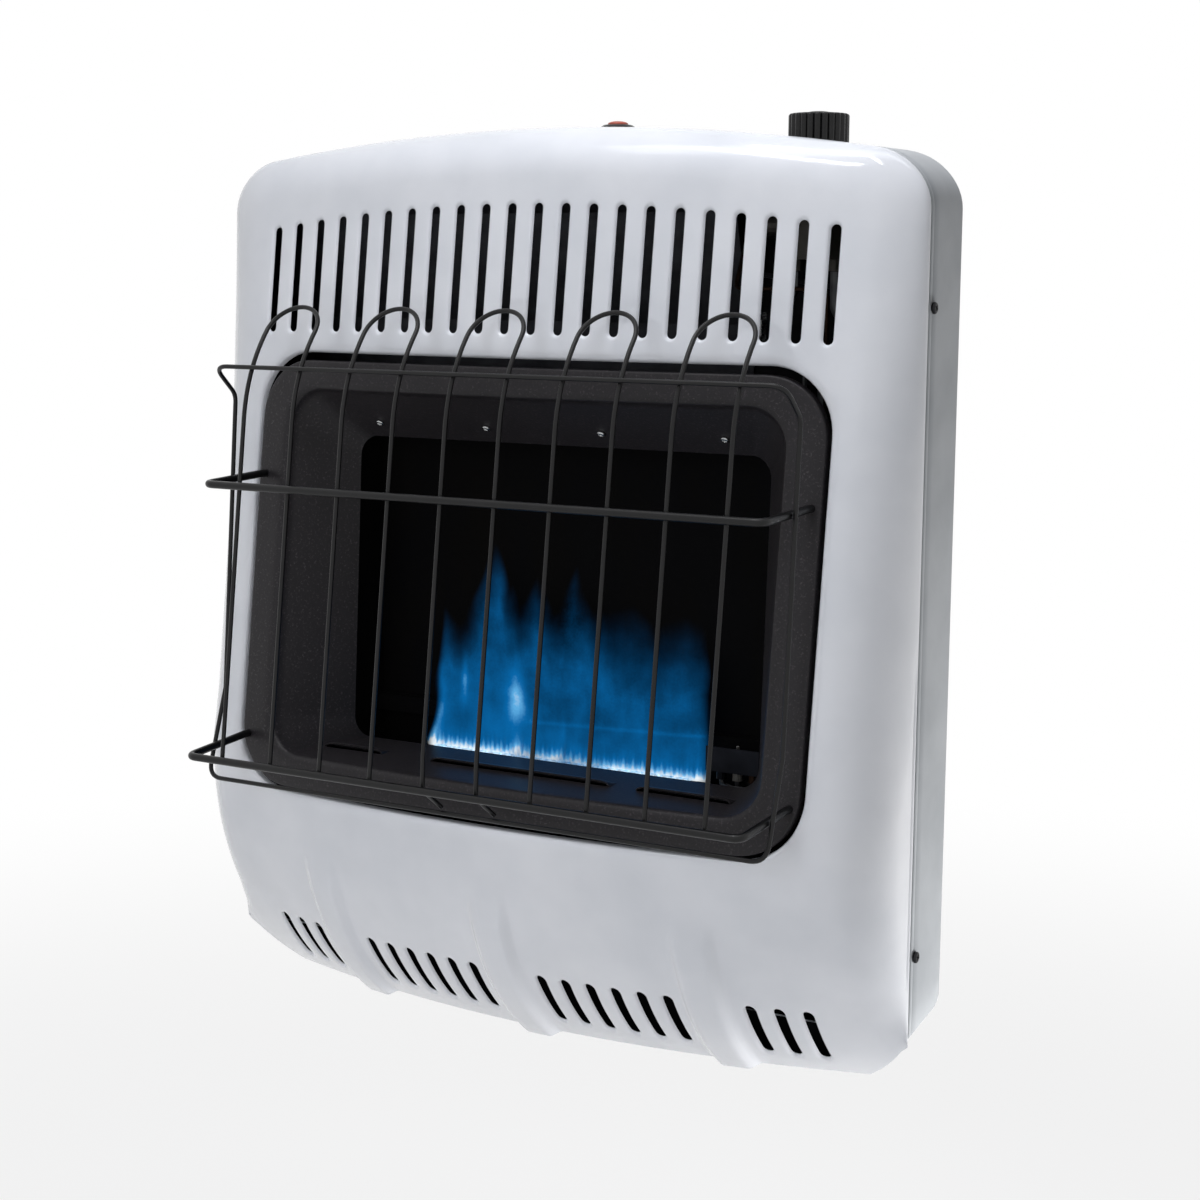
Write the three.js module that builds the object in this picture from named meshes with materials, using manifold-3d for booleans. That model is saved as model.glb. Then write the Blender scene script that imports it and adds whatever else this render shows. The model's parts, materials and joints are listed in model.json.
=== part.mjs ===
// Vent-free blue flame propane heater, wall hung, in millimetres.
// X runs to the heater's right as seen from the front, Y runs back to the wall, Z runs up.
// The origin is the centre of the wall bracket's back face, where it lies on the wall.
import * as THREE from 'three';
import { mergeVertices } from 'three/addons/utils/BufferGeometryUtils.js';
import Module from 'manifold-3d';

const wasm = await Module();
wasm.setup();

// Shared sizes
const SHEET = 1.2;
const GAP = 0.3;
const OVERRUN = 6;
const WELD = 0.0004;
const HALVINGS = 40;
const BEND_STEPS = 5;
const BEND_REACH_SHARE = 0.45;
const TUBE_BEND_STEPS = 4;
const FINE_BEND_STEPS = 3;
const TUBE_SIDES = 8;
const FINE_TUBE_SIDES = 6;

// Cabinet outline
const HALF_WIDTH = 262;
const SEAM_DEPTH = 48.5;
const CROWN_HEIGHT = 131;
const CROWN_ARCH = 22;
const CROWN_ROUND = 30;
const BOW_SPAN = 260;

// Front face, leaning forward on its way down and bowed across its width
const FACE_DEPTH = 93.3;
const FACE_LEAN_SHARE = 0.1237;
const FACE_BOW = 23.5;
const SIDE_ROUND = 36;
const SIDE_ROUND_DEPTH = 40;

// Chin, an arc that sweeps back under the heater
const CHIN_TOP = -297;
const CHIN_RADIUS = 184.5;
const CHIN_BOW = 20.6;
const CHIN_BOW_LEAD = 11.4;
const CHIN_BOW_LENGTH = 113.8;
const CHIN_EDGE_ROUND = 3;
const ROUND_FADE_LEAD = 46.7;
const ROUND_FADE_LENGTH = 189;
const ROUND_WIDTH_FADE_SHARE = 0.376;
const ROUND_DEPTH_FADE_SHARE = 0.672;
const CHIN_BACK_DEPTH = 24;
const FOOT_SHARE = 0.795;
const FOOT_ARCH = 1.9;
const FOOT_CORNER = 34;
const FOOT_CORNER_FLAT_SHARE = 0.75;
const FOOT_CORNER_STEPS = 5;
const FOOT_STEPS = 9;

// Rows and columns of the front's skin
const ROUND_ROWS = 5;
const ACROSS = 8;
const FACE_SHARES = [0.5, 0.93, 1];
const CHIN_ROWS = 9;

// Pressed ribs on the chin
const RIB_MARGIN = 118.65;
const RIB_SPACING = HALF_WIDTH - RIB_MARGIN;
const RIB_HALF_WIDTH = 17;
const RIB_HEIGHT = 5;
const RIB_DROP = 50;
const RIB_RISE = 38;
const RIB_FOOT_SHARE = 0.88;
const RIB_FLANK_SHARE = 0.5;
const RIB_ROOT = 0.4;
const RIB_FOOT_LOBE_SHARE = 0.8;
const RIB_COLUMN_SHARES = [-1, -0.83, -0.67, -0.5, 0.5, 0.67, 0.83, 1];
const RIB_ROWS = 8;

// Air slots
const UPPER_SLOTS = 22;
const UPPER_SLOT_MARGIN = 52;
const UPPER_PITCH = (2 * (HALF_WIDTH - UPPER_SLOT_MARGIN)) / (UPPER_SLOTS - 1);
const UPPER_SLOT_WIDTH = 6.2;
const UPPER_SLOT_TOP = 82.6;
const UPPER_SLOT_DROP = 21.5;
const UPPER_SLOT_BOTTOM_DROP = 3.5;
const LOWER_SLOT_WIDTH = 6.5;
const LOWER_SLOT_TOP_SHARE = 0.514;
const LOWER_SLOT_FOOT_SHARE = 0.7255;
const LOWER_SLOT_MARGIN = 26.85;
const LOWER_INNER_COUNT = 6;
const LOWER_OUTER_COUNT = 3;
const LOWER_PITCH = (RIB_SPACING - 2 * LOWER_SLOT_MARGIN) / (LOWER_INNER_COUNT - 1);

// Firebox opening in the front and the surround that fills it
const OPENING_MARGIN = 46.2;
const OPENING_HALF_WIDTH = HALF_WIDTH - OPENING_MARGIN;
const OPENING_TOP = -15;
const OPENING_FOOT = -312.2;
const OPENING_CORNER = 42;
const SURROUND_SIDE_CLEARANCE = 2.2;
const SURROUND_TOP_CLEARANCE = 6;
const SURROUND_FOOT_CLEARANCE = 2.2;
const SURROUND_RECESS = 1.4;
const SURROUND_LIP = 7;
const SURROUND_LIP_ROUND = 1.6;
const FLANGE_SIDE = 21.5;
const FLANGE_TOP = 15;
const FLANGE_FOOT = 18;
const FLANGE_CORNER = 30;
const THROAT_INSET = 57.2;
const THROAT_HALF_WIDTH = OPENING_HALF_WIDTH - THROAT_INSET;
const THROAT_TOP = -73.3;
const THROAT_FOOT = -283;
const THROAT_TOP_DEPTH = 44.4;
const THROAT_FOOT_DEPTH = 55.4;
const THROAT_CORNER = 14;
const FOLD_ROUND = 5;
const FLOOR_VENT_DEPTH = 86;
const FLOOR_VENT_WIDTH = 8;
const FLOOR_VENT_SHARES = [[-0.99, -0.69], [-0.43, 0.44], [0.57, 0.99]];
const SURROUND_SCREW_SHARES = [-0.837, -0.279, 0.279, 0.837];
const SURROUND_SCREW_DROP_SHARE = 0.667;

// Rear housing
const HOUSING_FOOT_GAP = 1;
const HOUSING_FOOT_RISE = 8.5;
const HOUSING_CORNER = 11;
const HOUSING_CORNER_STEPS = 6;
const HOUSING_CROWN_STEPS = 8;
const BACK_RECESS = 5;
const TOP_HOLE_CLEARANCE = 1;

// Joggled flange of the front that tucks into the rear housing
const TUCK_DEPTH = 12.5;
const TUCK_FOOT_RISE = 38;
const JOGGLE = 1.6;

// Cabinet screws, two a side
const CABINET_SCREW_SETBACK = 6.2;
const CABINET_SCREW_CROWN_DROP = 111.3;
const CABINET_SCREW_FOOT_RISE = 53.9;
const SCREW_HEAD_RADIUS = 3.6;
const SCREW_HEAD_HEIGHT = 2.1;
const SCREW_SHANK_RADIUS = 1.7;
const SCREW_LENGTH = 8;
const SMALL_SCREW_SHARE = 0.75;
const SCREW_CROWN_SHARE = 0.7;
const SCREW_SEGMENTS = 10;

// Guard wires
const BAR_RADIUS = 2.6;
const WIRE_RADIUS = 1.5;
const WIRE_SIDES = 6;
const HOOP_COUNT = 5;
const HOOP_MARGIN = 5.5;
const HOOP_ARCH_STEPS = 10;
const HOOP_FOOT = -282;
const HOOP_FOOT_DEPTH = 169.5;
const HOOP_LEAN_SHARE = 0.1215;
const HOOP_BEND_START = -58;
const HOOP_BEND_RADIUS = 110;
const HOOP_BEND_END = THREE.MathUtils.degToRad(50);
const HOOK_END_DEPTH = 147.4;
const HOOK_END = -298.6;
const BAR_MARGIN = 8.3;
const BAR_HALF_WIDTH = OPENING_HALF_WIDTH - BAR_MARGIN;
const HOOP_WIDTH = (BAR_HALF_WIDTH - HOOP_MARGIN) / HOOP_COUNT;
const BAR_BEND = 14;
const BAR_TUCK = 5;
const UPPER_BAR = -102;
const UPPER_BAR_RISE = 2.9;
const LOWER_BAR = -282.8;
const LOWER_BAR_RISE = 5;
const RING_TOP = -24.5;
const RING_FOOT = -302;
const RING_SIDE_DEPTH = 114.5;
const RING_SIDE_TOP = -52;
const RING_SIDE_FOOT = -243;
const RING_SIDE_LEAN_SHARE = 0.08;
const RING_CORNER = 8;

// Combustion chamber behind the surround
const CHAMBER_CLEARANCE = 4;
const CHAMBER_HALF_WIDTH = THROAT_HALF_WIDTH + SHEET + CHAMBER_CLEARANCE;
const CHAMBER_BACK_DEPTH = 13;
const CHAMBER_TOP = -30;
const CHAMBER_FOOT = -322;
const CHAMBER_FLANGE = 12;
const LEDGE_HEIGHT = -260;
const LEDGE_STEP = 9;
const HOOD_RISE = 20;
const HOOD_GAP = 16;

// Heat deflector above the chamber
const DEFLECTOR_MARGIN = 24;
const DEFLECTOR_KNOB_GAP = 51;
const DEFLECTOR_FOOT = -14;
const DEFLECTOR_TOP = 92;
const DEFLECTOR_REACH = 40;
const DEFLECTOR_LEAN_SHARE = 0.7;
const DEFLECTOR_STEP = 7;
const DEFLECTOR_BEND = 14;

// Burner
const BURNER_MARGIN = 52.1;
const BURNER_HALF_LENGTH = THROAT_HALF_WIDTH - BURNER_MARGIN;
const BURNER_DEPTH = 38;
const BURNER_WIDTH = 22;
const BURNER_TOP = -287;
const BURNER_HEIGHT = 20;
const BURNER_ROUND = 5;
const BURNER_WALL = 1;
const PORT_COUNT = 18;
const PORT_WIDTH = 8;
const PORT_HEIGHT = 2.4;
const PORT_SLIT_SHARE = 0.16;
const FRONT_PORT_SHARES = [-0.32, 0.47];
const [FRONT_PORT_LEFT, FRONT_PORT_RIGHT] = FRONT_PORT_SHARES.map((share) => share * BURNER_HALF_LENGTH);
const FRONT_PORT_WIDTH = 4.5;
const FRONT_PORT_DROP = 4;
const VENTURI_RADIUS = 9;
const VENTURI_LENGTH = 34;
const VENTURI_BORE = 6.5;
const VENTURI_WAIST_SHARE = 0.78;
const VENTURI_WAIST_FROM_SHARE = 0.4;
const VENTURI_WAIST_TO_SHARE = 0.6;
const INJECTOR_LENGTH = 20;
const INJECTOR_TAIL_RADIUS = 5.2;
const INJECTOR_NOSE_RADIUS = 2.2;
const INJECTOR_SHOULDER_RADIUS = 3.2;
const INJECTOR_NOSE_REACH = 6;
const HEX_RADIUS = 8;
const BURNER_BRACKET_INSET = 24;
const BURNER_BRACKET_WIDTH = 12;
const BURNER_BRACKET_DROP = 6.7;
const SHELF_HEIGHT = -314;
const INJECTOR_X = BURNER_HALF_LENGTH + VENTURI_LENGTH + GAP;
const INJECTOR_Z = BURNER_TOP - BURNER_HEIGHT / 2;

// Pilot assembly at the burner's right end
const PILOT_OFFSET = 11.5;
const PILOT_LEFT = BURNER_HALF_LENGTH + PILOT_OFFSET;
const PILOT_WIDTH = 38;
const PILOT_RISE = 16;
const PILOT_BURNER_HEIGHT = 12;
const ELECTRODE_RADIUS = 1.2;
const ELECTRODE_HEIGHT = 16;
const THERMOCOUPLE_RADIUS = 1.9;
const THERMOCOUPLE_HEIGHT = 13;
const COLLAR_REACH = 1.4;
const PILOT_TOP = -260;
const PILOT_DEPTH = 50;
const PILOT_FOOT_DEPTH = 16;
const PILOT_HOLE_RADIUS = 3.4;
const PILOT_TAIL_LENGTH = 6;
const PILOT_COLLAR_HEIGHT = 3.6;
const PILOT_SITE_SHARES = [0.2, 0.5, 0.8];
const PILOT_RIGHT = PILOT_LEFT + PILOT_WIDTH;
const PILOT_SITES = PILOT_SITE_SHARES.map((share) => PILOT_LEFT + PILOT_WIDTH * share);
const PILOT_SHELF = PILOT_TOP - PILOT_RISE;
const PILOT_AXIS_Y = -PILOT_DEPTH + PILOT_FOOT_DEPTH / 2;
const PILOT_TAIL = PILOT_SHELF - PILOT_TAIL_LENGTH - GAP;

// Gas valve under the control knob
const KNOB_MARGIN = 85;
const KNOB_X = HALF_WIDTH - KNOB_MARGIN;
const KNOB_DEPTH = 26;
const KNOB_RADIUS = 18.6;
const KNOB_TOP = 136;
const KNOB_HEIGHT = 24;
const KNOB_FLUTES = 24;
const KNOB_FLUTE_STEPS = 4;
const KNOB_FLUTE_DEPTH = 1.1;
const KNOB_CHAMFER = 1.6;
const KNOB_CAP_RADIUS = 7.5;
const KNOB_CAP_RISE = 1.4;
const KNOB_CAP_EDGE_SHARE = 0.35;
const KNOB_CAP_SHOULDER_SHARE = 0.85;
const KNOB_CAP_FLAT_SHARE = 0.6;
const KNOB_BORE_DEPTH = 13;
const STEM_RADIUS = 4;
const STEM_COLLAR = 6.5;
const VALVE_TOP = 92;
const VALVE_HEIGHT = 44;
const VALVE_WIDTH = 44;
const VALVE_LENGTH = 30;
const VALVE_CHAMFER = 6;
const VALVE_BOSS_RADIUS = 10;
const VALVE_BOSS_HEIGHT = 8;
const PORT_BOSS_RADIUS = 5.2;
const PORT_BOSS_LENGTH = 7;
const VALVE_PORT_SHARES = [-0.6, 0, 0.6];
const MAGNET_RADIUS = 9;
const MAGNET_LENGTH = 12;
const STEM_TRAVEL = 4;

// Piezo igniter
const IGNITER_OFFSET = 142.5;
const IGNITER_X = KNOB_X - IGNITER_OFFSET;
const IGNITER_DEPTH = 26;
const BEZEL_RADIUS = 11;
const BEZEL_HEIGHT = 2.2;
const BEZEL_CHAMFER = 1;
const BARREL_RADIUS = 8.5;
const BARREL_LENGTH = 34;
const BARREL_TAIL_RADIUS = 4.25;
const BARREL_NECK_RADIUS = 5.1;
const BARREL_TAIL_LENGTH = 6.8;
const BARREL_NECK_LENGTH = 8.5;
const BUTTON_RADIUS = 6.6;
const BUTTON_RISE = 5;
const BUTTON_DOME = 1.4;
const BUTTON_DOME_SHARE = 0.75;
const BUTTON_SKIRT = 9;
const NUT_RADIUS = 13;
const NUT_HEIGHT = 5;

// Gas supply parts
const REGULATOR_OFFSET = 28;
const REGULATOR_X = KNOB_X + REGULATOR_OFFSET;
const REGULATOR_DEPTH = 34;
const REGULATOR_RISE = 53;
const REGULATOR_RADIUS = 24;
const REGULATOR_THICKNESS = 26;
const REGULATOR_BACK_SHARE = 0.7;
const REGULATOR_RIM_SHARE = 0.4;
const REGULATOR_STEP_SHARE = 0.6;
const REGULATOR_STEP_DEPTH_SHARE = 0.7;
const REGULATOR_CAP_SHARE = 0.35;
const REGULATOR_NECK_RADIUS = 7.5;
const REGULATOR_NECK_REACH = 6;
const INLET_RADIUS = 8.6;
const INLET_LENGTH = 30;
const INLET_BORE = 5;
const INLET_HEX_RADIUS = 10.6;
const INLET_HEX_HEIGHT = 10.5;
const INLET_HOLE_CLEARANCE = 2;
const TUBE_RADIUS = 3.2;
const FINE_TUBE_RADIUS = 1.6;
const LEAD_RADIUS = 1.8;
const TUBE_CLEARANCE = 1;
const LANE_HEIGHT = -285.4;
const PILOT_LANE = -50.5;
const THERMOCOUPLE_LANE = -46;
const LEAD_LANE = -31;
const PILOT_RISER_OFFSET = 6;
const THERMOCOUPLE_RISER_OFFSET = 18;
const LEAD_RISER_OFFSET = 28;
const PILOT_RISER = KNOB_X + PILOT_RISER_OFFSET;
const THERMOCOUPLE_RISER = KNOB_X + THERMOCOUPLE_RISER_OFFSET;
const LEAD_RISER = KNOB_X + LEAD_RISER_OFFSET;
const THERMOCOUPLE_CROSSING = 30;
const LEAD_BACK = -13.5;
const LEAD_CROSSING = 28;
const LINE_TURN = 12;
const LINE_TAIL = 24;
const PIPE_RISE = 36;
const PIPE_SWAY = 12;
const PIPE_CROSSING = 48;
const BURNER_TUBE_DROP = 36;
const BURNER_TUBE_CROSSING = 72;
const BURNER_TUBE_SWAY = 25.2;

// Wall bracket
const BRACKET_MARGIN = 112;
const BRACKET_HALF_WIDTH = HALF_WIDTH - BRACKET_MARGIN;
const BRACKET_HALF_HEIGHT = 22;
const BRACKET_THICKNESS = 1.6;
const BRACKET_CORNER = 6;
const BRACKET_HOLE_RADIUS = 2.7;
const HOOK_INSET = 30;
const HOOK_X = BRACKET_HALF_WIDTH - HOOK_INSET;
const HOOK_WIDTH = 26;
const HOOK_REACH = 12;
const HOOK_LIP = 10;
const HOOK_SLOT_CLEARANCE = 0.6;
const HOOK_SLOT_HEADROOM = 4.8;

// Colours and finishes
const COLOURS = {
  enamel: 0xd8dade, charcoal: 0x2e2b2d, wire: 0x2a292b, black: 0x17171a, steel: 0x8a8c90,
  darkSteel: 0x3a3b3f, brass: 0xb08d4a, aluminium: 0xa9abad, copper: 0xa9683f, red: 0xa5564a,
  ceramic: 0xe8e4da, zinc: 0xbfc1c2, rubber: 0x1c1c1e,
};

// Solids
function solidOf(geometry) {
  const bare = geometry.clone();
  bare.deleteAttribute('normal');
  bare.deleteAttribute('uv');
  const merged = mergeVertices(bare, WELD);
  const index = Array.from(merged.index.array);
  const kept = [];
  for (let i = 0; i < index.length; i += 3) {
    const [a, b, c] = index.slice(i, i + 3);
    if (a !== b && b !== c && c !== a) kept.push(a, b, c);
  }
  const places = merged.attributes.position.array;
  let volume = 0;
  const corner = (k) => new THREE.Vector3().fromArray(places, kept[k] * 3);
  for (let i = 0; i < kept.length; i += 3) {
    volume += corner(i).dot(corner(i + 1).cross(corner(i + 2)));
  }
  if (volume < 0) kept.reverse();
  const mesh = new wasm.Mesh({
    numProp: 3,
    vertProperties: new Float32Array(places),
    triVerts: new Uint32Array(kept),
  });
  mesh.merge();
  return new wasm.Manifold(mesh);
}

function geometryOf(solid) {
  const mesh = solid.getMesh();
  const geometry = new THREE.BufferGeometry();
  geometry.setAttribute('position', new THREE.BufferAttribute(new Float32Array(mesh.vertProperties), 3));
  geometry.setIndex(new THREE.BufferAttribute(new Uint32Array(mesh.triVerts), 1));
  const flat = geometry.toNonIndexed();
  flat.computeVertexNormals();
  return flat;
}

function cut(solid, ...tools) {
  return tools.reduce((left, tool) => left.subtract(tool), solid);
}

function join(solid, ...others) {
  return others.reduce((whole, other) => whole.add(other), solid);
}

function common(solid, ...others) {
  return others.reduce((whole, other) => whole.intersect(other), solid);
}

// Prisms: an outline of [a, b] points pushed along one axis
function prism(axis, outline, from, to) {
  const shape = new THREE.Shape(outline.map(([a, b]) => new THREE.Vector2(a, b)));
  const geometry = new THREE.ExtrudeGeometry(shape, { depth: to - from, bevelEnabled: false });
  if (axis === 'x') {
    geometry.applyMatrix4(new THREE.Matrix4().set(0, 0, 1, from, 1, 0, 0, 0, 0, 1, 0, 0, 0, 0, 0, 1));
  } else if (axis === 'y') {
    geometry.rotateX(Math.PI / 2);
    geometry.translate(0, to, 0);
  } else {
    geometry.translate(0, 0, from);
  }
  return solidOf(geometry);
}

function box(x0, x1, y0, y1, z0, z1) {
  return prism('z', [[x0, y0], [x1, y0], [x1, y1], [x0, y1]], z0, z1);
}

// Turned solids: a profile of [radius, height] points, closed on the axis
function turned(profile, segments = 20) {
  const points = profile.map(([radius, height]) => new THREE.Vector2(radius, height));
  const geometry = new THREE.LatheGeometry(points, segments);
  geometry.rotateX(Math.PI / 2);
  return solidOf(geometry);
}

function rod(radius, from, to, segments = 20) {
  return turned([[0, from], [radius, from], [radius, to], [0, to]], segments);
}

function placed(solid, [x, y, z], [rx, ry, rz] = [0, 0, 0]) {
  const matrix = new THREE.Matrix4().makeRotationFromEuler(new THREE.Euler(rx, ry, rz));
  matrix.setPosition(x, y, z);
  return solid.transform(matrix.toArray());
}

// Turned solids stand along Z, and these turns lay them along another axis
const TO_RIGHT = [0, Math.PI / 2, 0];
const TO_FRONT = [Math.PI / 2, 0, 0];

// Outline helpers
function arcPoints([cx, cy], radius, from, to, steps) {
  const points = [];
  for (let i = 0; i <= steps; i += 1) {
    const angle = from + ((to - from) * i) / steps;
    points.push([cx + radius * Math.cos(angle), cy + radius * Math.sin(angle)]);
  }
  return points;
}

function stadium(x, low, high, width, steps = 3) {
  const radius = width / 2;
  return [
    ...arcPoints([x, low + radius], radius, Math.PI, 2 * Math.PI, steps),
    ...arcPoints([x, high - radius], radius, 0, Math.PI, steps),
  ];
}

// A closed loop of [x, z] points round a rectangle with round corners, equal counts for every size
function roundedLoop(halfWidth, top, foot, radius, edgeSteps = 8, sideSteps = 2, cornerSteps = 5) {
  const loop = [];
  const run = (from, to, steps) => {
    for (let i = 1; i < steps; i += 1) {
      loop.push([from[0] + ((to[0] - from[0]) * i) / steps, from[1] + ((to[1] - from[1]) * i) / steps]);
    }
  };
  const quarter = Math.PI / 2;
  const x = halfWidth - radius;
  loop.push(...arcPoints([x, foot + radius], radius, -quarter, 0, cornerSteps));
  run([halfWidth, foot + radius], [halfWidth, top - radius], sideSteps);
  loop.push(...arcPoints([x, top - radius], radius, 0, quarter, cornerSteps));
  run([x, top], [-x, top], edgeSteps);
  loop.push(...arcPoints([-x, top - radius], radius, quarter, 2 * quarter, cornerSteps));
  run([-halfWidth, top - radius], [-halfWidth, foot + radius], sideSteps);
  loop.push(...arcPoints([-x, foot + radius], radius, 2 * quarter, 3 * quarter, cornerSteps));
  run([-x, foot], [x, foot], edgeSteps);
  return loop;
}

// Triangles over a loop of points, wound along the loop or against it
function capFaces(ring, [u, v], along) {
  const flat = ring.map((point) => new THREE.Vector2(point[u], point[v]));
  const same = THREE.ShapeUtils.area(flat) > 0;
  const turnedFaces = ([a, b, c]) => (same === along ? [a, b, c] : [a, c, b]);
  return THREE.ShapeUtils.triangulateShape(flat, []).map(turnedFaces);
}

// A skin through rings of points, either capped at both ends or joined round on itself
function skin(rings, looped = false, capAxes = [0, 2]) {
  const count = rings[0].length;
  const faces = [];
  const last = looped ? rings.length : rings.length - 1;
  for (let j = 0; j < last; j += 1) {
    const here = j * count;
    const next = ((j + 1) % rings.length) * count;
    for (let i = 0; i < count; i += 1) {
      const k = (i + 1) % count;
      faces.push(here + i, here + k, next + k, here + i, next + k, next + i);
    }
  }
  if (!looped) {
    const base = last * count;
    capFaces(rings[0], capAxes, false).forEach((face) => faces.push(...face));
    capFaces(rings[last], capAxes, true).forEach((face) => faces.push(...face.map((k) => base + k)));
  }
  const geometry = new THREE.BufferGeometry();
  geometry.setAttribute('position', new THREE.Float32BufferAttribute(rings.flat(2), 3));
  geometry.setIndex(faces);
  return solidOf(geometry);
}

// Tubes: a round section led along a path whose bends are arcs
class BentPath extends THREE.Curve {
  constructor(points) {
    super();
    this.points = points.map((point) => new THREE.Vector3(...point));
  }

  get steps() {
    return this.points.length - 1;
  }

  getPointAt(share, target = new THREE.Vector3()) {
    return target.copy(this.points[Math.round(share * this.steps)]);
  }

  getTangentAt(share, target = new THREE.Vector3()) {
    const i = Math.round(share * this.steps);
    const before = this.points[Math.max(i - 1, 0)];
    const here = this.points[i];
    const after = this.points[Math.min(i + 1, this.steps)];
    const incoming = new THREE.Vector3().subVectors(here, before).normalize();
    const outgoing = new THREE.Vector3().subVectors(after, here).normalize();
    return target.addVectors(incoming, outgoing).normalize();
  }
}

function tube(points, radius, sides = TUBE_SIDES) {
  const path = new BentPath(points);
  const shape = new THREE.Shape(
    arcPoints([0, 0], radius, 0, (2 * Math.PI * (sides - 1)) / sides, sides - 1)
      .map(([a, b]) => new THREE.Vector2(a, b)),
  );
  return solidOf(new THREE.ExtrudeGeometry(shape, { steps: path.steps, extrudePath: path }));
}

// Points of a path through corners, each rounded by its own radius
function bentRun(corners, radius, steps = BEND_STEPS) {
  const vectors = corners.map((corner) => new THREE.Vector3(...corner));
  const points = [vectors[0]];
  for (let i = 1; i < vectors.length - 1; i += 1) {
    const back = new THREE.Vector3().subVectors(vectors[i - 1], vectors[i]);
    const ahead = new THREE.Vector3().subVectors(vectors[i + 1], vectors[i]);
    const half = back.angleTo(ahead) / 2;
    const room = BEND_REACH_SHARE * Math.min(back.length(), ahead.length());
    const reach = Math.min(radius / Math.tan(half), room);
    const start = back.clone().setLength(reach).add(vectors[i]);
    const end = ahead.clone().setLength(reach).add(vectors[i]);
    const bend = new THREE.QuadraticBezierCurve3(start, vectors[i], end);
    for (let k = 0; k <= steps; k += 1) points.push(bend.getPoint(k / steps));
  }
  points.push(vectors[vectors.length - 1]);
  return points.map((point) => point.toArray());
}

// Front surface of the cabinet
const LEAN = Math.atan(FACE_LEAN_SHARE);
const CHIN_CENTRE = {
  y: -FACE_DEPTH + FACE_LEAN_SHARE * CHIN_TOP + CHIN_RADIUS * Math.cos(LEAN),
  z: CHIN_TOP - CHIN_RADIUS * Math.sin(LEAN),
};

function bowShare(x) {
  return (x / BOW_SPAN) ** 2;
}

// Height on the chin at a share of its radius below its centre
function chinLevel(share) {
  return CHIN_CENTRE.z - CHIN_RADIUS * share;
}

const FOOT_HEIGHT = chinLevel(FOOT_SHARE);
const RIB_TOP = CHIN_TOP - RIB_DROP;
const RIB_FOOT = chinLevel(RIB_FOOT_SHARE);

function bow(z) {
  const share = THREE.MathUtils.clamp((CHIN_TOP + CHIN_BOW_LEAD - z) / CHIN_BOW_LENGTH, 0, 1);
  return FACE_BOW + CHIN_BOW * share;
}

function chinTop(inset) {
  return CHIN_CENTRE.z + (CHIN_RADIUS - inset) * Math.sin(LEAN);
}

function frontY(x, z, inset = 0) {
  const bowed = bow(z) * bowShare(x);
  if (z > chinTop(inset)) return -FACE_DEPTH + FACE_LEAN_SHARE * z + inset / Math.cos(LEAN) + bowed;
  const radius = CHIN_RADIUS - inset;
  const drop = Math.min(CHIN_CENTRE.z - z, radius);
  return CHIN_CENTRE.y - Math.sqrt(radius ** 2 - drop ** 2) + bowed;
}

function crownZ(x, inset = 0) {
  return CROWN_HEIGHT - CROWN_ARCH * bowShare(x) - inset;
}

function fadeShare(z) {
  return THREE.MathUtils.clamp((CHIN_TOP + ROUND_FADE_LEAD - z) / ROUND_FADE_LENGTH, 0, 1);
}

function sideRound(z, inset) {
  const left = (1 - fadeShare(z)) ** ROUND_WIDTH_FADE_SHARE;
  return CHIN_EDGE_ROUND + (SIDE_ROUND - CHIN_EDGE_ROUND) * left - inset;
}

function sideRoundDepth(z, inset) {
  const left = (1 - fadeShare(z)) ** ROUND_DEPTH_FADE_SHARE;
  return CHIN_EDGE_ROUND + (SIDE_ROUND_DEPTH - CHIN_EDGE_ROUND) * left - inset;
}

// Height on the chin where the front surface has come back to a given depth
function chinHeightAt(x, depth, inset) {
  let high = chinTop(inset);
  let low = CHIN_CENTRE.z - (CHIN_RADIUS - inset) + GAP;
  for (let i = 0; i < HALVINGS; i += 1) {
    const middle = (high + low) / 2;
    if (frontY(x, middle, inset) < -depth) high = middle;
    else low = middle;
  }
  return (high + low) / 2;
}

// Where the chin meets the seam at the cabinet's sides
const SIDE_FOOT = chinHeightAt(HALF_WIDTH, SEAM_DEPTH, 0);
const HOUSING_FOOT = SIDE_FOOT + HOUSING_FOOT_GAP;
const TUCK_FOOT = SIDE_FOOT + TUCK_FOOT_RISE;
const CABINET_SCREW_HEIGHTS = [CROWN_HEIGHT - CABINET_SCREW_CROWN_DROP, SIDE_FOOT + CABINET_SCREW_FOOT_RISE];
const REGULATOR_HEIGHT = HOUSING_FOOT + REGULATOR_RISE;

function frontColumns() {
  const columns = [];
  for (let i = 0; i < ROUND_ROWS; i += 1) columns.push({ side: -1, close: 1 - i / ROUND_ROWS, share: -1 });
  for (let i = 0; i <= ACROSS; i += 1) columns.push({ side: 0, close: 0, share: -1 + (2 * i) / ACROSS });
  for (let i = 1; i <= ROUND_ROWS; i += 1) columns.push({ side: 1, close: i / ROUND_ROWS, share: 1 });
  return columns;
}

function frontRows() {
  const rows = [];
  for (let i = 0; i <= ROUND_ROWS; i += 1) rows.push({ close: 1 - i / ROUND_ROWS, face: 0, chin: 0 });
  FACE_SHARES.forEach((share) => rows.push({ close: 0, face: share, chin: 0 }));
  for (let i = 1; i <= CHIN_ROWS; i += 1) rows.push({ close: 0, face: 1, chin: i / CHIN_ROWS });
  return rows;
}

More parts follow.
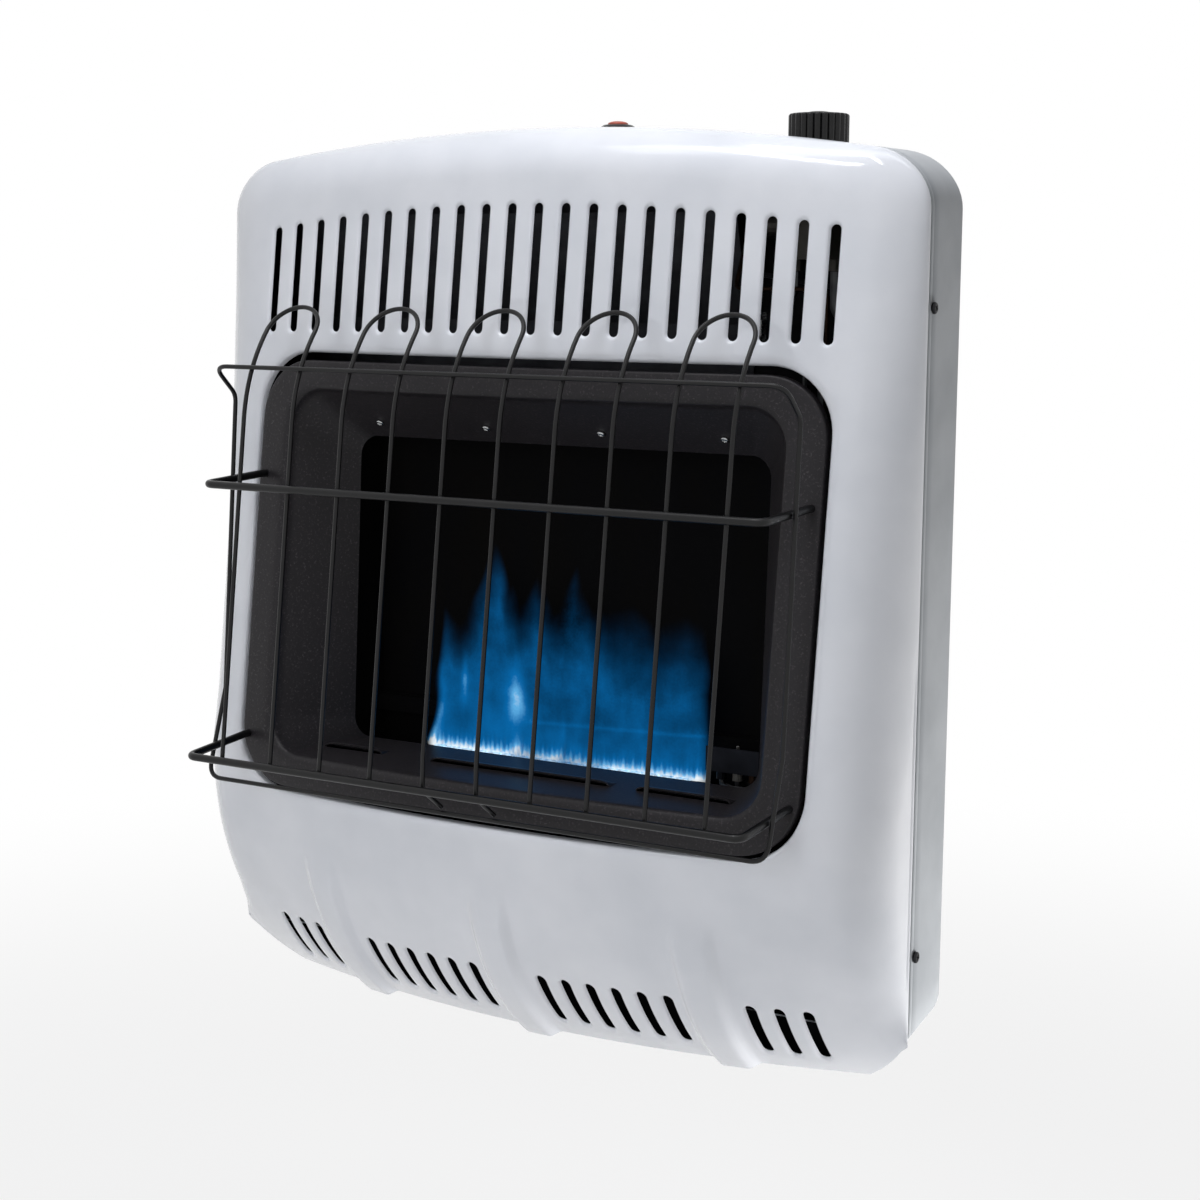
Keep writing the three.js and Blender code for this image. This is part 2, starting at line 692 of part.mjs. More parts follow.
// One point of the front skin. Near the crown and the sides the skin rounds over as a quarter disc.
function frontPoint(column, row, inset) {
  const reach = Math.max(column.close, row.close);
  const turn = Math.sin((reach * Math.PI) / 2);
  let spin = Math.PI / 2;
  if (column.close > 0) {
    const even = Math.min(column.close, row.close) / reach;
    spin = column.close >= row.close ? (even * Math.PI) / 4 : Math.PI / 2 - (even * Math.PI) / 4;
  }
  const halfWidth = HALF_WIDTH - inset;
  const crownRound = CROWN_ROUND - inset;
  const guess = row.chin > 0
    ? THREE.MathUtils.lerp(CHIN_TOP, FOOT_HEIGHT, row.chin)
    : THREE.MathUtils.lerp(CROWN_HEIGHT, CHIN_TOP, row.face);
  const round = sideRound(guess, inset);
  const x = column.share * (halfWidth - round) + column.side * round * Math.cos(spin) * turn;
  let z = crownZ(x, inset) - crownRound;
  if (row.close > 0) z += crownRound * Math.sin(spin) * turn;
  z = THREE.MathUtils.lerp(z, chinTop(inset), row.face);
  if (row.chin > 0) {
    const foot = chinHeightAt(x, CHIN_BACK_DEPTH, inset);
    const sweep = Math.asin((CHIN_CENTRE.z - foot) / (CHIN_RADIUS - inset)) + LEAN;
    z = CHIN_CENTRE.z - (CHIN_RADIUS - inset) * Math.sin(sweep * row.chin - LEAN);
  }
  if (row.chin === 1) return [x, -CHIN_BACK_DEPTH, z];
  const surface = frontY(x, z, inset);
  const depth = Math.min(sideRoundDepth(z, inset), -SEAM_DEPTH - surface);
  return [x, surface + Math.max(depth, 0) * (1 - Math.cos((reach * Math.PI) / 2)), z];
}

// Closed solid behind the front skin, inset by a wall, running straight back to a given depth
function frontSolid(inset, back = -CHIN_BACK_DEPTH) {
  const columns = frontColumns();
  const rows = frontRows();
  const grid = rows.map((row) => columns.map((column) => frontPoint(column, row, inset)));
  const across = columns.length;
  const places = grid.flat();
  const faces = [];
  for (let j = 0; j < rows.length - 1; j += 1) {
    for (let i = 0; i < across - 1; i += 1) {
      const a = j * across + i;
      faces.push(a, a + across, a + 1, a + 1, a + across, a + across + 1);
    }
  }
  const border = [];
  for (let i = 0; i < across; i += 1) border.push(i);
  for (let j = 1; j < rows.length; j += 1) border.push(j * across + across - 1);
  for (let i = across - 2; i >= 0; i -= 1) border.push((rows.length - 1) * across + i);
  for (let j = rows.length - 2; j > 0; j -= 1) border.push(j * across);
  const base = places.length;
  border.forEach((k) => places.push([places[k][0], back, places[k][2]]));
  border.forEach((k, i) => {
    const n = (i + 1) % border.length;
    faces.push(k, border[n], base + i, border[n], base + n, base + i);
  });
  const flat = border.map((k) => new THREE.Vector2(places[k][0], places[k][2]));
  const backFaces = THREE.ShapeUtils.triangulateShape(flat, []);
  backFaces.forEach(([a, b, c]) => faces.push(base + a, base + c, base + b));
  const geometry = new THREE.BufferGeometry();
  geometry.setAttribute('position', new THREE.Float32BufferAttribute(places.flat(), 3));
  geometry.setIndex(faces);
  return solidOf(geometry);
}

// Height share of a pressed rib at a share of its half width
function ribShare(across) {
  const share = THREE.MathUtils.clamp((1 - Math.abs(across)) / RIB_FLANK_SHARE, 0, 1);
  return share * share * (3 - 2 * share);
}

function ribSolid(centre, drop, root) {
  const rings = [];
  for (let j = 0; j <= RIB_ROWS; j += 1) {
    const z = THREE.MathUtils.lerp(RIB_TOP, RIB_FOOT, j / RIB_ROWS);
    const rise = THREE.MathUtils.smoothstep(RIB_TOP - z, 0, RIB_RISE);
    const point = (across, lift) => {
      const x = centre + across * RIB_HALF_WIDTH;
      const y = frontY(x, z);
      const angle = Math.asin(Math.min((CHIN_CENTRE.z - z) / CHIN_RADIUS, 1));
      return [x, y - lift * Math.cos(angle), z - lift * Math.sin(angle)];
    };
    const top = RIB_COLUMN_SHARES.map(
      (c) => point(c, RIB_HEIGHT * ribShare(c) * rise - drop - RIB_ROOT * (1 - ribShare(c))),
    );
    const under = [...RIB_COLUMN_SHARES].reverse().map((c) => point(c, -drop - root));
    rings.push([...top, ...under]);
  }
  return skin(rings, false, [0, 1]);
}

const RIB_CENTRES = [-RIB_SPACING, 0, RIB_SPACING];

function footZ(x) {
  const lobe = Math.max(...RIB_CENTRES.map((centre) => ribShare((x - centre) / RIB_HALF_WIDTH)));
  return FOOT_HEIGHT + FOOT_ARCH * bowShare(x) - RIB_HEIGHT * RIB_FOOT_LOBE_SHARE * lobe;
}

// A corner of the chin's lower edge: a quarter round pressed towards its chord
function footCorner(side, low, start) {
  const round = arcPoints([side, low], FOOT_CORNER, start, start + Math.PI / 2, FOOT_CORNER_STEPS);
  const [first, last] = [round[0], round[round.length - 1]];
  return round.map(([x, z], i) => {
    const share = i / FOOT_CORNER_STEPS;
    return [
      THREE.MathUtils.lerp(x, THREE.MathUtils.lerp(first[0], last[0], share), FOOT_CORNER_FLAT_SHARE),
      THREE.MathUtils.lerp(z, THREE.MathUtils.lerp(first[1], last[1], share), FOOT_CORNER_FLAT_SHARE),
    ];
  });
}

// What lies below the chin's lower edge, with its flattened corners
function footCutter() {
  const reach = HALF_WIDTH + OVERRUN;
  const side = HALF_WIDTH - FOOT_CORNER;
  const low = FOOT_HEIGHT + FOOT_ARCH * bowShare(side) + FOOT_CORNER;
  const xs = [];
  for (let i = -FOOT_STEPS; i <= FOOT_STEPS; i += 1) xs.push((side * i) / FOOT_STEPS);
  RIB_CENTRES.forEach((centre) => RIB_COLUMN_SHARES.forEach((c) => xs.push(centre + c * RIB_HALF_WIDTH)));
  xs.sort((a, b) => a - b);
  const outline = [
    [-reach, low],
    ...footCorner(-side, low, Math.PI),
    ...xs.filter((x) => Math.abs(x) < side - GAP).map((x) => [x, footZ(x)]),
    ...footCorner(side, low, 1.5 * Math.PI),
    [reach, low],
    [reach, FOOT_HEIGHT - CHIN_RADIUS],
    [-reach, FOOT_HEIGHT - CHIN_RADIUS],
  ];
  return prism('y', outline, -2 * CHIN_RADIUS, CHIN_RADIUS);
}

function upperSlots() {
  const slots = [];
  for (let i = 0; i < UPPER_SLOTS; i += 1) {
    const x = (i - (UPPER_SLOTS - 1) / 2) * UPPER_PITCH;
    const high = UPPER_SLOT_TOP - UPPER_SLOT_DROP * bowShare(x);
    const low = -UPPER_SLOT_BOTTOM_DROP * bowShare(x);
    slots.push(prism('y', stadium(x, low, high, UPPER_SLOT_WIDTH), -2 * FACE_DEPTH, -SEAM_DEPTH - OVERRUN));
  }
  return slots;
}

function lowerSlotCentres() {
  const right = [];
  for (let i = 0; i < LOWER_INNER_COUNT; i += 1) right.push(LOWER_SLOT_MARGIN + i * LOWER_PITCH);
  const outer = RIB_SPACING + LOWER_SLOT_MARGIN;
  for (let i = 0; i < LOWER_OUTER_COUNT; i += 1) right.push(outer + i * LOWER_PITCH);
  return [...right.map((x) => -x), ...right];
}

function lowerSlots() {
  return lowerSlotCentres().map((x) => prism(
    'y', stadium(x, chinLevel(LOWER_SLOT_FOOT_SHARE), chinLevel(LOWER_SLOT_TOP_SHARE), LOWER_SLOT_WIDTH),
    -2 * CHIN_RADIUS, -CHIN_BACK_DEPTH,
  ));
}

function fireboxCutter() {
  const loop = roundedLoop(OPENING_HALF_WIDTH, OPENING_TOP, OPENING_FOOT, OPENING_CORNER, 1, 1, 8);
  return prism('y', loop, -2 * FACE_DEPTH, -SEAM_DEPTH);
}

function screwSites() {
  const y = -SEAM_DEPTH + CABINET_SCREW_SETBACK;
  return [-1, 1].flatMap((side) => CABINET_SCREW_HEIGHTS.map((z) => ({ side, x: side * HALF_WIDTH, y, z })));
}

function screwHoles() {
  return screwSites().map(({ side, x, y, z }) => placed(
    rod(SCREW_SHANK_RADIUS + GAP, -SCREW_LENGTH, SCREW_LENGTH, 12), [x, y, z], [0, side * Math.PI / 2, 0],
  ));
}

function frontCabinet() {
  const ribs = RIB_CENTRES.map((centre) => ribSolid(centre, 0, SHEET / 2));
  const hollows = RIB_CENTRES.map((centre) => ribSolid(centre, SHEET, 2 * SHEET));
  const outer = join(frontSolid(0), ...ribs);
  const inner = join(frontSolid(SHEET, 0), ...hollows);
  const reach = 2 * HALF_WIDTH;
  const behind = box(-reach, reach, -SEAM_DEPTH, OVERRUN, SIDE_FOOT, reach);
  const sideTrims = [-1, 1].map((side) => {
    const near = side * (HALF_WIDTH - SHEET - GAP);
    const far = side * reach;
    return box(Math.min(near, far), Math.max(near, far), -SEAM_DEPTH, OVERRUN, -reach, SIDE_FOOT + GAP);
  });
  const shell = cut(outer, inner, behind, ...sideTrims, footCutter());
  const tuckInset = SHEET + GAP;
  const slab = (y0, y1) => box(-reach, reach, y0, y1, TUCK_FOOT, reach);
  const tuck = common(
    cut(frontSolid(tuckInset), frontSolid(tuckInset + SHEET, 0)),
    slab(-SEAM_DEPTH - JOGGLE, -SEAM_DEPTH + TUCK_DEPTH),
  );
  const joggle = common(
    cut(frontSolid(0), frontSolid(tuckInset + SHEET / 2, 0)),
    slab(-SEAM_DEPTH - JOGGLE, -SEAM_DEPTH),
  );
  const notches = [
    topHole(KNOB_X, KNOB_DEPTH, KNOB_RADIUS + 2 * TOP_HOLE_CLEARANCE),
    topHole(IGNITER_X, IGNITER_DEPTH, NUT_RADIUS + GAP),
  ];
  return cut(
    join(shell, cut(tuck, ...notches), joggle),
    fireboxCutter(), ...upperSlots(), ...lowerSlots(), ...screwHoles(),
  );
}

// Rear housing: a pan whose outline matches the cabinet at the seam
function housingOutline(inset) {
  const halfWidth = HALF_WIDTH - inset;
  const width = SIDE_ROUND - inset;
  const round = CROWN_ROUND - inset;
  const side = halfWidth - width;
  const corner = [];
  for (let i = 0; i <= HOUSING_CORNER_STEPS; i += 1) {
    const angle = (Math.PI / 2) * (i / HOUSING_CORNER_STEPS);
    const x = side + width * Math.cos(angle);
    corner.push([x, crownZ(x, inset) - round + round * Math.sin(angle)]);
  }
  const crown = [];
  for (let i = HOUSING_CROWN_STEPS - 1; i > -HOUSING_CROWN_STEPS; i -= 1) {
    const x = (side * i) / HOUSING_CROWN_STEPS;
    crown.push([x, crownZ(x, inset)]);
  }
  const mirrored = corner.map(([x, z]) => [-x, z]).reverse();
  return [[-halfWidth, FOOT_HEIGHT], [halfWidth, FOOT_HEIGHT], ...corner, ...crown, ...mirrored];
}

// Side view of the pan: its foot drops towards the seam and has a round rear corner
function housingSide(inset) {
  const rear = HOUSING_FOOT + HOUSING_FOOT_RISE;
  const slope = HOUSING_FOOT_RISE / (SEAM_DEPTH - HOUSING_CORNER);
  const front = -SEAM_DEPTH - OVERRUN;
  return prism('x', [
    [front, HOUSING_FOOT + inset - slope * OVERRUN],
    ...arcPoints(
      [-HOUSING_CORNER, rear + HOUSING_CORNER], HOUSING_CORNER - inset, 1.5 * Math.PI, 2 * Math.PI, 4,
    ),
    [-inset, 2 * CROWN_HEIGHT],
    [front, 2 * CROWN_HEIGHT],
  ], -2 * HALF_WIDTH, 2 * HALF_WIDTH);
}

function topHole(x, depth, radius) {
  return placed(rod(radius, 0, 2 * CROWN_HEIGHT, 28), [x, -depth, SHEET]);
}

function rearHousing() {
  const front = -SEAM_DEPTH + GAP;
  const outer = common(prism('y', housingOutline(0), front, 0), housingSide(0));
  const pocket = common(
    prism('y', housingOutline(SHEET), front - OVERRUN, -BACK_RECESS - SHEET), housingSide(SHEET),
  );
  const recessFoot = HOUSING_FOOT + HOUSING_FOOT_RISE + HOUSING_CORNER;
  const recess = cut(
    prism('y', housingOutline(SHEET), -BACK_RECESS, OVERRUN),
    box(-2 * HALF_WIDTH, 2 * HALF_WIDTH, -2 * BACK_RECESS, 2 * OVERRUN, 2 * FOOT_HEIGHT, recessFoot),
  );
  const hookSlots = [-HOOK_X, HOOK_X].map((x) => box(
    x - HOOK_WIDTH / 2 - HOOK_SLOT_CLEARANCE, x + HOOK_WIDTH / 2 + HOOK_SLOT_CLEARANCE,
    -2 * BACK_RECESS, 0, -HOOK_LIP, HOOK_LIP + HOOK_SLOT_HEADROOM,
  ));
  const holes = [
    topHole(KNOB_X, KNOB_DEPTH, KNOB_RADIUS + TOP_HOLE_CLEARANCE),
    topHole(IGNITER_X, IGNITER_DEPTH, BARREL_RADIUS + GAP),
  ];
  const inlet = placed(
    rod(INLET_RADIUS + INLET_HOLE_CLEARANCE, -INLET_LENGTH, INLET_LENGTH),
    [REGULATOR_X, -REGULATOR_DEPTH, HOUSING_FOOT],
  );
  return cut(outer, pocket, recess, ...hookSlots, ...holes, inlet, ...screwHoles());
}

// Wall bracket with two hooks that reach through the housing's back
function wallBracket() {
  const plate = prism('y', roundedLoop(
    BRACKET_HALF_WIDTH, BRACKET_HALF_HEIGHT, -BRACKET_HALF_HEIGHT, BRACKET_CORNER, 1, 1, 4,
  ), -BRACKET_THICKNESS, 0);
  const hooks = [-HOOK_X, HOOK_X].map((x) => prism('x', [
    [-BRACKET_THICKNESS / 2, 0],
    [-HOOK_REACH, 0],
    [-HOOK_REACH, HOOK_LIP],
    [-HOOK_REACH + BRACKET_THICKNESS, HOOK_LIP],
    [-HOOK_REACH + BRACKET_THICKNESS, BRACKET_THICKNESS],
    [-BRACKET_THICKNESS / 2, BRACKET_THICKNESS],
  ], x - HOOK_WIDTH / 2, x + HOOK_WIDTH / 2));
  const holes = [-1, 1].map((side) => placed(
    rod(BRACKET_HOLE_RADIUS, -OVERRUN, OVERRUN, 14), [side * BRACKET_HALF_WIDTH / 2, 0, 0], TO_FRONT,
  ));
  return cut(join(plate, ...hooks), ...holes);
}

// Firebox surround: lip, bowed flange, rounded fold and tapered walls to the throat
function surroundRings(inset) {
  const outerHalf = OPENING_HALF_WIDTH - SURROUND_SIDE_CLEARANCE;
  const outerTop = OPENING_TOP - SURROUND_TOP_CLEARANCE;
  const outerFoot = OPENING_FOOT + SURROUND_FOOT_CLEARANCE;
  const corner = OPENING_CORNER - SURROUND_SIDE_CLEARANCE;
  const onFace = (lift) => ([x, z]) => [x, frontY(x, Math.max(z, OPENING_FOOT)) + SURROUND_RECESS + lift, z];
  const flange = (shrink, lift) => roundedLoop(
    outerHalf - shrink, outerTop - shrink, outerFoot + shrink, corner - shrink,
  ).map(onFace(lift));
  const fold = (grow, lift) => roundedLoop(
    outerHalf - FLANGE_SIDE + grow, outerTop - FLANGE_TOP + grow, outerFoot + FLANGE_FOOT - grow,
    FLANGE_CORNER + grow,
  ).map(onFace(lift));
  const throat = (grow, back) => roundedLoop(
    THROAT_HALF_WIDTH + grow, THROAT_TOP + grow, THROAT_FOOT - grow, THROAT_CORNER + grow,
  ).map(([x, z]) => [x, throatY(z) + back, z]);
  return [
    flange(inset, SURROUND_LIP),
    flange(inset, SURROUND_LIP_ROUND),
    flange(SURROUND_LIP_ROUND + inset / 2, inset),
    fold(inset, inset),
    fold(inset - FOLD_ROUND, FOLD_ROUND),
    throat(inset, 0),
  ];
}

function throatY(z) {
  const share = (THROAT_TOP - z) / (THROAT_TOP - THROAT_FOOT);
  return -THREE.MathUtils.lerp(THROAT_TOP_DEPTH, THROAT_FOOT_DEPTH, share);
}

function floorVents() {
  const y = -FLOOR_VENT_DEPTH;
  return FLOOR_VENT_SHARES.map(([from, to]) => box(
    from * THROAT_HALF_WIDTH, to * THROAT_HALF_WIDTH, y - FLOOR_VENT_WIDTH / 2, y + FLOOR_VENT_WIDTH / 2,
    THROAT_FOOT - 2 * FLANGE_FOOT, THROAT_FOOT + OVERRUN,
  ));
}

function barHole(side, z) {
  return placed(
    rod(BAR_RADIUS + GAP, 0, 2 * SURROUND_LIP, 12),
    [side * BAR_HALF_WIDTH, frontY(BAR_HALF_WIDTH, z) + SURROUND_LIP, z], TO_FRONT,
  );
}

// Places on the surround's sloping top wall that take its four screws
function topWallPlace(x) {
  const share = SURROUND_SCREW_DROP_SHARE;
  const foldHalf = OPENING_HALF_WIDTH - SURROUND_SIDE_CLEARANCE - FLANGE_SIDE - FLANGE_CORNER;
  const reach = x / THREE.MathUtils.lerp(foldHalf, THROAT_HALF_WIDTH - THROAT_CORNER, share);
  const foldTop = OPENING_TOP - SURROUND_TOP_CLEARANCE - FLANGE_TOP - FOLD_ROUND;
  const foldY = frontY(foldHalf * reach, foldTop) + SURROUND_RECESS + FOLD_ROUND;
  return {
    y: THREE.MathUtils.lerp(foldY, -THROAT_TOP_DEPTH, share),
    z: THREE.MathUtils.lerp(foldTop, THROAT_TOP, share),
    slope: Math.atan2(THROAT_TOP - foldTop, -THROAT_TOP_DEPTH - foldY),
  };
}

const SURROUND_SCREW_XS = SURROUND_SCREW_SHARES.map((share) => share * THROAT_HALF_WIDTH);

function surroundScrewAt(x, solid) {
  const { y, z, slope } = topWallPlace(x);
  return placed(solid, [x, y, z], [slope + Math.PI, 0, 0]);
}

function fireboxSurround() {
  const outside = surroundRings(0);
  const inside = surroundRings(SHEET).reverse();
  const body = skin([...outside, ...inside], true);
  const holes = [-1, 1].flatMap((side) => [
    barHole(side, UPPER_BAR + UPPER_BAR_RISE),
    barHole(side, LOWER_BAR + LOWER_BAR_RISE),
  ]);
  const screwHolesHere = SURROUND_SCREW_XS.map((x) => surroundScrewAt(
    x, rod(SCREW_SHANK_RADIUS * SMALL_SCREW_SHARE + GAP, -SCREW_LENGTH, SCREW_LENGTH, 10),
  ));
  return cut(body, ...floorVents(), ...holes, ...screwHolesHere);
}

// Screws: a pan head over its seat at zero height, with the shank below
function screw(share = 1) {
  const head = SCREW_HEAD_RADIUS * share;
  const height = SCREW_HEAD_HEIGHT * share;
  const shank = SCREW_SHANK_RADIUS * share;
  return turned([
    [0, -SCREW_LENGTH * share], [shank, -SCREW_LENGTH * share], [shank, 0], [head, 0],
    [head, height / 2], [head * SCREW_CROWN_SHARE, height], [0, height],
  ], SCREW_SEGMENTS);
}

// Guard
function hoopY(z) {
  return -HOOP_FOOT_DEPTH + HOOP_LEAN_SHARE * (z - HOOP_FOOT);
}

function hoopSide() {
  const start = Math.PI / 2 - Math.atan(HOOP_LEAN_SHARE);
  const points = [[hoopY(HOOP_FOOT), HOOP_FOOT]];
  const y0 = hoopY(HOOP_BEND_START);
  for (let i = 0; i <= BEND_STEPS; i += 1) {
    const angle = THREE.MathUtils.lerp(start, HOOP_BEND_END, i / BEND_STEPS);
    points.push([
      y0 + HOOP_BEND_RADIUS * (Math.sin(start) - Math.sin(angle)),
      HOOP_BEND_START + HOOP_BEND_RADIUS * (Math.cos(angle) - Math.cos(start)),
    ]);
  }
  return points;
}

function guardHoop(index) {
  const centre = (index - (HOOP_COUNT - 1) / 2) * 2 * HOOP_WIDTH;
  const radius = HOOP_WIDTH / 2;
  const side = hoopSide();
  const [topY, topZ] = side[side.length - 1];
  const left = side.map(([y, z]) => [centre - radius, y, z]);
  const arch = [];
  for (let i = 1; i < HOOP_ARCH_STEPS; i += 1) {
    const angle = Math.PI - (Math.PI * i) / HOOP_ARCH_STEPS;
    const lift = radius * Math.sin(angle);
    arch.push([
      centre + radius * Math.cos(angle),
      topY + lift * Math.cos(HOOP_BEND_END),
      topZ + lift * Math.sin(HOOP_BEND_END),
    ]);
  }
  const right = side.map(([y, z]) => [centre + radius, y, z]).reverse();
  const path = [...left, ...arch, ...right];
  if (index !== (HOOP_COUNT - 1) / 2) return tube(path, WIRE_RADIUS, WIRE_SIDES);
  const hook = (x) => bentRun([
    [x, -HOOK_END_DEPTH, HOOK_END],
    [x, hoopY(HOOP_FOOT) + WIRE_RADIUS, HOOP_FOOT - WIRE_RADIUS],
    [x, hoopY(UPPER_BAR), UPPER_BAR],
  ], 2 * WIRE_RADIUS, 3).slice(0, -1);
  const whole = [...hook(centre - radius), ...path.slice(1, -1), ...hook(centre + radius).reverse()];
  return tube(whole, WIRE_RADIUS, WIRE_SIDES);
}

function guardBar(front, rise) {
  const depth = hoopY(front) - WIRE_RADIUS - GAP - BAR_RADIUS;
  const hole = frontY(BAR_HALF_WIDTH, front + rise) + SURROUND_RECESS;
  const half = [
    [BAR_HALF_WIDTH, hole + BAR_TUCK, front + rise],
    [BAR_HALF_WIDTH, hole - BAR_TUCK, front + rise],
    [BAR_HALF_WIDTH, depth, front],
  ];
  const mirrored = half.map(([x, y, z]) => [-x, y, z]).reverse();
  return tube(bentRun([...half, ...mirrored], BAR_BEND), BAR_RADIUS);
}

function ringSideY(z) {
  return -RING_SIDE_DEPTH + RING_SIDE_LEAN_SHARE * (z - RING_SIDE_TOP);
}

function guardRing() {
  const side = BAR_HALF_WIDTH + BAR_RADIUS + GAP + WIRE_RADIUS;
  const hoopAtTop = hoopYOnBend(RING_TOP);
  const top = hoopAtTop - 2 * WIRE_RADIUS - GAP;
  const foot = -HOOK_END_DEPTH - WIRE_RADIUS;
  const tail = RING_FOOT + RING_CORNER;
  const half = [
    [GAP / 2, top, RING_TOP],
    [side - RING_CORNER, top, RING_TOP],
    [side, ringSideY(RING_SIDE_TOP), RING_SIDE_TOP + RING_CORNER],
    [side, ringSideY(RING_SIDE_TOP - RING_CORNER), RING_SIDE_TOP - RING_CORNER],
    [side, ringSideY(RING_SIDE_FOOT), RING_SIDE_FOOT],
    [side, foot, tail],
    [side - RING_CORNER, foot, RING_FOOT],
  ];
  const mirrored = half.map(([x, y, z]) => [-x, y, z]).reverse();
  return tube(bentRun([...half, ...mirrored], RING_CORNER, FINE_BEND_STEPS), WIRE_RADIUS, WIRE_SIDES);
}

// Depth of the hoops where they have begun to bend back, at a given height
function hoopYOnBend(z) {
  const start = Math.PI / 2 - Math.atan(HOOP_LEAN_SHARE);
  const angle = Math.acos((z - HOOP_BEND_START) / HOOP_BEND_RADIUS + Math.cos(start));
  return hoopY(HOOP_BEND_START) + HOOP_BEND_RADIUS * (Math.sin(start) - Math.sin(angle));
}

// Bent sheet: a path of [y, z] points given a thickness and pushed along X
function bentSheet(path, thickness, from, to) {
  const vectors = path.map(([y, z]) => new THREE.Vector2(y, z));
  const offset = vectors.map((point, i) => {
    const before = vectors[Math.max(i - 1, 0)];
    const after = vectors[Math.min(i + 1, vectors.length - 1)];
    const one = new THREE.Vector2().subVectors(point, i === 0 ? point : before);
    const two = new THREE.Vector2().subVectors(i === vectors.length - 1 ? point : after, point);
    if (i === 0) one.copy(two);
    if (i === vectors.length - 1) two.copy(one);
    one.normalize();
    two.normalize();
    const normal = new THREE.Vector2(-one.y - two.y, one.x + two.x).normalize();
    const stretch = thickness / normal.dot(new THREE.Vector2(-one.y, one.x));
    return [point.x + normal.x * stretch, point.y + normal.y * stretch];
  });
  return prism('x', [...path, ...offset.reverse()], from, to);
}

// Combustion chamber
function chamberBack() {
  const back = -CHAMBER_BACK_DEPTH;
  return bentSheet([
    [back, CHAMBER_FOOT],
    [back, LEDGE_HEIGHT - LEDGE_STEP],
    [back - LEDGE_STEP, LEDGE_HEIGHT - LEDGE_STEP],
    [back - LEDGE_STEP, LEDGE_HEIGHT],
    [back, LEDGE_HEIGHT],
    [back, CHAMBER_TOP],
  ], SHEET, -CHAMBER_HALF_WIDTH + GAP, CHAMBER_HALF_WIDTH - GAP);
}

function chamberSide(side) {
  const inner = side * CHAMBER_HALF_WIDTH;
  const outer = inner + side * SHEET;
  const rim = (z) => throatY(z) + GAP;
  const back = -BACK_RECESS - SHEET - GAP;
  const wall = prism('x', [
    [rim(CHAMBER_FOOT), CHAMBER_FOOT], [back, CHAMBER_FOOT],
    [back, CHAMBER_TOP], [rim(CHAMBER_TOP), CHAMBER_TOP],
  ], Math.min(inner, outer), Math.max(inner, outer));
  const flangeEnd = outer + side * CHAMBER_FLANGE;
  const flange = box(
    Math.min(inner, flangeEnd), Math.max(inner, flangeEnd), back - SHEET, back, CHAMBER_FOOT, CHAMBER_TOP,
  );
  const whole = join(wall, flange);
  if (side < 0) return whole;
  const hole = (radius, y, z) => placed(
    rod(radius + TUBE_CLEARANCE, -OVERRUN, OVERRUN, 12), [inner, y, z], TO_RIGHT,
  );
  return cut(
    whole, hole(TUBE_RADIUS, -BURNER_DEPTH, INJECTOR_Z), hole(FINE_TUBE_RADIUS, PILOT_LANE, LANE_HEIGHT),
    hole(LEAD_RADIUS, LEAD_LANE, LANE_HEIGHT), hole(FINE_TUBE_RADIUS, THERMOCOUPLE_LANE, LANE_HEIGHT),
  );
}

function chamberHood() {
  const front = -THROAT_TOP_DEPTH;
  const back = -CHAMBER_BACK_DEPTH - HOOD_GAP;
  return bentSheet([
    [front - FOLD_ROUND, THROAT_TOP + SHEET + GAP + FOLD_ROUND],
    [front + GAP, THROAT_TOP + SHEET + GAP],
    [back, THROAT_TOP + HOOD_RISE],
  ], SHEET, -CHAMBER_HALF_WIDTH + GAP, CHAMBER_HALF_WIDTH - GAP);
}

const DEFLECTOR_LEFT = -HALF_WIDTH + DEFLECTOR_MARGIN;
const DEFLECTOR_RIGHT = KNOB_X - DEFLECTOR_KNOB_GAP;

function heatDeflector() {
  const back = -BACK_RECESS - SHEET - GAP;
  const clearOfHooks = -HOOK_REACH - SHEET - GAP;
  return bentSheet([
    [back, DEFLECTOR_FOOT - DEFLECTOR_BEND],
    [back, DEFLECTOR_FOOT],
    [clearOfHooks, DEFLECTOR_FOOT + DEFLECTOR_STEP],
    [clearOfHooks, DEFLECTOR_FOOT + DEFLECTOR_STEP + DEFLECTOR_BEND],
    [back - DEFLECTOR_REACH * DEFLECTOR_LEAN_SHARE, DEFLECTOR_TOP - DEFLECTOR_BEND],
    [back - DEFLECTOR_REACH, DEFLECTOR_TOP],
  ], SHEET, DEFLECTOR_LEFT, DEFLECTOR_RIGHT);
}

function burnerShelf() {
  return bentSheet([
    [throatY(THROAT_FOOT) + GAP, THROAT_FOOT - SHEET - GAP],
    [throatY(THROAT_FOOT) + GAP, SHELF_HEIGHT],
    [-CHAMBER_BACK_DEPTH - SHEET - GAP, SHELF_HEIGHT],
  ], SHEET, -CHAMBER_HALF_WIDTH + GAP, CHAMBER_HALF_WIDTH - GAP);
}

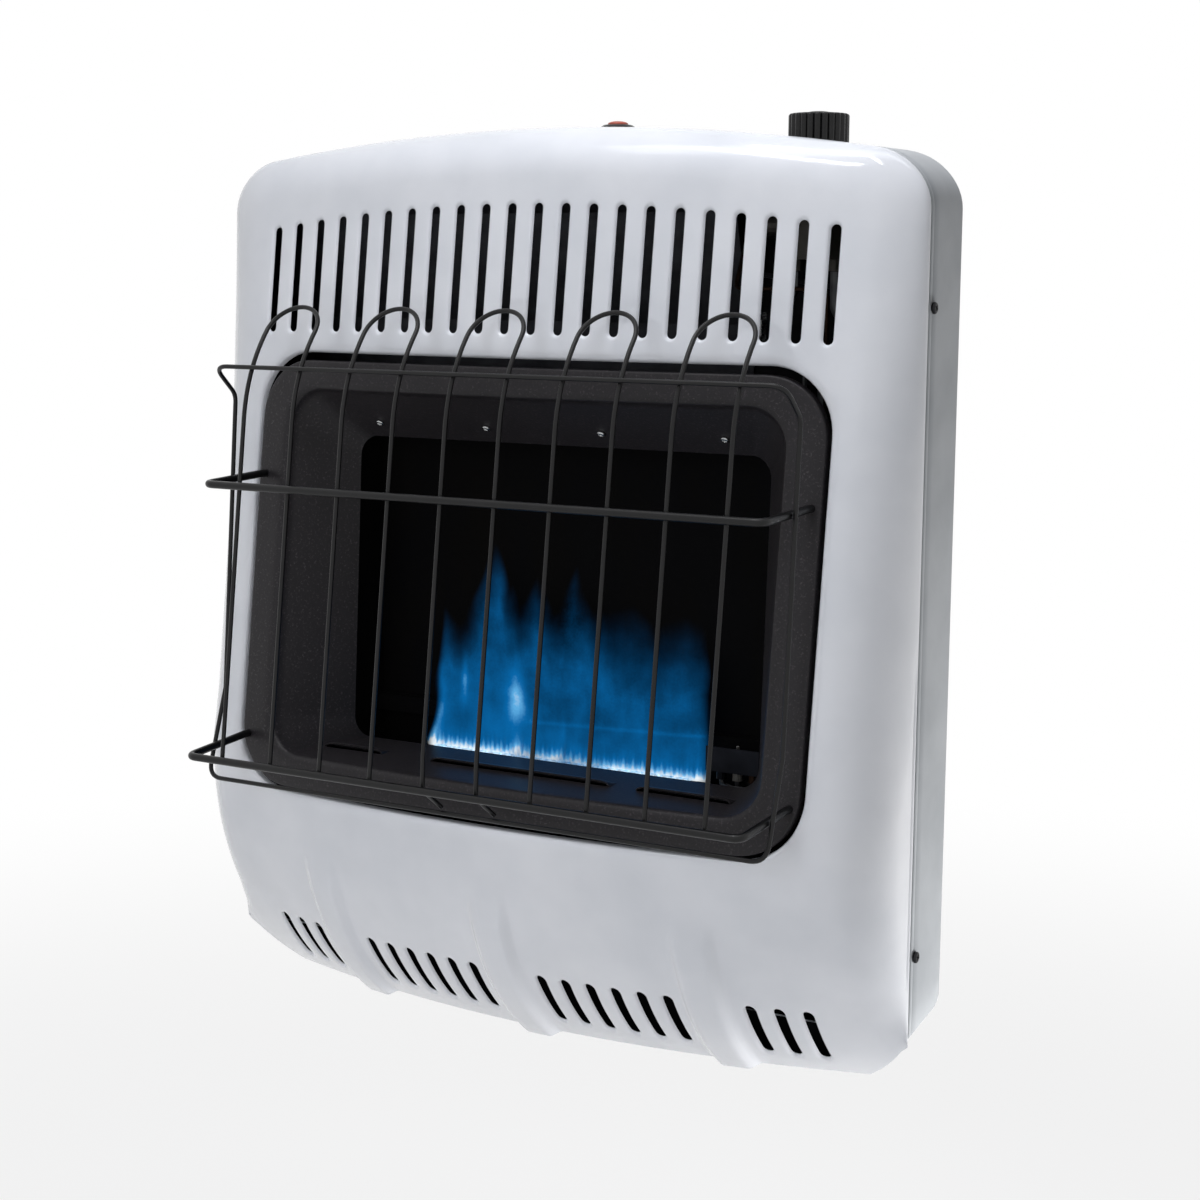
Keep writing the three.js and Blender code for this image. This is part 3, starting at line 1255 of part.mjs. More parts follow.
// Burner: a pressed box with a port strip on top, a front row of ports and a venturi at its right end
function burnerBody() {
  const y0 = -BURNER_DEPTH - BURNER_WIDTH / 2;
  const y1 = -BURNER_DEPTH + BURNER_WIDTH / 2;
  const foot = BURNER_TOP - BURNER_HEIGHT;
  const section = (inset) => {
    const r = BURNER_ROUND - inset;
    return [
      ...arcPoints([y0 + BURNER_ROUND, foot + BURNER_ROUND], r, Math.PI, 1.5 * Math.PI, 3),
      ...arcPoints([y1 - BURNER_ROUND, foot + BURNER_ROUND], r, 1.5 * Math.PI, 2 * Math.PI, 3),
      [y1 - inset, BURNER_TOP - inset],
      [y0 + inset, BURNER_TOP - inset],
    ];
  };
  const shell = prism('x', section(0), -BURNER_HALF_LENGTH, BURNER_HALF_LENGTH);
  const inside = BURNER_HALF_LENGTH - BURNER_WALL;
  const hollow = prism('x', section(BURNER_WALL), -inside, inside);
  const slot = box(
    -BURNER_HALF_LENGTH + BURNER_ROUND, BURNER_HALF_LENGTH - BURNER_ROUND,
    -BURNER_DEPTH - PORT_WIDTH / 2 - GAP, -BURNER_DEPTH + PORT_WIDTH / 2 + GAP,
    BURNER_TOP - 2 * BURNER_WALL, BURNER_TOP + OVERRUN,
  );
  const frontBox = box(
    FRONT_PORT_LEFT, FRONT_PORT_RIGHT, y0 - FRONT_PORT_WIDTH, y0 + BURNER_WALL,
    foot + BURNER_ROUND, BURNER_TOP - FRONT_PORT_DROP,
  );
  const frontHollow = box(
    FRONT_PORT_LEFT + BURNER_WALL, FRONT_PORT_RIGHT - BURNER_WALL,
    y0 - FRONT_PORT_WIDTH + BURNER_WALL, y0 - BURNER_WALL, foot + BURNER_ROUND + BURNER_WALL, BURNER_TOP,
  );
  const mid = foot + BURNER_HEIGHT / 2;
  const waist = VENTURI_RADIUS * VENTURI_WAIST_SHARE;
  const venturi = placed(
    turned([
      [0, -BURNER_WALL], [VENTURI_RADIUS, -BURNER_WALL], [waist, VENTURI_LENGTH * VENTURI_WAIST_FROM_SHARE],
      [waist, VENTURI_LENGTH * VENTURI_WAIST_TO_SHARE], [VENTURI_RADIUS, VENTURI_LENGTH], [0, VENTURI_LENGTH],
    ]), [BURNER_HALF_LENGTH, -BURNER_DEPTH, mid], TO_RIGHT,
  );
  const bore = placed(
    rod(VENTURI_BORE, -3 * BURNER_WALL, VENTURI_LENGTH + OVERRUN),
    [BURNER_HALF_LENGTH, -BURNER_DEPTH, mid], TO_RIGHT,
  );
  return cut(join(shell, frontBox, venturi), hollow, slot, frontHollow, bore);
}

// Port strip: a row of raised blocks with a slit of air between neighbours
function portStrip() {
  const length = 2 * (BURNER_HALF_LENGTH - BURNER_ROUND - GAP);
  const pitch = length / PORT_COUNT;
  const base = BURNER_TOP - BURNER_WALL;
  const points = [[-length / 2, base], [length / 2, base]];
  for (let i = PORT_COUNT - 1; i >= 0; i -= 1) {
    const left = -length / 2 + i * pitch;
    const slit = (pitch * PORT_SLIT_SHARE) / 2;
    points.push([left + pitch - slit, base + BURNER_WALL]);
    points.push([left + pitch - slit, base + PORT_HEIGHT]);
    points.push([left + slit, base + PORT_HEIGHT]);
    points.push([left + slit, base + BURNER_WALL]);
  }
  return prism('y', points, -BURNER_DEPTH - PORT_WIDTH / 2, -BURNER_DEPTH + PORT_WIDTH / 2);
}

function burnerBracket(side) {
  const near = side * (BURNER_HALF_LENGTH - BURNER_BRACKET_INSET);
  const left = Math.min(near, near + side * BURNER_BRACKET_WIDTH);
  const foot = SHELF_HEIGHT + SHEET + GAP;
  const back = -BURNER_DEPTH + BURNER_WIDTH / 2 + GAP + SHEET;
  return bentSheet([
    [-BURNER_DEPTH, foot],
    [back, foot],
    [back, BURNER_TOP - BURNER_BRACKET_DROP],
  ], SHEET, left, left + BURNER_BRACKET_WIDTH);
}

function injector() {
  const hexagon = rod(HEX_RADIUS, GAP, INJECTOR_LENGTH / 2, 6);
  const tail = rod(INJECTOR_TAIL_RADIUS, INJECTOR_LENGTH / 2 - SHEET, INJECTOR_LENGTH);
  const nose = turned([
    [0, -INJECTOR_NOSE_REACH], [INJECTOR_NOSE_RADIUS, -INJECTOR_NOSE_REACH],
    [INJECTOR_SHOULDER_RADIUS, SHEET], [0, SHEET],
  ]);
  return placed(join(hexagon, tail, nose), [INJECTOR_X, -BURNER_DEPTH, INJECTOR_Z], TO_RIGHT);
}

// Pilot bracket and what it carries
function pilotBracket() {
  const back = -PILOT_DEPTH + PILOT_FOOT_DEPTH;
  const wall = CHAMBER_HALF_WIDTH - GAP;
  const upper = bentSheet([
    [-PILOT_DEPTH, PILOT_TOP], [-PILOT_DEPTH, PILOT_SHELF], [back, PILOT_SHELF],
  ], SHEET, PILOT_LEFT, PILOT_RIGHT);
  const arm = box(PILOT_RIGHT - SHEET, wall, -PILOT_DEPTH, back, PILOT_SHELF, PILOT_SHELF + SHEET);
  const tab = box(wall - SHEET, wall, -PILOT_DEPTH, back, PILOT_SHELF, PILOT_TOP);
  const holes = PILOT_SITES.map((x) => placed(
    rod(PILOT_HOLE_RADIUS + GAP, -OVERRUN, OVERRUN, 12), [x, PILOT_AXIS_Y, PILOT_SHELF],
  ));
  return cut(join(upper, arm, tab), ...holes);
}

function onPilot(solid, site) {
  return placed(solid, [PILOT_SITES[site], PILOT_AXIS_Y, PILOT_SHELF]);
}

function pilotPost(radius, height) {
  const collar = PILOT_HOLE_RADIUS + COLLAR_REACH;
  return turned([
    [0, -PILOT_TAIL_LENGTH], [PILOT_HOLE_RADIUS, -PILOT_TAIL_LENGTH], [PILOT_HOLE_RADIUS, SHEET + GAP],
    [collar, SHEET + GAP], [collar, PILOT_COLLAR_HEIGHT], [radius, PILOT_COLLAR_HEIGHT], [radius, height],
    [radius / 2, height + radius / 2], [0, height + radius / 2],
  ], 12);
}

// Gas valve
function gasValve() {
  const half = VALVE_WIDTH / 2;
  const deep = VALVE_LENGTH / 2;
  const c = VALVE_CHAMFER;
  const block = prism('z', [
    [-half + c, -deep], [half - c, -deep], [half, -deep + c], [half, deep - c],
    [half - c, deep], [-half + c, deep], [-half, deep - c], [-half, -deep + c],
  ], VALVE_TOP - VALVE_HEIGHT, VALVE_TOP);
  const boss = rod(VALVE_BOSS_RADIUS, VALVE_TOP - SHEET, VALVE_TOP + VALVE_BOSS_HEIGHT);
  const low = VALVE_TOP - VALVE_HEIGHT;
  const ports = VALVE_PORT_SHARES.map((share) => placed(
    rod(PORT_BOSS_RADIUS, -PORT_BOSS_LENGTH, SHEET, 14), [share * half, 0, low],
  ));
  const magnet = placed(
    rod(MAGNET_RADIUS, 0, MAGNET_LENGTH), [-half + SHEET, 0, low + VALVE_HEIGHT / 2], [0, -Math.PI / 2, 0],
  );
  const stemBore = rod(STEM_RADIUS + GAP, VALVE_TOP - KNOB_BORE_DEPTH, VALVE_TOP + 2 * VALVE_BOSS_HEIGHT);
  return placed(cut(join(block, boss, ...ports, magnet), stemBore), [KNOB_X, -KNOB_DEPTH, 0]);
}

const VALVE_PORT_XS = VALVE_PORT_SHARES.map((share) => KNOB_X + share * (VALVE_WIDTH / 2));
const VALVE_PORT_Z = VALVE_TOP - VALVE_HEIGHT - PORT_BOSS_LENGTH;

function valveBracket() {
  const back = -BACK_RECESS - SHEET - GAP;
  const shelf = VALVE_TOP + GAP;
  const hole = placed(
    rod(VALVE_BOSS_RADIUS + GAP, 0, 2 * VALVE_BOSS_HEIGHT), [KNOB_X, -KNOB_DEPTH, VALVE_TOP - SHEET],
  );
  return cut(bentSheet([
    [back, VALVE_TOP - VALVE_HEIGHT],
    [back, shelf + SHEET],
    [-KNOB_DEPTH - VALVE_LENGTH / 2, shelf + SHEET],
  ], SHEET, KNOB_X - VALVE_WIDTH / 2, KNOB_X + VALVE_WIDTH / 2), hole);
}

// Stem and knob, modelled released
function valveStem() {
  const foot = VALVE_TOP - KNOB_BORE_DEPTH + STEM_TRAVEL + GAP;
  const top = KNOB_TOP - KNOB_HEIGHT + KNOB_BORE_DEPTH - GAP;
  const collar = VALVE_TOP + VALVE_BOSS_HEIGHT + STEM_TRAVEL + GAP;
  return placed(turned([
    [0, foot], [STEM_RADIUS, foot], [STEM_RADIUS, collar], [STEM_COLLAR, collar],
    [STEM_COLLAR, collar + 2 * SHEET], [STEM_RADIUS, collar + 2 * SHEET], [STEM_RADIUS, top], [0, top],
  ]), [KNOB_X, -KNOB_DEPTH, 0]);
}

function knobOutline(radius) {
  const points = [];
  const steps = KNOB_FLUTES * KNOB_FLUTE_STEPS;
  for (let i = 0; i < steps; i += 1) {
    const groove = i % KNOB_FLUTE_STEPS === 0 ? KNOB_FLUTE_DEPTH : 0;
    const angle = (2 * Math.PI * i) / steps;
    points.push([(radius - groove) * Math.cos(angle), (radius - groove) * Math.sin(angle)]);
  }
  return points;
}

function controlKnob() {
  const foot = KNOB_TOP - KNOB_HEIGHT;
  const body = prism('z', knobOutline(KNOB_RADIUS), foot, KNOB_TOP);
  const envelope = turned([
    [0, foot - SHEET], [KNOB_RADIUS + GAP, foot - SHEET], [KNOB_RADIUS + GAP, KNOB_TOP - KNOB_CHAMFER],
    [KNOB_RADIUS - KNOB_CHAMFER, KNOB_TOP], [0, KNOB_TOP],
  ], 36);
  const cap = turned([
    [0, KNOB_TOP - SHEET],
    [KNOB_CAP_RADIUS, KNOB_TOP - SHEET],
    [KNOB_CAP_RADIUS, KNOB_TOP + KNOB_CAP_RISE * KNOB_CAP_EDGE_SHARE],
    [KNOB_CAP_RADIUS * KNOB_CAP_FLAT_SHARE, KNOB_TOP + KNOB_CAP_RISE * KNOB_CAP_SHOULDER_SHARE],
    [0, KNOB_TOP + KNOB_CAP_RISE],
  ]);
  const bore = rod(STEM_RADIUS + GAP, foot - OVERRUN, foot + KNOB_BORE_DEPTH);
  return placed(cut(join(common(body, envelope), cap), bore), [KNOB_X, -KNOB_DEPTH, 0]);
}

// Igniter parts, each about its own axis
const IGNITER_SEAT = crownZ(IGNITER_X) + GAP;

function atIgniter(solid) {
  return placed(solid, [IGNITER_X, -IGNITER_DEPTH, IGNITER_SEAT]);
}

function igniterBezel() {
  return atIgniter(cut(
    turned([
      [0, 0], [BEZEL_RADIUS, 0], [BEZEL_RADIUS, BEZEL_HEIGHT - BEZEL_CHAMFER],
      [BEZEL_RADIUS - BEZEL_CHAMFER, BEZEL_HEIGHT], [0, BEZEL_HEIGHT],
    ], 28),
    rod(BUTTON_RADIUS + GAP, -OVERRUN, OVERRUN, 24),
  ));
}

function igniterBody() {
  const top = -GAP;
  return atIgniter(cut(
    turned([
      [0, -BARREL_LENGTH], [BARREL_TAIL_RADIUS, -BARREL_LENGTH],
      [BARREL_NECK_RADIUS, BARREL_TAIL_LENGTH - BARREL_LENGTH],
      [BARREL_RADIUS, BARREL_NECK_LENGTH - BARREL_LENGTH], [BARREL_RADIUS, top], [0, top],
    ], 24),
    rod(BUTTON_RADIUS + GAP, -BUTTON_SKIRT - BUTTON_RISE - GAP, OVERRUN, 24),
  ));
}

function igniterButton() {
  const top = BEZEL_HEIGHT + BUTTON_RISE / 2;
  return atIgniter(turned([
    [0, -BUTTON_SKIRT], [BUTTON_RADIUS, -BUTTON_SKIRT], [BUTTON_RADIUS, top - BUTTON_DOME],
    [BUTTON_RADIUS * BUTTON_DOME_SHARE, top - BUTTON_DOME / 4], [0, top],
  ], 24));
}

function igniterNut() {
  const top = -SHEET - 2 * GAP - (crownZ(IGNITER_X) - crownZ(IGNITER_X + NUT_RADIUS));
  return atIgniter(cut(
    rod(NUT_RADIUS, top - NUT_HEIGHT, top, 6),
    rod(BARREL_RADIUS + GAP, -BARREL_LENGTH, OVERRUN, 24),
  ));
}

// Regulator on its side with the outlet up and the inlet down
function regulator() {
  const half = REGULATOR_THICKNESS / 2;
  const can = placed(turned([
    [0, -half], [REGULATOR_RADIUS * REGULATOR_BACK_SHARE, -half],
    [REGULATOR_RADIUS, -half * REGULATOR_RIM_SHARE], [REGULATOR_RADIUS, half * REGULATOR_RIM_SHARE],
    [REGULATOR_RADIUS * REGULATOR_STEP_SHARE, half * REGULATOR_STEP_DEPTH_SHARE],
    [REGULATOR_RADIUS * REGULATOR_CAP_SHARE, half], [0, half],
  ], 24), [0, 0, 0], TO_FRONT);
  const reach = REGULATOR_RADIUS + REGULATOR_NECK_REACH;
  const neck = rod(REGULATOR_NECK_RADIUS, -reach, reach, 16);
  return placed(join(can, neck), [REGULATOR_X, -REGULATOR_DEPTH, REGULATOR_HEIGHT]);
}

const INLET_TOP = REGULATOR_HEIGHT - REGULATOR_RADIUS - REGULATOR_NECK_REACH - GAP;

function inletFitting() {
  const hexagon = rod(INLET_HEX_RADIUS, INLET_TOP - INLET_HEX_HEIGHT, INLET_TOP, 6);
  const pipe = rod(INLET_RADIUS, INLET_TOP - INLET_LENGTH, INLET_TOP - SHEET);
  const bore = rod(INLET_BORE, INLET_TOP - 2 * INLET_LENGTH, INLET_TOP + OVERRUN, 16);
  return placed(cut(join(hexagon, pipe), bore), [REGULATOR_X, -REGULATOR_DEPTH, 0]);
}

// Tubes and leads along real routes
const TUBE_ALLEY = CHAMBER_HALF_WIDTH + BURNER_TUBE_SWAY;

function inletPipe() {
  const start = REGULATOR_HEIGHT + REGULATOR_RADIUS + REGULATOR_NECK_REACH + GAP;
  return tube(bentRun([
    [REGULATOR_X, -REGULATOR_DEPTH, start],
    [REGULATOR_X, -REGULATOR_DEPTH, start + PIPE_RISE],
    [REGULATOR_X + PIPE_SWAY, -KNOB_DEPTH, LEDGE_HEIGHT],
    [REGULATOR_X + PIPE_SWAY, -KNOB_DEPTH, VALVE_PORT_Z - PIPE_CROSSING],
    [VALVE_PORT_XS[2], -KNOB_DEPTH, VALVE_PORT_Z - LINE_TAIL],
    [VALVE_PORT_XS[2], -KNOB_DEPTH, VALVE_PORT_Z - GAP],
  ], 3 * TUBE_RADIUS, TUBE_BEND_STEPS), TUBE_RADIUS);
}

function burnerTube() {
  const end = INJECTOR_X + INJECTOR_LENGTH + GAP;
  return tube(bentRun([
    [VALVE_PORT_XS[1], -KNOB_DEPTH, VALVE_PORT_Z - GAP],
    [VALVE_PORT_XS[1], -KNOB_DEPTH, VALVE_PORT_Z - BURNER_TUBE_DROP],
    [TUBE_ALLEY, -BURNER_DEPTH, VALVE_PORT_Z - BURNER_TUBE_CROSSING],
    [TUBE_ALLEY, -BURNER_DEPTH, INJECTOR_Z],
    [end, -BURNER_DEPTH, INJECTOR_Z],
  ], 3 * TUBE_RADIUS, TUBE_BEND_STEPS), TUBE_RADIUS);
}

// Fine lines from the pilot's tails, each in its own lane through the chamber's right side
function pilotTube() {
  return tube(bentRun([
    [PILOT_SITES[0], PILOT_AXIS_Y, PILOT_TAIL],
    [PILOT_SITES[0], PILOT_AXIS_Y, LANE_HEIGHT],
    [PILOT_SITES[0] + LINE_TURN, PILOT_LANE, LANE_HEIGHT],
    [PILOT_RISER, PILOT_LANE, LANE_HEIGHT],
    [PILOT_RISER, PILOT_LANE, -LINE_TURN],
    [VALVE_PORT_XS[0], PILOT_LANE, 0],
    [VALVE_PORT_XS[0], -KNOB_DEPTH, VALVE_PORT_Z - LINE_TURN],
    [VALVE_PORT_XS[0], -KNOB_DEPTH, VALVE_PORT_Z - GAP],
  ], 3 * FINE_TUBE_RADIUS, FINE_BEND_STEPS), FINE_TUBE_RADIUS, FINE_TUBE_SIDES);
}

function thermocoupleLead() {
  const magnetEnd = KNOB_X - VALVE_WIDTH / 2 + SHEET - MAGNET_LENGTH - GAP;
  const magnetZ = VALVE_TOP - VALVE_HEIGHT / 2;
  return tube(bentRun([
    [PILOT_SITES[2], PILOT_AXIS_Y, PILOT_TAIL],
    [PILOT_SITES[2], PILOT_AXIS_Y, LANE_HEIGHT],
    [PILOT_SITES[2] + LINE_TURN / 2, THERMOCOUPLE_LANE, LANE_HEIGHT],
    [THERMOCOUPLE_RISER, THERMOCOUPLE_LANE, LANE_HEIGHT],
    [THERMOCOUPLE_RISER, THERMOCOUPLE_LANE, THERMOCOUPLE_CROSSING],
    [magnetEnd - LINE_TURN, THERMOCOUPLE_LANE, THERMOCOUPLE_CROSSING],
    [magnetEnd - LINE_TURN, -KNOB_DEPTH, magnetZ],
    [magnetEnd, -KNOB_DEPTH, magnetZ],
  ], 3 * FINE_TUBE_RADIUS, FINE_BEND_STEPS), FINE_TUBE_RADIUS, FINE_TUBE_SIDES);
}

function igniterLead() {
  const tail = IGNITER_SEAT - BARREL_LENGTH - GAP;
  return tube(bentRun([
    [PILOT_SITES[1], PILOT_AXIS_Y, PILOT_TAIL],
    [PILOT_SITES[1], PILOT_AXIS_Y, LANE_HEIGHT],
    [PILOT_SITES[1], LEAD_LANE, LANE_HEIGHT],
    [LEAD_RISER - LINE_TURN, LEAD_LANE, LANE_HEIGHT],
    [LEAD_RISER, LEAD_BACK, LANE_HEIGHT + LINE_TURN],
    [LEAD_RISER, LEAD_BACK, LEAD_CROSSING],
    [DEFLECTOR_RIGHT, LEAD_BACK, LEAD_CROSSING + LINE_TURN],
    [IGNITER_X, -IGNITER_DEPTH, tail - LINE_TAIL],
    [IGNITER_X, -IGNITER_DEPTH, tail],
  ], 3 * LEAD_RADIUS, FINE_BEND_STEPS), LEAD_RADIUS, FINE_TUBE_SIDES);
}

// The model
const group = new THREE.Group();

function add(name, solid, colour, roughness = 0.5, metalness = 0.6) {
  const material = new THREE.MeshStandardMaterial({ color: COLOURS[colour], roughness, metalness });
  const mesh = new THREE.Mesh(geometryOf(solid), material);
  mesh.name = name;
  group.add(mesh);
}

add('front_cabinet', frontCabinet(), 'enamel', 0.25, 0.1);
add('rear_housing', rearHousing(), 'enamel', 0.3, 0.1);
add('wall_bracket', wallBracket(), 'steel', 0.45, 0.8);
add('firebox_surround', fireboxSurround(), 'charcoal', 0.5, 0.3);

['upper', 'lower'].forEach((level, i) => [[-1, 'left'], [1, 'right']].forEach(([side, name]) => {
  const site = screwSites().find((place) => place.side === side && place.z === CABINET_SCREW_HEIGHTS[i]);
  const seated = placed(screw(), [site.x + side * GAP, site.y, site.z], [0, side * Math.PI / 2, 0]);
  add(`cabinet_screw_${name}_${level}`, seated, 'black', 0.4, 0.7);
}));
SURROUND_SCREW_XS.forEach((x, i) => {
  const raised = placed(screw(SMALL_SCREW_SHARE), [0, 0, 2 * GAP]);
  add(`surround_screw_${i + 1}`, surroundScrewAt(x, raised), 'zinc', 0.3, 0.9);
});

for (let i = 0; i < HOOP_COUNT; i += 1) add(`guard_hoop_${i + 1}`, guardHoop(i), 'wire', 0.45, 0.5);
add('guard_bar_upper', guardBar(UPPER_BAR, UPPER_BAR_RISE), 'wire', 0.45, 0.5);
add('guard_bar_lower', guardBar(LOWER_BAR, LOWER_BAR_RISE), 'wire', 0.45, 0.5);
add('guard_ring', guardRing(), 'wire', 0.45, 0.5);

add('chamber_back', chamberBack(), 'black', 0.7, 0.4);
add('chamber_side_left', chamberSide(-1), 'black', 0.7, 0.4);
add('chamber_side_right', chamberSide(1), 'black', 0.7, 0.4);
add('chamber_hood', chamberHood(), 'darkSteel', 0.6, 0.5);
add('heat_deflector', heatDeflector(), 'darkSteel', 0.6, 0.5);
add('burner_shelf', burnerShelf(), 'darkSteel', 0.6, 0.5);

add('burner_body', burnerBody(), 'steel', 0.45, 0.8);
add('burner_port_strip', portStrip(), 'steel', 0.4, 0.9);
add('burner_bracket_left', burnerBracket(-1), 'steel', 0.5, 0.8);
add('burner_bracket_right', burnerBracket(1), 'steel', 0.5, 0.8);
add('injector', injector(), 'brass', 0.35, 0.9);

add('pilot_bracket', pilotBracket(), 'steel', 0.45, 0.8);
add('pilot_burner', onPilot(pilotPost(PILOT_HOLE_RADIUS, PILOT_BURNER_HEIGHT), 0), 'steel', 0.4, 0.9);
add('spark_electrode', onPilot(pilotPost(ELECTRODE_RADIUS, ELECTRODE_HEIGHT), 1), 'ceramic', 0.6, 0);
add('thermocouple', onPilot(pilotPost(THERMOCOUPLE_RADIUS, THERMOCOUPLE_HEIGHT), 2), 'copper', 0.4, 0.9);

add('gas_valve', gasValve(), 'aluminium', 0.5, 0.8);
add('valve_bracket', valveBracket(), 'steel', 0.5, 0.8);
add('valve_stem', valveStem(), 'brass', 0.35, 0.9);
add('control_knob', controlKnob(), 'black', 0.55, 0);

add('igniter_bezel', igniterBezel(), 'black', 0.35, 0.1);
add('igniter_body', igniterBody(), 'black', 0.5, 0);
add('igniter_button', igniterButton(), 'red', 0.4, 0);
add('igniter_nut', igniterNut(), 'black', 0.5, 0);

add('regulator', regulator(), 'aluminium', 0.5, 0.8);
add('inlet_fitting', inletFitting(), 'brass', 0.35, 0.9);
add('inlet_pipe', inletPipe(), 'aluminium', 0.4, 0.9);
add('burner_tube', burnerTube(), 'aluminium', 0.4, 0.9);
add('pilot_tube', pilotTube(), 'aluminium', 0.4, 0.9);
add('thermocouple_lead', thermocoupleLead(), 'copper', 0.4, 0.9);
add('igniter_lead', igniterLead(), 'rubber', 0.6, 0);

export default group;
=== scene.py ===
"""Looks of a wall hung, vent-free blue flame propane heater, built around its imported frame.

Every builder works in millimetres in the frame's own axes: X to the heater's right as seen from
the front, Y back to the wall, Z up. Points are turned to metres only when a mesh is made.
"""
import sys

import json
import logging
import math
from contextlib import contextmanager
from dataclasses import dataclass, field
from enum import Enum
from typing import Any, Iterable, Iterator, Optional, Sequence

import bmesh
import bpy
import numpy as np
from mathutils import Matrix, Vector
from mathutils.geometry import delaunay_2d_cdt

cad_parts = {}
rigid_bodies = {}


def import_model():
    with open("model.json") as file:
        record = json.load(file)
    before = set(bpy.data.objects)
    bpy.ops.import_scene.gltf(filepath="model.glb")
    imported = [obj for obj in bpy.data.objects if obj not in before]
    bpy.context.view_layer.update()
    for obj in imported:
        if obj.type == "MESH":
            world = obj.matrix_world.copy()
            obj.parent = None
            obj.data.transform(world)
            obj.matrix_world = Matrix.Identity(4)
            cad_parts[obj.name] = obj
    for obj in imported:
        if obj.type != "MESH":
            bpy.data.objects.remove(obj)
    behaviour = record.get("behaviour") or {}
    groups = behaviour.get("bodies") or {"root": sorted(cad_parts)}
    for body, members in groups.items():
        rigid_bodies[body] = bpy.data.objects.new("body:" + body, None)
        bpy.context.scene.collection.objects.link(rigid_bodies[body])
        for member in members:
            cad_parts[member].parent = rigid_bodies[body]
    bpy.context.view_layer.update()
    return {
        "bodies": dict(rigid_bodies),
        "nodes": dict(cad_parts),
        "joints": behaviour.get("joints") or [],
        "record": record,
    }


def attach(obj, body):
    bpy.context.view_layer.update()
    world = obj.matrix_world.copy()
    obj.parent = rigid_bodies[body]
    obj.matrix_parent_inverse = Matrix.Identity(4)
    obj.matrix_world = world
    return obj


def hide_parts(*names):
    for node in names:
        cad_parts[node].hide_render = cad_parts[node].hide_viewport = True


LOG = logging.getLogger("heater")
MM = 0.001
WELD = 0.00001
QUARTER = math.pi / 2
PURE_WHITE = (1.0, 1.0, 1.0, 1.0)

Array = np.ndarray
Tree = bpy.types.NodeTree
Node = bpy.types.Node
Socket = bpy.types.NodeSocket
Piece = bpy.types.Object
Place = tuple[float, float, float]
Span = tuple[float, float]
Sizes = tuple[float, float, float, float]


# Helpers for nodes and colours


def linear(colour: str) -> tuple[float, ...]:
    """Turns an sRGB hex colour to linear.

    Args:
        colour: the colour, as "#RRGGBB".

    Returns:
        Linear red, green, blue and an alpha of one.
    """
    shares = [int(colour[i:i + 2], 16) / 255 for i in (1, 3, 5)]
    red, green, blue = (s / 12.92 if s <= 0.04045 else ((s + 0.055) / 1.055) ** 2.4 for s in shares)
    return red, green, blue, 1.0


def add_node(tree: Tree, kind: str, inputs: Optional[dict] = None, **settings: Any) -> Node:
    """Adds one node with its settings, values and links.

    Args:
        tree: the tree that gets the node.
        kind: the node's type name.
        inputs: by socket name or number, a value to set or a socket to link from.
        **settings: properties of the node itself.

    Returns:
        The new node.
    """
    node = tree.nodes.new(kind)
    for name, value in settings.items():
        setattr(node, name, value)
    for key, value in (inputs or {}).items():
        socket = node.inputs[key]
        if isinstance(value, bpy.types.NodeSocket):
            tree.links.new(value, socket)
        else:
            socket.default_value = value
    return node


def combine(tree: Tree, operation: str, one: Socket, other: Socket) -> Socket:
    """Two values put together by a sum, a product or the greater of them."""
    return add_node(tree, "ShaderNodeMath", {0: one, 1: other}, operation=operation).outputs[0]


def seen_directly(tree: Tree) -> Socket:
    """One for what the camera, a reflection or clear glass sees, and zero for light that spreads."""
    rays = add_node(tree, "ShaderNodeLightPath").outputs
    mirrored = combine(tree, "MAXIMUM", rays["Is Camera Ray"], rays["Is Glossy Ray"])
    return combine(tree, "MAXIMUM", mirrored, rays["Is Transmission Ray"])


# Finishes


@dataclass(frozen=True)
class Surface:
    """A material on its way: whose it is, its tree, its principled shader and Object coordinates."""

    finish: "Finish"
    tree: Tree
    shader: Node
    place: Socket

    def set(self, values: dict[str, Any]) -> None:
        """Gives the shader's inputs plain values."""
        for name, value in values.items():
            self.shader.inputs[name].default_value = value

    def noise(self, size: float, detail: float, place: Optional[Socket] = None, **more: float) -> Socket:
        """Noise whose features are this many millimetres across."""
        inputs = {"Vector": self.place if place is None else place, "Scale": 1 / (size * MM), "Detail": detail}
        return add_node(self.tree, "ShaderNodeTexNoise", {**inputs, **more}).outputs[0]

    def stretched(self, scale: Place) -> Socket:
        """Object coordinates scaled along each axis, so that a pattern on them is drawn out."""
        return add_node(self.tree, "ShaderNodeMapping", {"Vector": self.place, "Scale": scale}).outputs[0]

    def remap(self, value: Socket, source: Span, target: Span = (0.0, 1.0), **settings: Any) -> Socket:
        """A value moved from one span to another and held inside it."""
        spans = dict(zip((1, 2, 3, 4), source + target))
        return add_node(self.tree, "ShaderNodeMapRange", {0: value, **spans}, **settings).outputs[0]

    def tone(self, share: Socket, other: str) -> None:
        """Mixes the base colour with another one, by the sockets that a mix of colours uses."""
        colours = {6: linear(self.finish.colour), 7: linear(other)}
        mixed = add_node(self.tree, "ShaderNodeMix", {0: share, **colours}, data_type="RGBA")
        self.tree.links.new(mixed.outputs[2], self.shader.inputs["Base Color"])

    def gloss(self, share: Socket, low: float, high: float) -> None:
        """Spreads the roughness between two shares of the finish's own."""
        middle = self.finish.roughness
        spread = self.remap(share, (0.0, 1.0), (middle * low, middle * high))
        self.tree.links.new(spread, self.shader.inputs["Roughness"])

    def relief(self, height: Socket, depth: float) -> None:
        """Turns a height pattern to a bump of a real depth in millimetres."""
        bump = add_node(self.tree, "ShaderNodeBump", {"Strength": 1.0, "Distance": depth * MM, "Height": height})
        self.tree.links.new(bump.outputs[0], self.shader.inputs["Normal"])


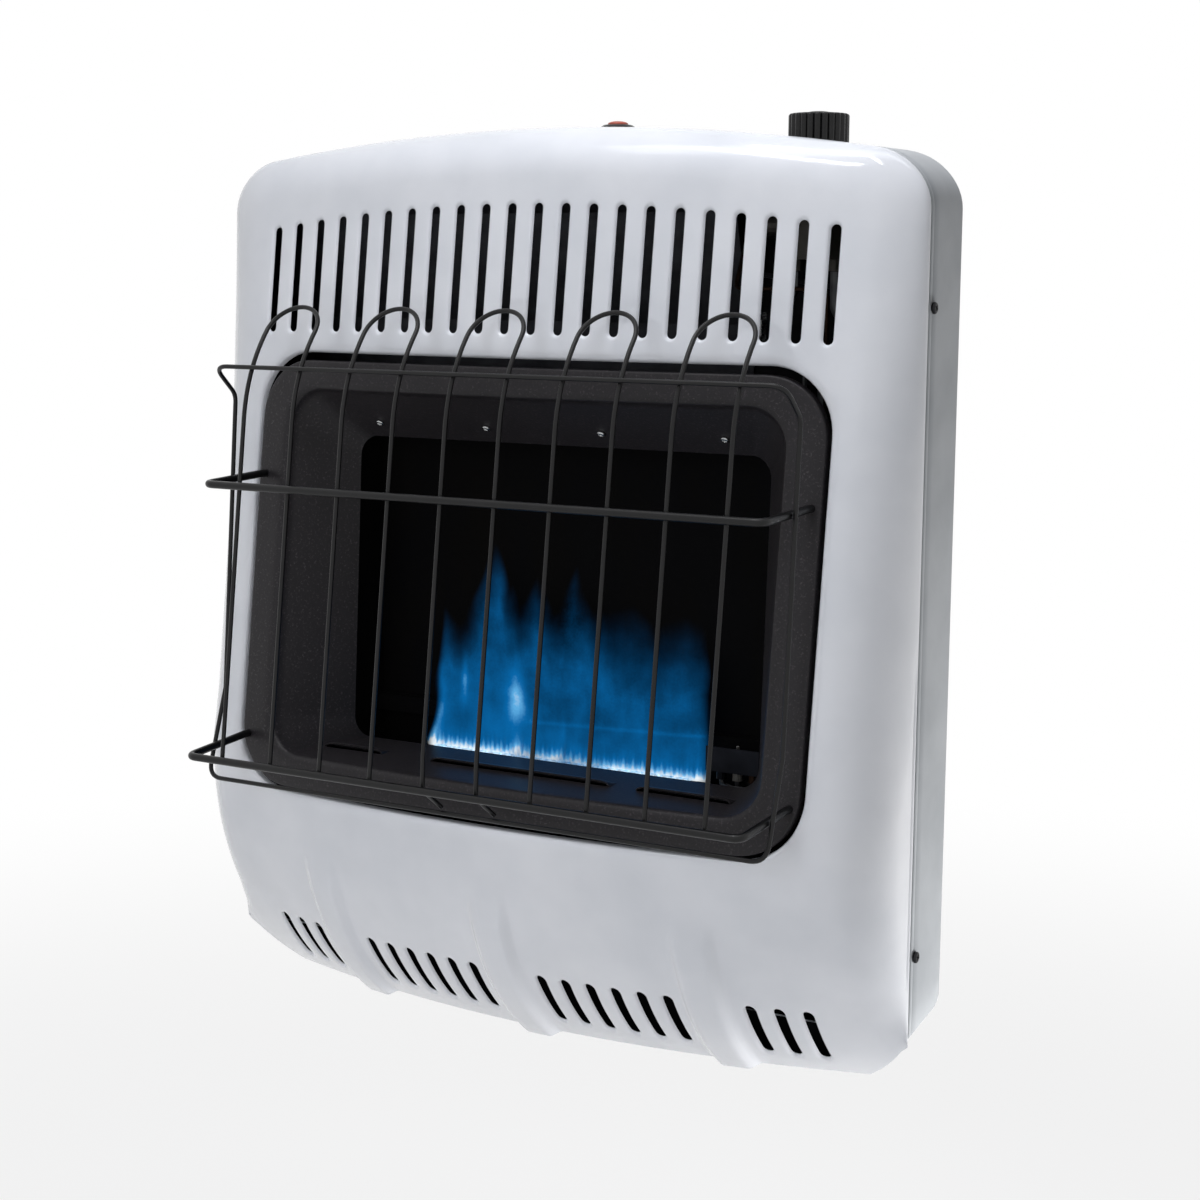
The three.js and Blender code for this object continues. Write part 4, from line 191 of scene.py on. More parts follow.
@dataclass(frozen=True)
class Finish:
    """A real material with one way of making its surface."""

    name: str
    colour: str
    roughness: float

    def material(self) -> bpy.types.Material:
        """Makes the material once and hands the same one out after that.

        Returns:
            The finish's material.
        """
        known = bpy.data.materials.get(self.name)
        if known:
            return known
        made = bpy.data.materials.new(self.name)
        made.use_nodes = True
        made.diffuse_color = linear(self.colour)
        tree = made.node_tree
        tree.nodes.clear()
        plain = {"Base Color": linear(self.colour), "Roughness": self.roughness}
        shader = add_node(tree, "ShaderNodeBsdfPrincipled", plain)
        place = add_node(tree, "ShaderNodeTexCoord").outputs["Object"]
        light = self.dress(Surface(self, tree, shader, place))
        add_node(tree, "ShaderNodeOutputMaterial", {"Surface": light})
        return made

    def dress(self, surface: Surface) -> Socket:
        """Adds the pattern, bump and gloss, and gives the socket that feeds the material's output."""
        return surface.shader.outputs[0]


@dataclass(frozen=True)
class PowderCoat(Finish):
    """Baked white powder coat on steel: a gloss skin with a soft orange peel and a faint drift of tone."""

    shade: str = "#CFD2D8"
    peel: float = 3.2
    drift: float = 70.0
    coat: float = 0.8
    shine: float = 0.25

    def dress(self, surface: Surface) -> Socket:
        """Orange peel of about 3 mm, tone that drifts over several centimetres, and a clear gloss."""
        surface.set({"Coat Weight": self.coat, "Coat Roughness": 0.05, "Specular IOR Level": self.shine})
        peel, drift = surface.noise(self.peel, 2.0), surface.noise(self.drift, 3.0)
        surface.tone(surface.remap(drift, (0.35, 0.7), (0.0, 0.5)), self.shade)
        surface.gloss(drift, 0.8, 1.25)
        surface.relief(peel, 0.035)
        return surface.shader.outputs[0]


@dataclass(frozen=True)
class SpeckledEnamel(Finish):
    """Heat resistant charcoal enamel: satin, with fine paler grit in it."""

    speck: str = "#4A4548"
    grit: float = 1.6

    def dress(self, surface: Surface) -> Socket:
        """Grit of about 1.6 mm, drawn a little coarser than real so that it shows."""
        surface.set({"Specular IOR Level": 0.2})
        grit, cloud = surface.noise(self.grit, 3.0, Roughness=0.7), surface.noise(45.0, 2.0)
        surface.tone(surface.remap(grit, (0.56, 0.72), (0.0, 0.85)), self.speck)
        surface.gloss(cloud, 0.85, 1.2)
        surface.relief(grit, 0.12)
        return surface.shader.outputs[0]


@dataclass(frozen=True)
class DipCoat(Finish):
    """Black dip coat on wire: even and satin, with a faint ripple where it ran."""

    dust: str = "#1E1D1F"

    def dress(self, surface: Surface) -> Socket:
        """Ripple of about 4 mm along the wire and paler dust in places."""
        surface.set({"Specular IOR Level": 0.3})
        ripple, dust = surface.noise(4.0, 2.0), surface.noise(30.0, 4.0)
        surface.tone(surface.remap(dust, (0.5, 0.75), (0.0, 0.35)), self.dust)
        surface.gloss(dust, 0.8, 1.3)
        surface.relief(ripple, 0.05)
        return surface.shader.outputs[0]


@dataclass(frozen=True)
class SootedSteel(Finish):
    """Aluminised steel that the fire has blackened, its colour set darker still as painted shade: dull, streaked with
    soot, browner where hottest.
    """

    scorched: str = "#080706"

    def dress(self, surface: Surface) -> Socket:
        """Soot clouds of about 40 mm, drawn out upwards, over fine dust."""
        surface.set({"Specular IOR Level": 0.06})
        cloud = surface.noise(40.0, 5.0, surface.stretched((1.0, 1.0, 0.35)))
        surface.tone(surface.remap(cloud, (0.4, 0.7)), self.scorched)
        surface.gloss(cloud, 0.8, 1.15)
        surface.relief(surface.noise(2.5, 3.0), 0.06)
        return surface.shader.outputs[0]


class Grain(Enum):
    """How a bare metal was made: its pattern's scale along each axis, its size and its depth."""

    BRUSHED = ((0.03, 1.0, 1.0), 0.8, 0.02)
    DRAWN = ((1.0, 1.0, 0.04), 0.7, 0.02)
    CAST = ((1.0, 1.0, 1.0), 1.4, 0.15)
    ROLLED = ((0.2, 1.0, 1.0), 2.5, 0.02)


@dataclass(frozen=True)
class BareMetal(Finish):
    """A bare or plated metal, whose grain tells how it was made."""

    other: str
    grain: Grain = Grain.ROLLED

    def dress(self, surface: Surface) -> Socket:
        """Fine lines, pores or mottling at the scale of the process, with tarnish over centimetres."""
        scale, size, depth = self.grain.value
        surface.set({"Metallic": 1.0})
        lines = surface.noise(size, 3.0, surface.stretched(scale))
        surface.tone(surface.remap(surface.noise(18.0, 4.0), (0.35, 0.75), (0.0, 0.8)), self.other)
        surface.gloss(lines, 0.75, 1.3)
        surface.relief(lines, depth)
        return surface.shader.outputs[0]


@dataclass(frozen=True)
class MouldedPlastic(Finish):
    """Moulded thermoset or ABS: a fine spark-eroded texture from the mould, a little polished by hands."""

    worn: str
    texture: float = 0.9

    def dress(self, surface: Surface) -> Socket:
        """Mould texture of about 0.9 mm, drawn coarser than real so that it shows."""
        surface.set({"Specular IOR Level": 0.28})
        fine, worn = surface.noise(self.texture, 2.0), surface.noise(9.0, 3.0)
        surface.tone(surface.remap(worn, (0.45, 0.8), (0.0, 0.5)), self.worn)
        surface.gloss(worn, 0.8, 1.2)
        surface.relief(fine, 0.03)
        return surface.shader.outputs[0]


@dataclass(frozen=True)
class GlazedCeramic(Finish):
    """White glazed alumina, smoked, with faint grey heat marks."""

    mark: str = "#9A948A"

    def dress(self, surface: Surface) -> Socket:
        """Marks of about 3 mm under a clear glaze."""
        surface.set({"Coat Weight": 0.6})
        marks = surface.noise(3.0, 3.0)
        surface.tone(surface.remap(marks, (0.5, 0.8), (0.0, 0.6)), self.mark)
        surface.relief(marks, 0.02)
        return surface.shader.outputs[0]


@dataclass(frozen=True)
class BlueFlame(Finish):
    """Burning propane: light alone, pale at the ports, deeper towards the tips, clear at its edges."""

    core: str = "#F2FAFF"
    pale: str = "#62B4EA"
    low: str = "#06426E"
    edge: str = "#00101E"

    def dress(self, surface: Surface) -> Socket:
        """Colour by the sheet's heat with clouds, licks and grain in it, and cover by its own."""
        tree = surface.tree
        tree.nodes.remove(surface.shader)
        heat, cover = (add_node(tree, "ShaderNodeAttribute", attribute_name=key).outputs["Fac"]
                       for key in ("flame_tone", "flame_cover"))
        licks = surface.noise(10.0, 3.0, surface.stretched((1.0, 1.0, 0.14)))
        for pattern, source, gain in (
            (surface.noise(26.0, 2.0), (0.3, 0.7), (-0.11, 0.1)),
            (licks, (0.25, 0.75), (-0.05, 0.05)),
            (surface.noise(1.6, 1.0), (0.2, 0.8), (-0.03, 0.03)),
        ):
            heat = combine(tree, "ADD", heat, surface.remap(pattern, source, gain))
        ramp = add_node(tree, "ShaderNodeValToRGB", {0: heat})
        stops = ramp.color_ramp.elements
        stops[0].position, stops[0].color = 0.0, linear(self.edge)
        stops[1].position, stops[1].color = 1.0, linear(self.core)
        for position, colour in ((0.25, self.low), (0.55, self.colour), (0.8, self.pale)):
            stops.new(position).color = linear(colour)
        glow = add_node(tree, "ShaderNodeEmission", {"Color": ramp.outputs[0], "Strength": 1.0})
        clear = add_node(tree, "ShaderNodeBsdfTransparent")
        return add_node(tree, "ShaderNodeMixShader", {0: cover, 1: clear.outputs[0], 2: glow.outputs[0]}).outputs[0]


@dataclass(frozen=True)
class GlowingPort(Finish):
    """Port metal with flame standing on it: white-blue light between plain steel rims."""

    light: str = "#E8F6FF"
    glow: str = "#A8DCFF"

    def dress(self, surface: Surface) -> Socket:
        """Glow that breaks up over about 3 mm, as the small flames dance."""
        surface.set({"Metallic": 0.8, "Emission Color": linear(self.glow)})
        dance = surface.remap(surface.noise(3.0, 2.0), (0.35, 0.65), (0.2, 1.0))
        surface.tone(dance, self.light)
        surface.tree.links.new(dance, surface.shader.inputs["Emission Strength"])
        return surface.shader.outputs[0]


@dataclass(frozen=True)
class FloorPaint(Finish):
    """Matt white studio floor that keeps the shadow and runs out into the white background."""

    near: float = 0.75
    far: float = 2.2
    near_white: float = 0.84

    def dress(self, surface: Surface) -> Socket:
        """Matt paint that looks nearly white near the heater and fully white further out."""
        tree = surface.tree
        surface.set({"Specular IOR Level": 0.2})
        level = {0: surface.place, 1: (1.0, 1.0, 0.0)}
        flat = add_node(tree, "ShaderNodeVectorMath", level, operation="MULTIPLY").outputs[0]
        reach = add_node(tree, "ShaderNodeVectorMath", {0: flat}, operation="LENGTH").outputs["Value"]
        fade = surface.remap(reach, (self.near, self.far), (self.near_white, 1.0), interpolation_type="SMOOTHSTEP")
        seen = combine(tree, "MULTIPLY", fade, seen_directly(tree))
        white = add_node(tree, "ShaderNodeEmission", {"Color": PURE_WHITE, "Strength": 1.0}).outputs[0]
        both = {0: seen, 1: surface.shader.outputs[0], 2: white}
        return add_node(tree, "ShaderNodeMixShader", both).outputs[0]


WHITE_COAT = PowderCoat("baked white powder coat on steel", "#E9EAEE", 0.22)
# The housing wears the same white powder coat as the front; its base and drift colours are set darker to paint the
# shade on its sides.
SHADED_HOUSING_COAT = PowderCoat("baked white powder coat on the housing", "#BBBEC1", 0.34,
                       shade="#989CA0", drift=55.0, coat=0.0, shine=0.15)
CHARCOAL = SpeckledEnamel("heat resistant charcoal enamel", "#262426", 0.36)
BLACK_WIRE = DipCoat("black dip coat on steel wire", "#0B0B0C", 0.3)
# Near black, darker than soot alone: the colour also paints the shade deep in the chamber.
SOOT_AND_SHADE = SootedSteel("sooted chamber steel", "#030304", 0.8)
BLUED_STEEL = BareMetal("stainless steel blued by the fire", "#23252B", 0.5, "#15161A", Grain.BRUSHED)
# Inner faces of the front, the housing and the chin tray are coloured dark grey to paint the shade inside the closed
# cabinet.
PAINTED_SHADE_INNER = BareMetal("rolled steel sheet, unpainted and darkened inside", "#232326", 0.6, "#18181A")
GREY_SHEET = BareMetal("rolled aluminised steel sheet", "#4A4B50", 0.5, "#2E2F33")
STEEL = BareMetal("rolled stainless burner steel", "#8A8B8E", 0.42, "#5A5550", Grain.BRUSHED)
ZINC = BareMetal("bright zinc plate on screws", "#C9CBCC", 0.26, "#9A9C9E")
BLACK_SCREW = BareMetal("black oxide on screws", "#1E1E20", 0.38, "#3A3A3C")
BRASS = BareMetal("turned brass", "#B08D4A", 0.3, "#7E6330", Grain.DRAWN)
CAST_METAL = BareMetal("die cast aluminium", "#5E5C58", 0.5, "#3E3C39", Grain.CAST)
TUBE_METAL = BareMetal("drawn aluminium tube", "#6E7072", 0.4, "#4A4C4E", Grain.DRAWN)
COPPER = BareMetal("drawn copper, browned", "#382A22", 0.42, "#221A16", Grain.DRAWN)
CERAMIC = GlazedCeramic("glazed ceramic, smoked", "#5A5854", 0.3)
BLACK_PLASTIC = MouldedPlastic("moulded black thermoset", "#0B0B0C", 0.24, "#1C1C1E")
RED_PLASTIC = MouldedPlastic("moulded brick red ABS", "#A5503F", 0.34, "#C07060")
SILICONE = MouldedPlastic("extruded black silicone sleeve", "#1C1C1E", 0.55, "#2E2E30", texture=0.6)
FLAME = BlueFlame("burning propane", "#0A69AC", 1.0)
PORT_GLOW = GlowingPort("ports under flame", "#9AA6B0", 0.4)
FLOOR = FloorPaint("matt white studio floor", "#F4F4F4", 0.9)


# Helpers for meshes


def new_piece(name: str, points: Iterable[Sequence[float]], faces: Iterable[Sequence[int]], finish: Finish) -> Piece:
    """Makes a smooth shaded object at the origin from points in millimetres.

    Args:
        name: the object's name.
        points: places in millimetres.
        faces: corner numbers of each face.
        finish: what it is finished in.

    Returns:
        The new object, linked to the scene.
    """
    mesh = bpy.data.meshes.new(name)
    mesh.from_pydata((np.asarray(points, dtype=float) * MM).tolist(), [], [list(map(int, f)) for f in faces])
    mesh.validate()
    mesh.polygons.foreach_set("use_smooth", [True] * len(mesh.polygons))
    mesh.materials.append(finish.material())
    piece = bpy.data.objects.new(name, mesh)
    bpy.context.scene.collection.objects.link(piece)
    return piece


@contextmanager
def edited(piece: Piece) -> Iterator[bmesh.types.BMesh]:
    """Opens a piece's mesh for editing and writes it back at the end."""
    mesh = bmesh.new()
    mesh.from_mesh(piece.data)
    yield mesh
    mesh.to_mesh(piece.data)
    mesh.free()


def face_outwards(piece: Piece) -> None:
    """Turns every face of a closed piece outwards."""
    with edited(piece) as mesh:
        bmesh.ops.recalc_face_normals(mesh, faces=mesh.faces)


def discard(piece: Piece) -> None:
    """Deletes a piece and its mesh."""
    mesh = piece.data
    bpy.data.objects.remove(piece)
    bpy.data.meshes.remove(mesh)


def settle(piece: Piece, sharp: float = 38.0) -> Piece:
    """Turns a piece with modifiers to a plain mesh and marks its sharp edges.

    Args:
        piece: the object to settle.
        sharp: angle in degrees past which an edge stays sharp.

    Returns:
        The same object with its new mesh and no modifiers.
    """
    evaluated = piece.evaluated_get(bpy.context.evaluated_depsgraph_get())
    mesh = bpy.data.meshes.new_from_object(evaluated)
    mesh.name = piece.name
    piece.modifiers.clear()
    old = piece.data
    piece.data = mesh
    bpy.data.meshes.remove(old)
    with edited(piece) as tidy:
        bmesh.ops.remove_doubles(tidy, verts=tidy.verts, dist=WELD)
        bmesh.ops.dissolve_degenerate(tidy, edges=tidy.edges, dist=WELD / 2)
    mesh.polygons.foreach_set("use_smooth", [True] * len(mesh.polygons))
    mesh.set_sharp_from_angle(angle=math.radians(sharp))
    return piece


def wall(piece: Piece, thickness: float, inner: Optional[Finish] = None) -> Piece:
    """Gives a skin whose faces point outwards a wall on its inner side.

    Args:
        piece: the skin.
        thickness: the wall's thickness in millimetres.
        inner: the finish of the inner faces, if it differs.

    Returns:
        The piece, with the wall as a modifier.
    """
    solidify = piece.modifiers.new("sheet", "SOLIDIFY")
    solidify.thickness = thickness * MM
    solidify.offset = -1.0
    if inner:
        piece.data.materials.append(inner.material())
        solidify.material_offset = 1
    return piece


def cut_by(piece: Piece, tools: Sequence[Piece]) -> Piece:
    """Cuts tools out of a closed piece and deletes them.

    Args:
        piece: the closed piece.
        tools: closed objects to take away.

    Returns:
        The piece, settled.
    """
    for tool in tools:
        cut = piece.modifiers.new("cut", "BOOLEAN")
        cut.operation, cut.solver, cut.object = "DIFFERENCE", "EXACT", tool
    settle(piece)
    for tool in tools:
        discard(tool)
    return piece


def loft(rings: Sequence[Array], closed: bool = True, first: int = 0) -> list[list[int]]:
    """Quads between neighbouring rings of equal counts.

    Args:
        rings: rings of points.
        closed: whether each ring closes on itself.
        first: number of the first ring's first point.

    Returns:
        The faces' corner numbers.
    """
    count = len(rings[0])
    faces = []
    for j in range(len(rings) - 1):
        here, there = first + j * count, first + (j + 1) * count
        for i in range(count if closed else count - 1):
            k = (i + 1) % count
            faces.append([here + i, here + k, there + k, there + i])
    return faces


def circle(centre: Sequence[float], radius: float, z: float, steps: int) -> list[Place]:
    """Points at one height round a vertical axis."""
    turns = np.linspace(0, 2 * math.pi, steps, endpoint=False)
    return [(centre[0] + radius * math.cos(t), centre[1] + radius * math.sin(t), z) for t in turns]


def lathe(profile: Sequence[Span], centre: Place, steps: int = 48) -> tuple[list, list]:
    """Points and faces of a profile turned round the vertical, closed on its axis at both ends.

    Args:
        profile: (radius, height) from one end to the other, both ends on the axis.
        centre: where the axis stands and the height's zero.
        steps: points round each ring.

    Returns:
        The points and the faces.
    """
    x, y, z = centre
    points, faces = [(x, y, z + profile[0][1])], []
    inner = profile[1:-1]
    for radius, height in inner:
        points += circle(centre, radius, z + height, steps)
    points.append((x, y, z + profile[-1][1]))
    last = len(points) - 1
    for i in range(steps):
        k = (i + 1) % steps
        faces.append([0, 1 + k, 1 + i])
        for j in range(len(inner) - 1):
            a, b = 1 + j * steps, 1 + (j + 1) * steps
            faces.append([a + i, a + k, b + k, b + i])
        top = 1 + (len(inner) - 1) * steps
        faces.append([top + i, top + k, last])
    return points, faces


def block_tool(name: str, low: Place, high: Place) -> Piece:
    """A closed box between two corners in millimetres, to cut with."""
    (x0, y0, z0), (x1, y1, z1) = low, high
    points = [(x, y, z) for z in (z0, z1) for x, y in ((x0, y0), (x1, y0), (x1, y1), (x0, y1))]
    faces = [[3, 2, 1, 0], [4, 5, 6, 7], [0, 1, 5, 4], [1, 2, 6, 5], [2, 3, 7, 6], [3, 0, 4, 7]]
    return new_piece(name, points, faces, CHARCOAL)


def pin_tool(name: str, centre: Sequence[float], radius: float, low: float, high: float) -> Piece:
    """A closed upright pin in millimetres, to cut with."""
    points, faces = lathe([(0, low), (radius, low), (radius, high), (0, high)], (*centre[:2], 0.0), 64)
    return new_piece(name, points, faces, CHARCOAL)


def rounded_loop(half: float, top: float, foot: float, radius: float, across: int, up: int, corner: int) -> Array:
    """A loop of (x, z) points round a rectangle with round corners, anticlockwise from its lower right.

    Args:
        half: half its width.
        top: height of its upper edge.
        foot: height of its lower edge.
        radius: radius of its corners.
        across: steps along the upper and the lower edge.
        up: steps along each side.
        corner: steps round each corner.

    Returns:
        An array of points, the same count for every size.
    """
    x = half - radius
    centres = [(x, foot + radius), (x, top - radius), (-x, top - radius), (-x, foot + radius)]
    points: list = []
    for i, (cx, cz) in enumerate(centres):
        start, stop = -QUARTER + i * QUARTER, -QUARTER + i * QUARTER + QUARTER
        turns = np.linspace(start, stop, corner + 1)
        arc = [(cx + radius * math.cos(t), cz + radius * math.sin(t)) for t in turns]
        points += arc
        nx, nz = centres[(i + 1) % 4]
        here, end = np.asarray(arc[-1]), np.asarray((nx + radius * math.cos(stop), nz + radius * math.sin(stop)))
        steps = up if i % 2 == 0 else across
        points += [tuple(here + (end - here) * k / steps) for k in range(1, steps)]
    return np.array(points)


def through(corners: Sequence[Sequence[float]], radius: float, steps: int = 8) -> Array:
    """Points of a path through corners, each rounded by one radius.

    Args:
        corners: the path's corners.
        radius: how far from a corner its bend starts, at most.
        steps: steps round each bend.

    Returns:
        An array of points.
    """
    longest = 0.45
    spots = [np.asarray(c, dtype=float) for c in corners]
    points = [spots[0]]
    for before, here, after in zip(spots, spots[1:], spots[2:]):
        back, ahead = before - here, after - here
        back_length, ahead_length = np.linalg.norm(back), np.linalg.norm(ahead)
        cosine = back @ ahead / (back_length * ahead_length)
        half = math.acos(max(-1.0, min(1.0, cosine))) / 2
        reach = min(radius / math.tan(half), back_length * longest, ahead_length * longest)
        start, end = here + back / back_length * reach, here + ahead / ahead_length * reach
        for t in np.linspace(0, 1, steps + 1):
            points.append((1 - t) ** 2 * start + 2 * t * (1 - t) * here + t * t * end)
    points.append(spots[-1])
    return np.array(points)


def smooth_step(share: Array) -> Array:
    """A share from zero to one that starts and ends level."""
    return share * share * (3 - 2 * share)


# Geometry Nodes


class NodeForm:
    """A Geometry Nodes tree with named inputs, run on one mesh and turned to a plain piece."""

    def __init__(self, name: str, **sizes: str) -> None:
        """Starts a tree.

        Args:
            name: the tree's name.
            **sizes: by input name, the kind of its socket. Every form also has the input Finish.
        """
        self.tree = bpy.data.node_groups.new(name, "GeometryNodeTree")
        self.sockets: dict[str, str] = {}
        face = self.tree.interface
        face.new_socket(name="Geometry", in_out="INPUT", socket_type="NodeSocketGeometry")
        for key, kind in {**sizes, "Finish": "Material"}.items():
            socket = face.new_socket(name=key, in_out="INPUT", socket_type=f"NodeSocket{kind}")
            self.sockets[key] = socket.identifier
        face.new_socket(name="Geometry", in_out="OUTPUT", socket_type="NodeSocketGeometry")
        self.given = add_node(self.tree, "NodeGroupInput").outputs

    def add(self, kind: str, inputs: dict, **settings: Any) -> bpy.types.bpy_prop_collection:
        """Adds one node and gives its outputs."""
        return add_node(self.tree, kind, inputs, **settings).outputs

    def put(self, part: Socket, **inputs: Any) -> None:
        """Closes the tree with a part set on every point."""
        spots = {"Points": self.given["Geometry"], "Instance": part, **inputs}
        self.end(self.add("GeometryNodeInstanceOnPoints", spots)[0])

    def end(self, geometry: Socket) -> None:
        """Closes the tree with smooth shading, real geometry and the finish."""
        smooth = self.add("GeometryNodeSetShadeSmooth", {"Geometry": geometry})
        real = self.add("GeometryNodeRealizeInstances", {"Geometry": smooth[0]})
        coat = self.add("GeometryNodeSetMaterial", {"Geometry": real[0], "Material": self.given["Finish"]})
        self.add("NodeGroupOutput", {0: coat[0]})

    def make(self, name: str, points: Array, edges: Sequence[tuple[int, int]], finish: Finish,
             sizes: dict[str, Any], facing: Optional[Array] = None) -> Piece:
        """Runs the tree on points and edges in millimetres.

        Args:
            name: the new piece's name.
            points: the given points.
            edges: the given edges.
            finish: what the piece is finished in.
            sizes: values for the named inputs.
            facing: a direction for each point, kept as the attribute "facing".

        Returns:
            The piece as a plain mesh.
        """
        mesh = bpy.data.meshes.new(name)
        mesh.from_pydata((np.asarray(points) * MM).tolist(), [tuple(map(int, e)) for e in edges], [])
        mesh.materials.append(finish.material())
        if facing is not None:
            kept = mesh.attributes.new("facing", "FLOAT_VECTOR", "POINT")
            kept.data.foreach_set("vector", np.asarray(facing, dtype=float).ravel())
        piece = bpy.data.objects.new(name, mesh)
        bpy.context.scene.collection.objects.link(piece)
        nodes = piece.modifiers.new(name, "NODES")
        nodes.node_group = self.tree
        for key, value in {**sizes, "Finish": finish.material()}.items():
            nodes[self.sockets[key]] = value
        return settle(piece, 42.0)


def wire_form() -> NodeForm:
    """A tree that sweeps a round wire along every run of edges.

    Returns:
        The form, whose inputs are Radius and Sides.
    """
    form = NodeForm("round wire along a path", Radius="Float", Sides="Int")
    path = form.add("GeometryNodeMeshToCurve", {"Mesh": form.given["Geometry"]})
    size = {"Resolution": form.given["Sides"], "Radius": form.given["Radius"]}
    ring = form.add("GeometryNodeCurvePrimitiveCircle", size)
    swept = {"Curve": path[0], "Profile Curve": ring[0], "Fill Caps": True}
    form.end(form.add("GeometryNodeCurveToMesh", swept)[0])
    return form


def nugget_form() -> NodeForm:
    """A tree that sets a small weld nugget on every point.

    Returns:
        The form, whose inputs are Size and Spread.
    """
    form = NodeForm("weld nuggets on points", Size="Float", Spread="Vector")
    ball = form.add("GeometryNodeMeshIcoSphere", {"Radius": form.given["Size"], "Subdivisions": 2})
    form.put(ball[0], Scale=form.given["Spread"])
    return form


def facing_form() -> NodeForm:
    """A tree that sets a made part on every point, its axis along the point's facing, with a seeded turn.

    Returns:
        The form, whose inputs are Part and Seed.
    """
    form = NodeForm("parts set on points", Part="Object", Seed="Int")
    part = form.add("GeometryNodeObjectInfo", {"Object": form.given["Part"]})
    facing = form.add("GeometryNodeInputNamedAttribute", {"Name": "facing"}, data_type="FLOAT_VECTOR")
    aimed = form.add("FunctionNodeAlignRotationToVector", {"Vector": facing[0]}, axis="Z")
    half_turn = {2: 0.0, 3: math.pi, "Seed": form.given["Seed"]}
    turn = form.add("FunctionNodeRandomValue", half_turn, data_type="FLOAT")
    spin = form.add("FunctionNodeAxisAngleToRotation", {"Axis": (0.0, 0.0, 1.0), "Angle": turn[1]})
    whole = form.add("FunctionNodeRotateRotation", {0: aimed[0], 1: spin[0]}, rotation_space="LOCAL")
    form.put(part["Geometry"], Rotation=whole[0])
    return form


def row_form() -> NodeForm:
    """A tree that sets a made part on every point, as it stands.

    Returns:
        The form, whose input is Part.
    """
    form = NodeForm("port blocks in a row", Part="Object")
    form.put(form.add("GeometryNodeObjectInfo", {"Object": form.given["Part"]})["Geometry"])
    return form


def runs(paths: Sequence[Array]) -> tuple[Array, list[tuple[int, int]]]:
    """Joins open paths to one set of points and edges.

    Args:
        paths: the paths' points.

    Returns:
        All points, and the edges along each path.
    """
    edges, start = [], 0
    for path in paths:
        edges += [(start + i, start + i + 1) for i in range(len(path) - 1)]
        start += len(path)
    return np.concatenate(paths), edges


# The cabinet's shape


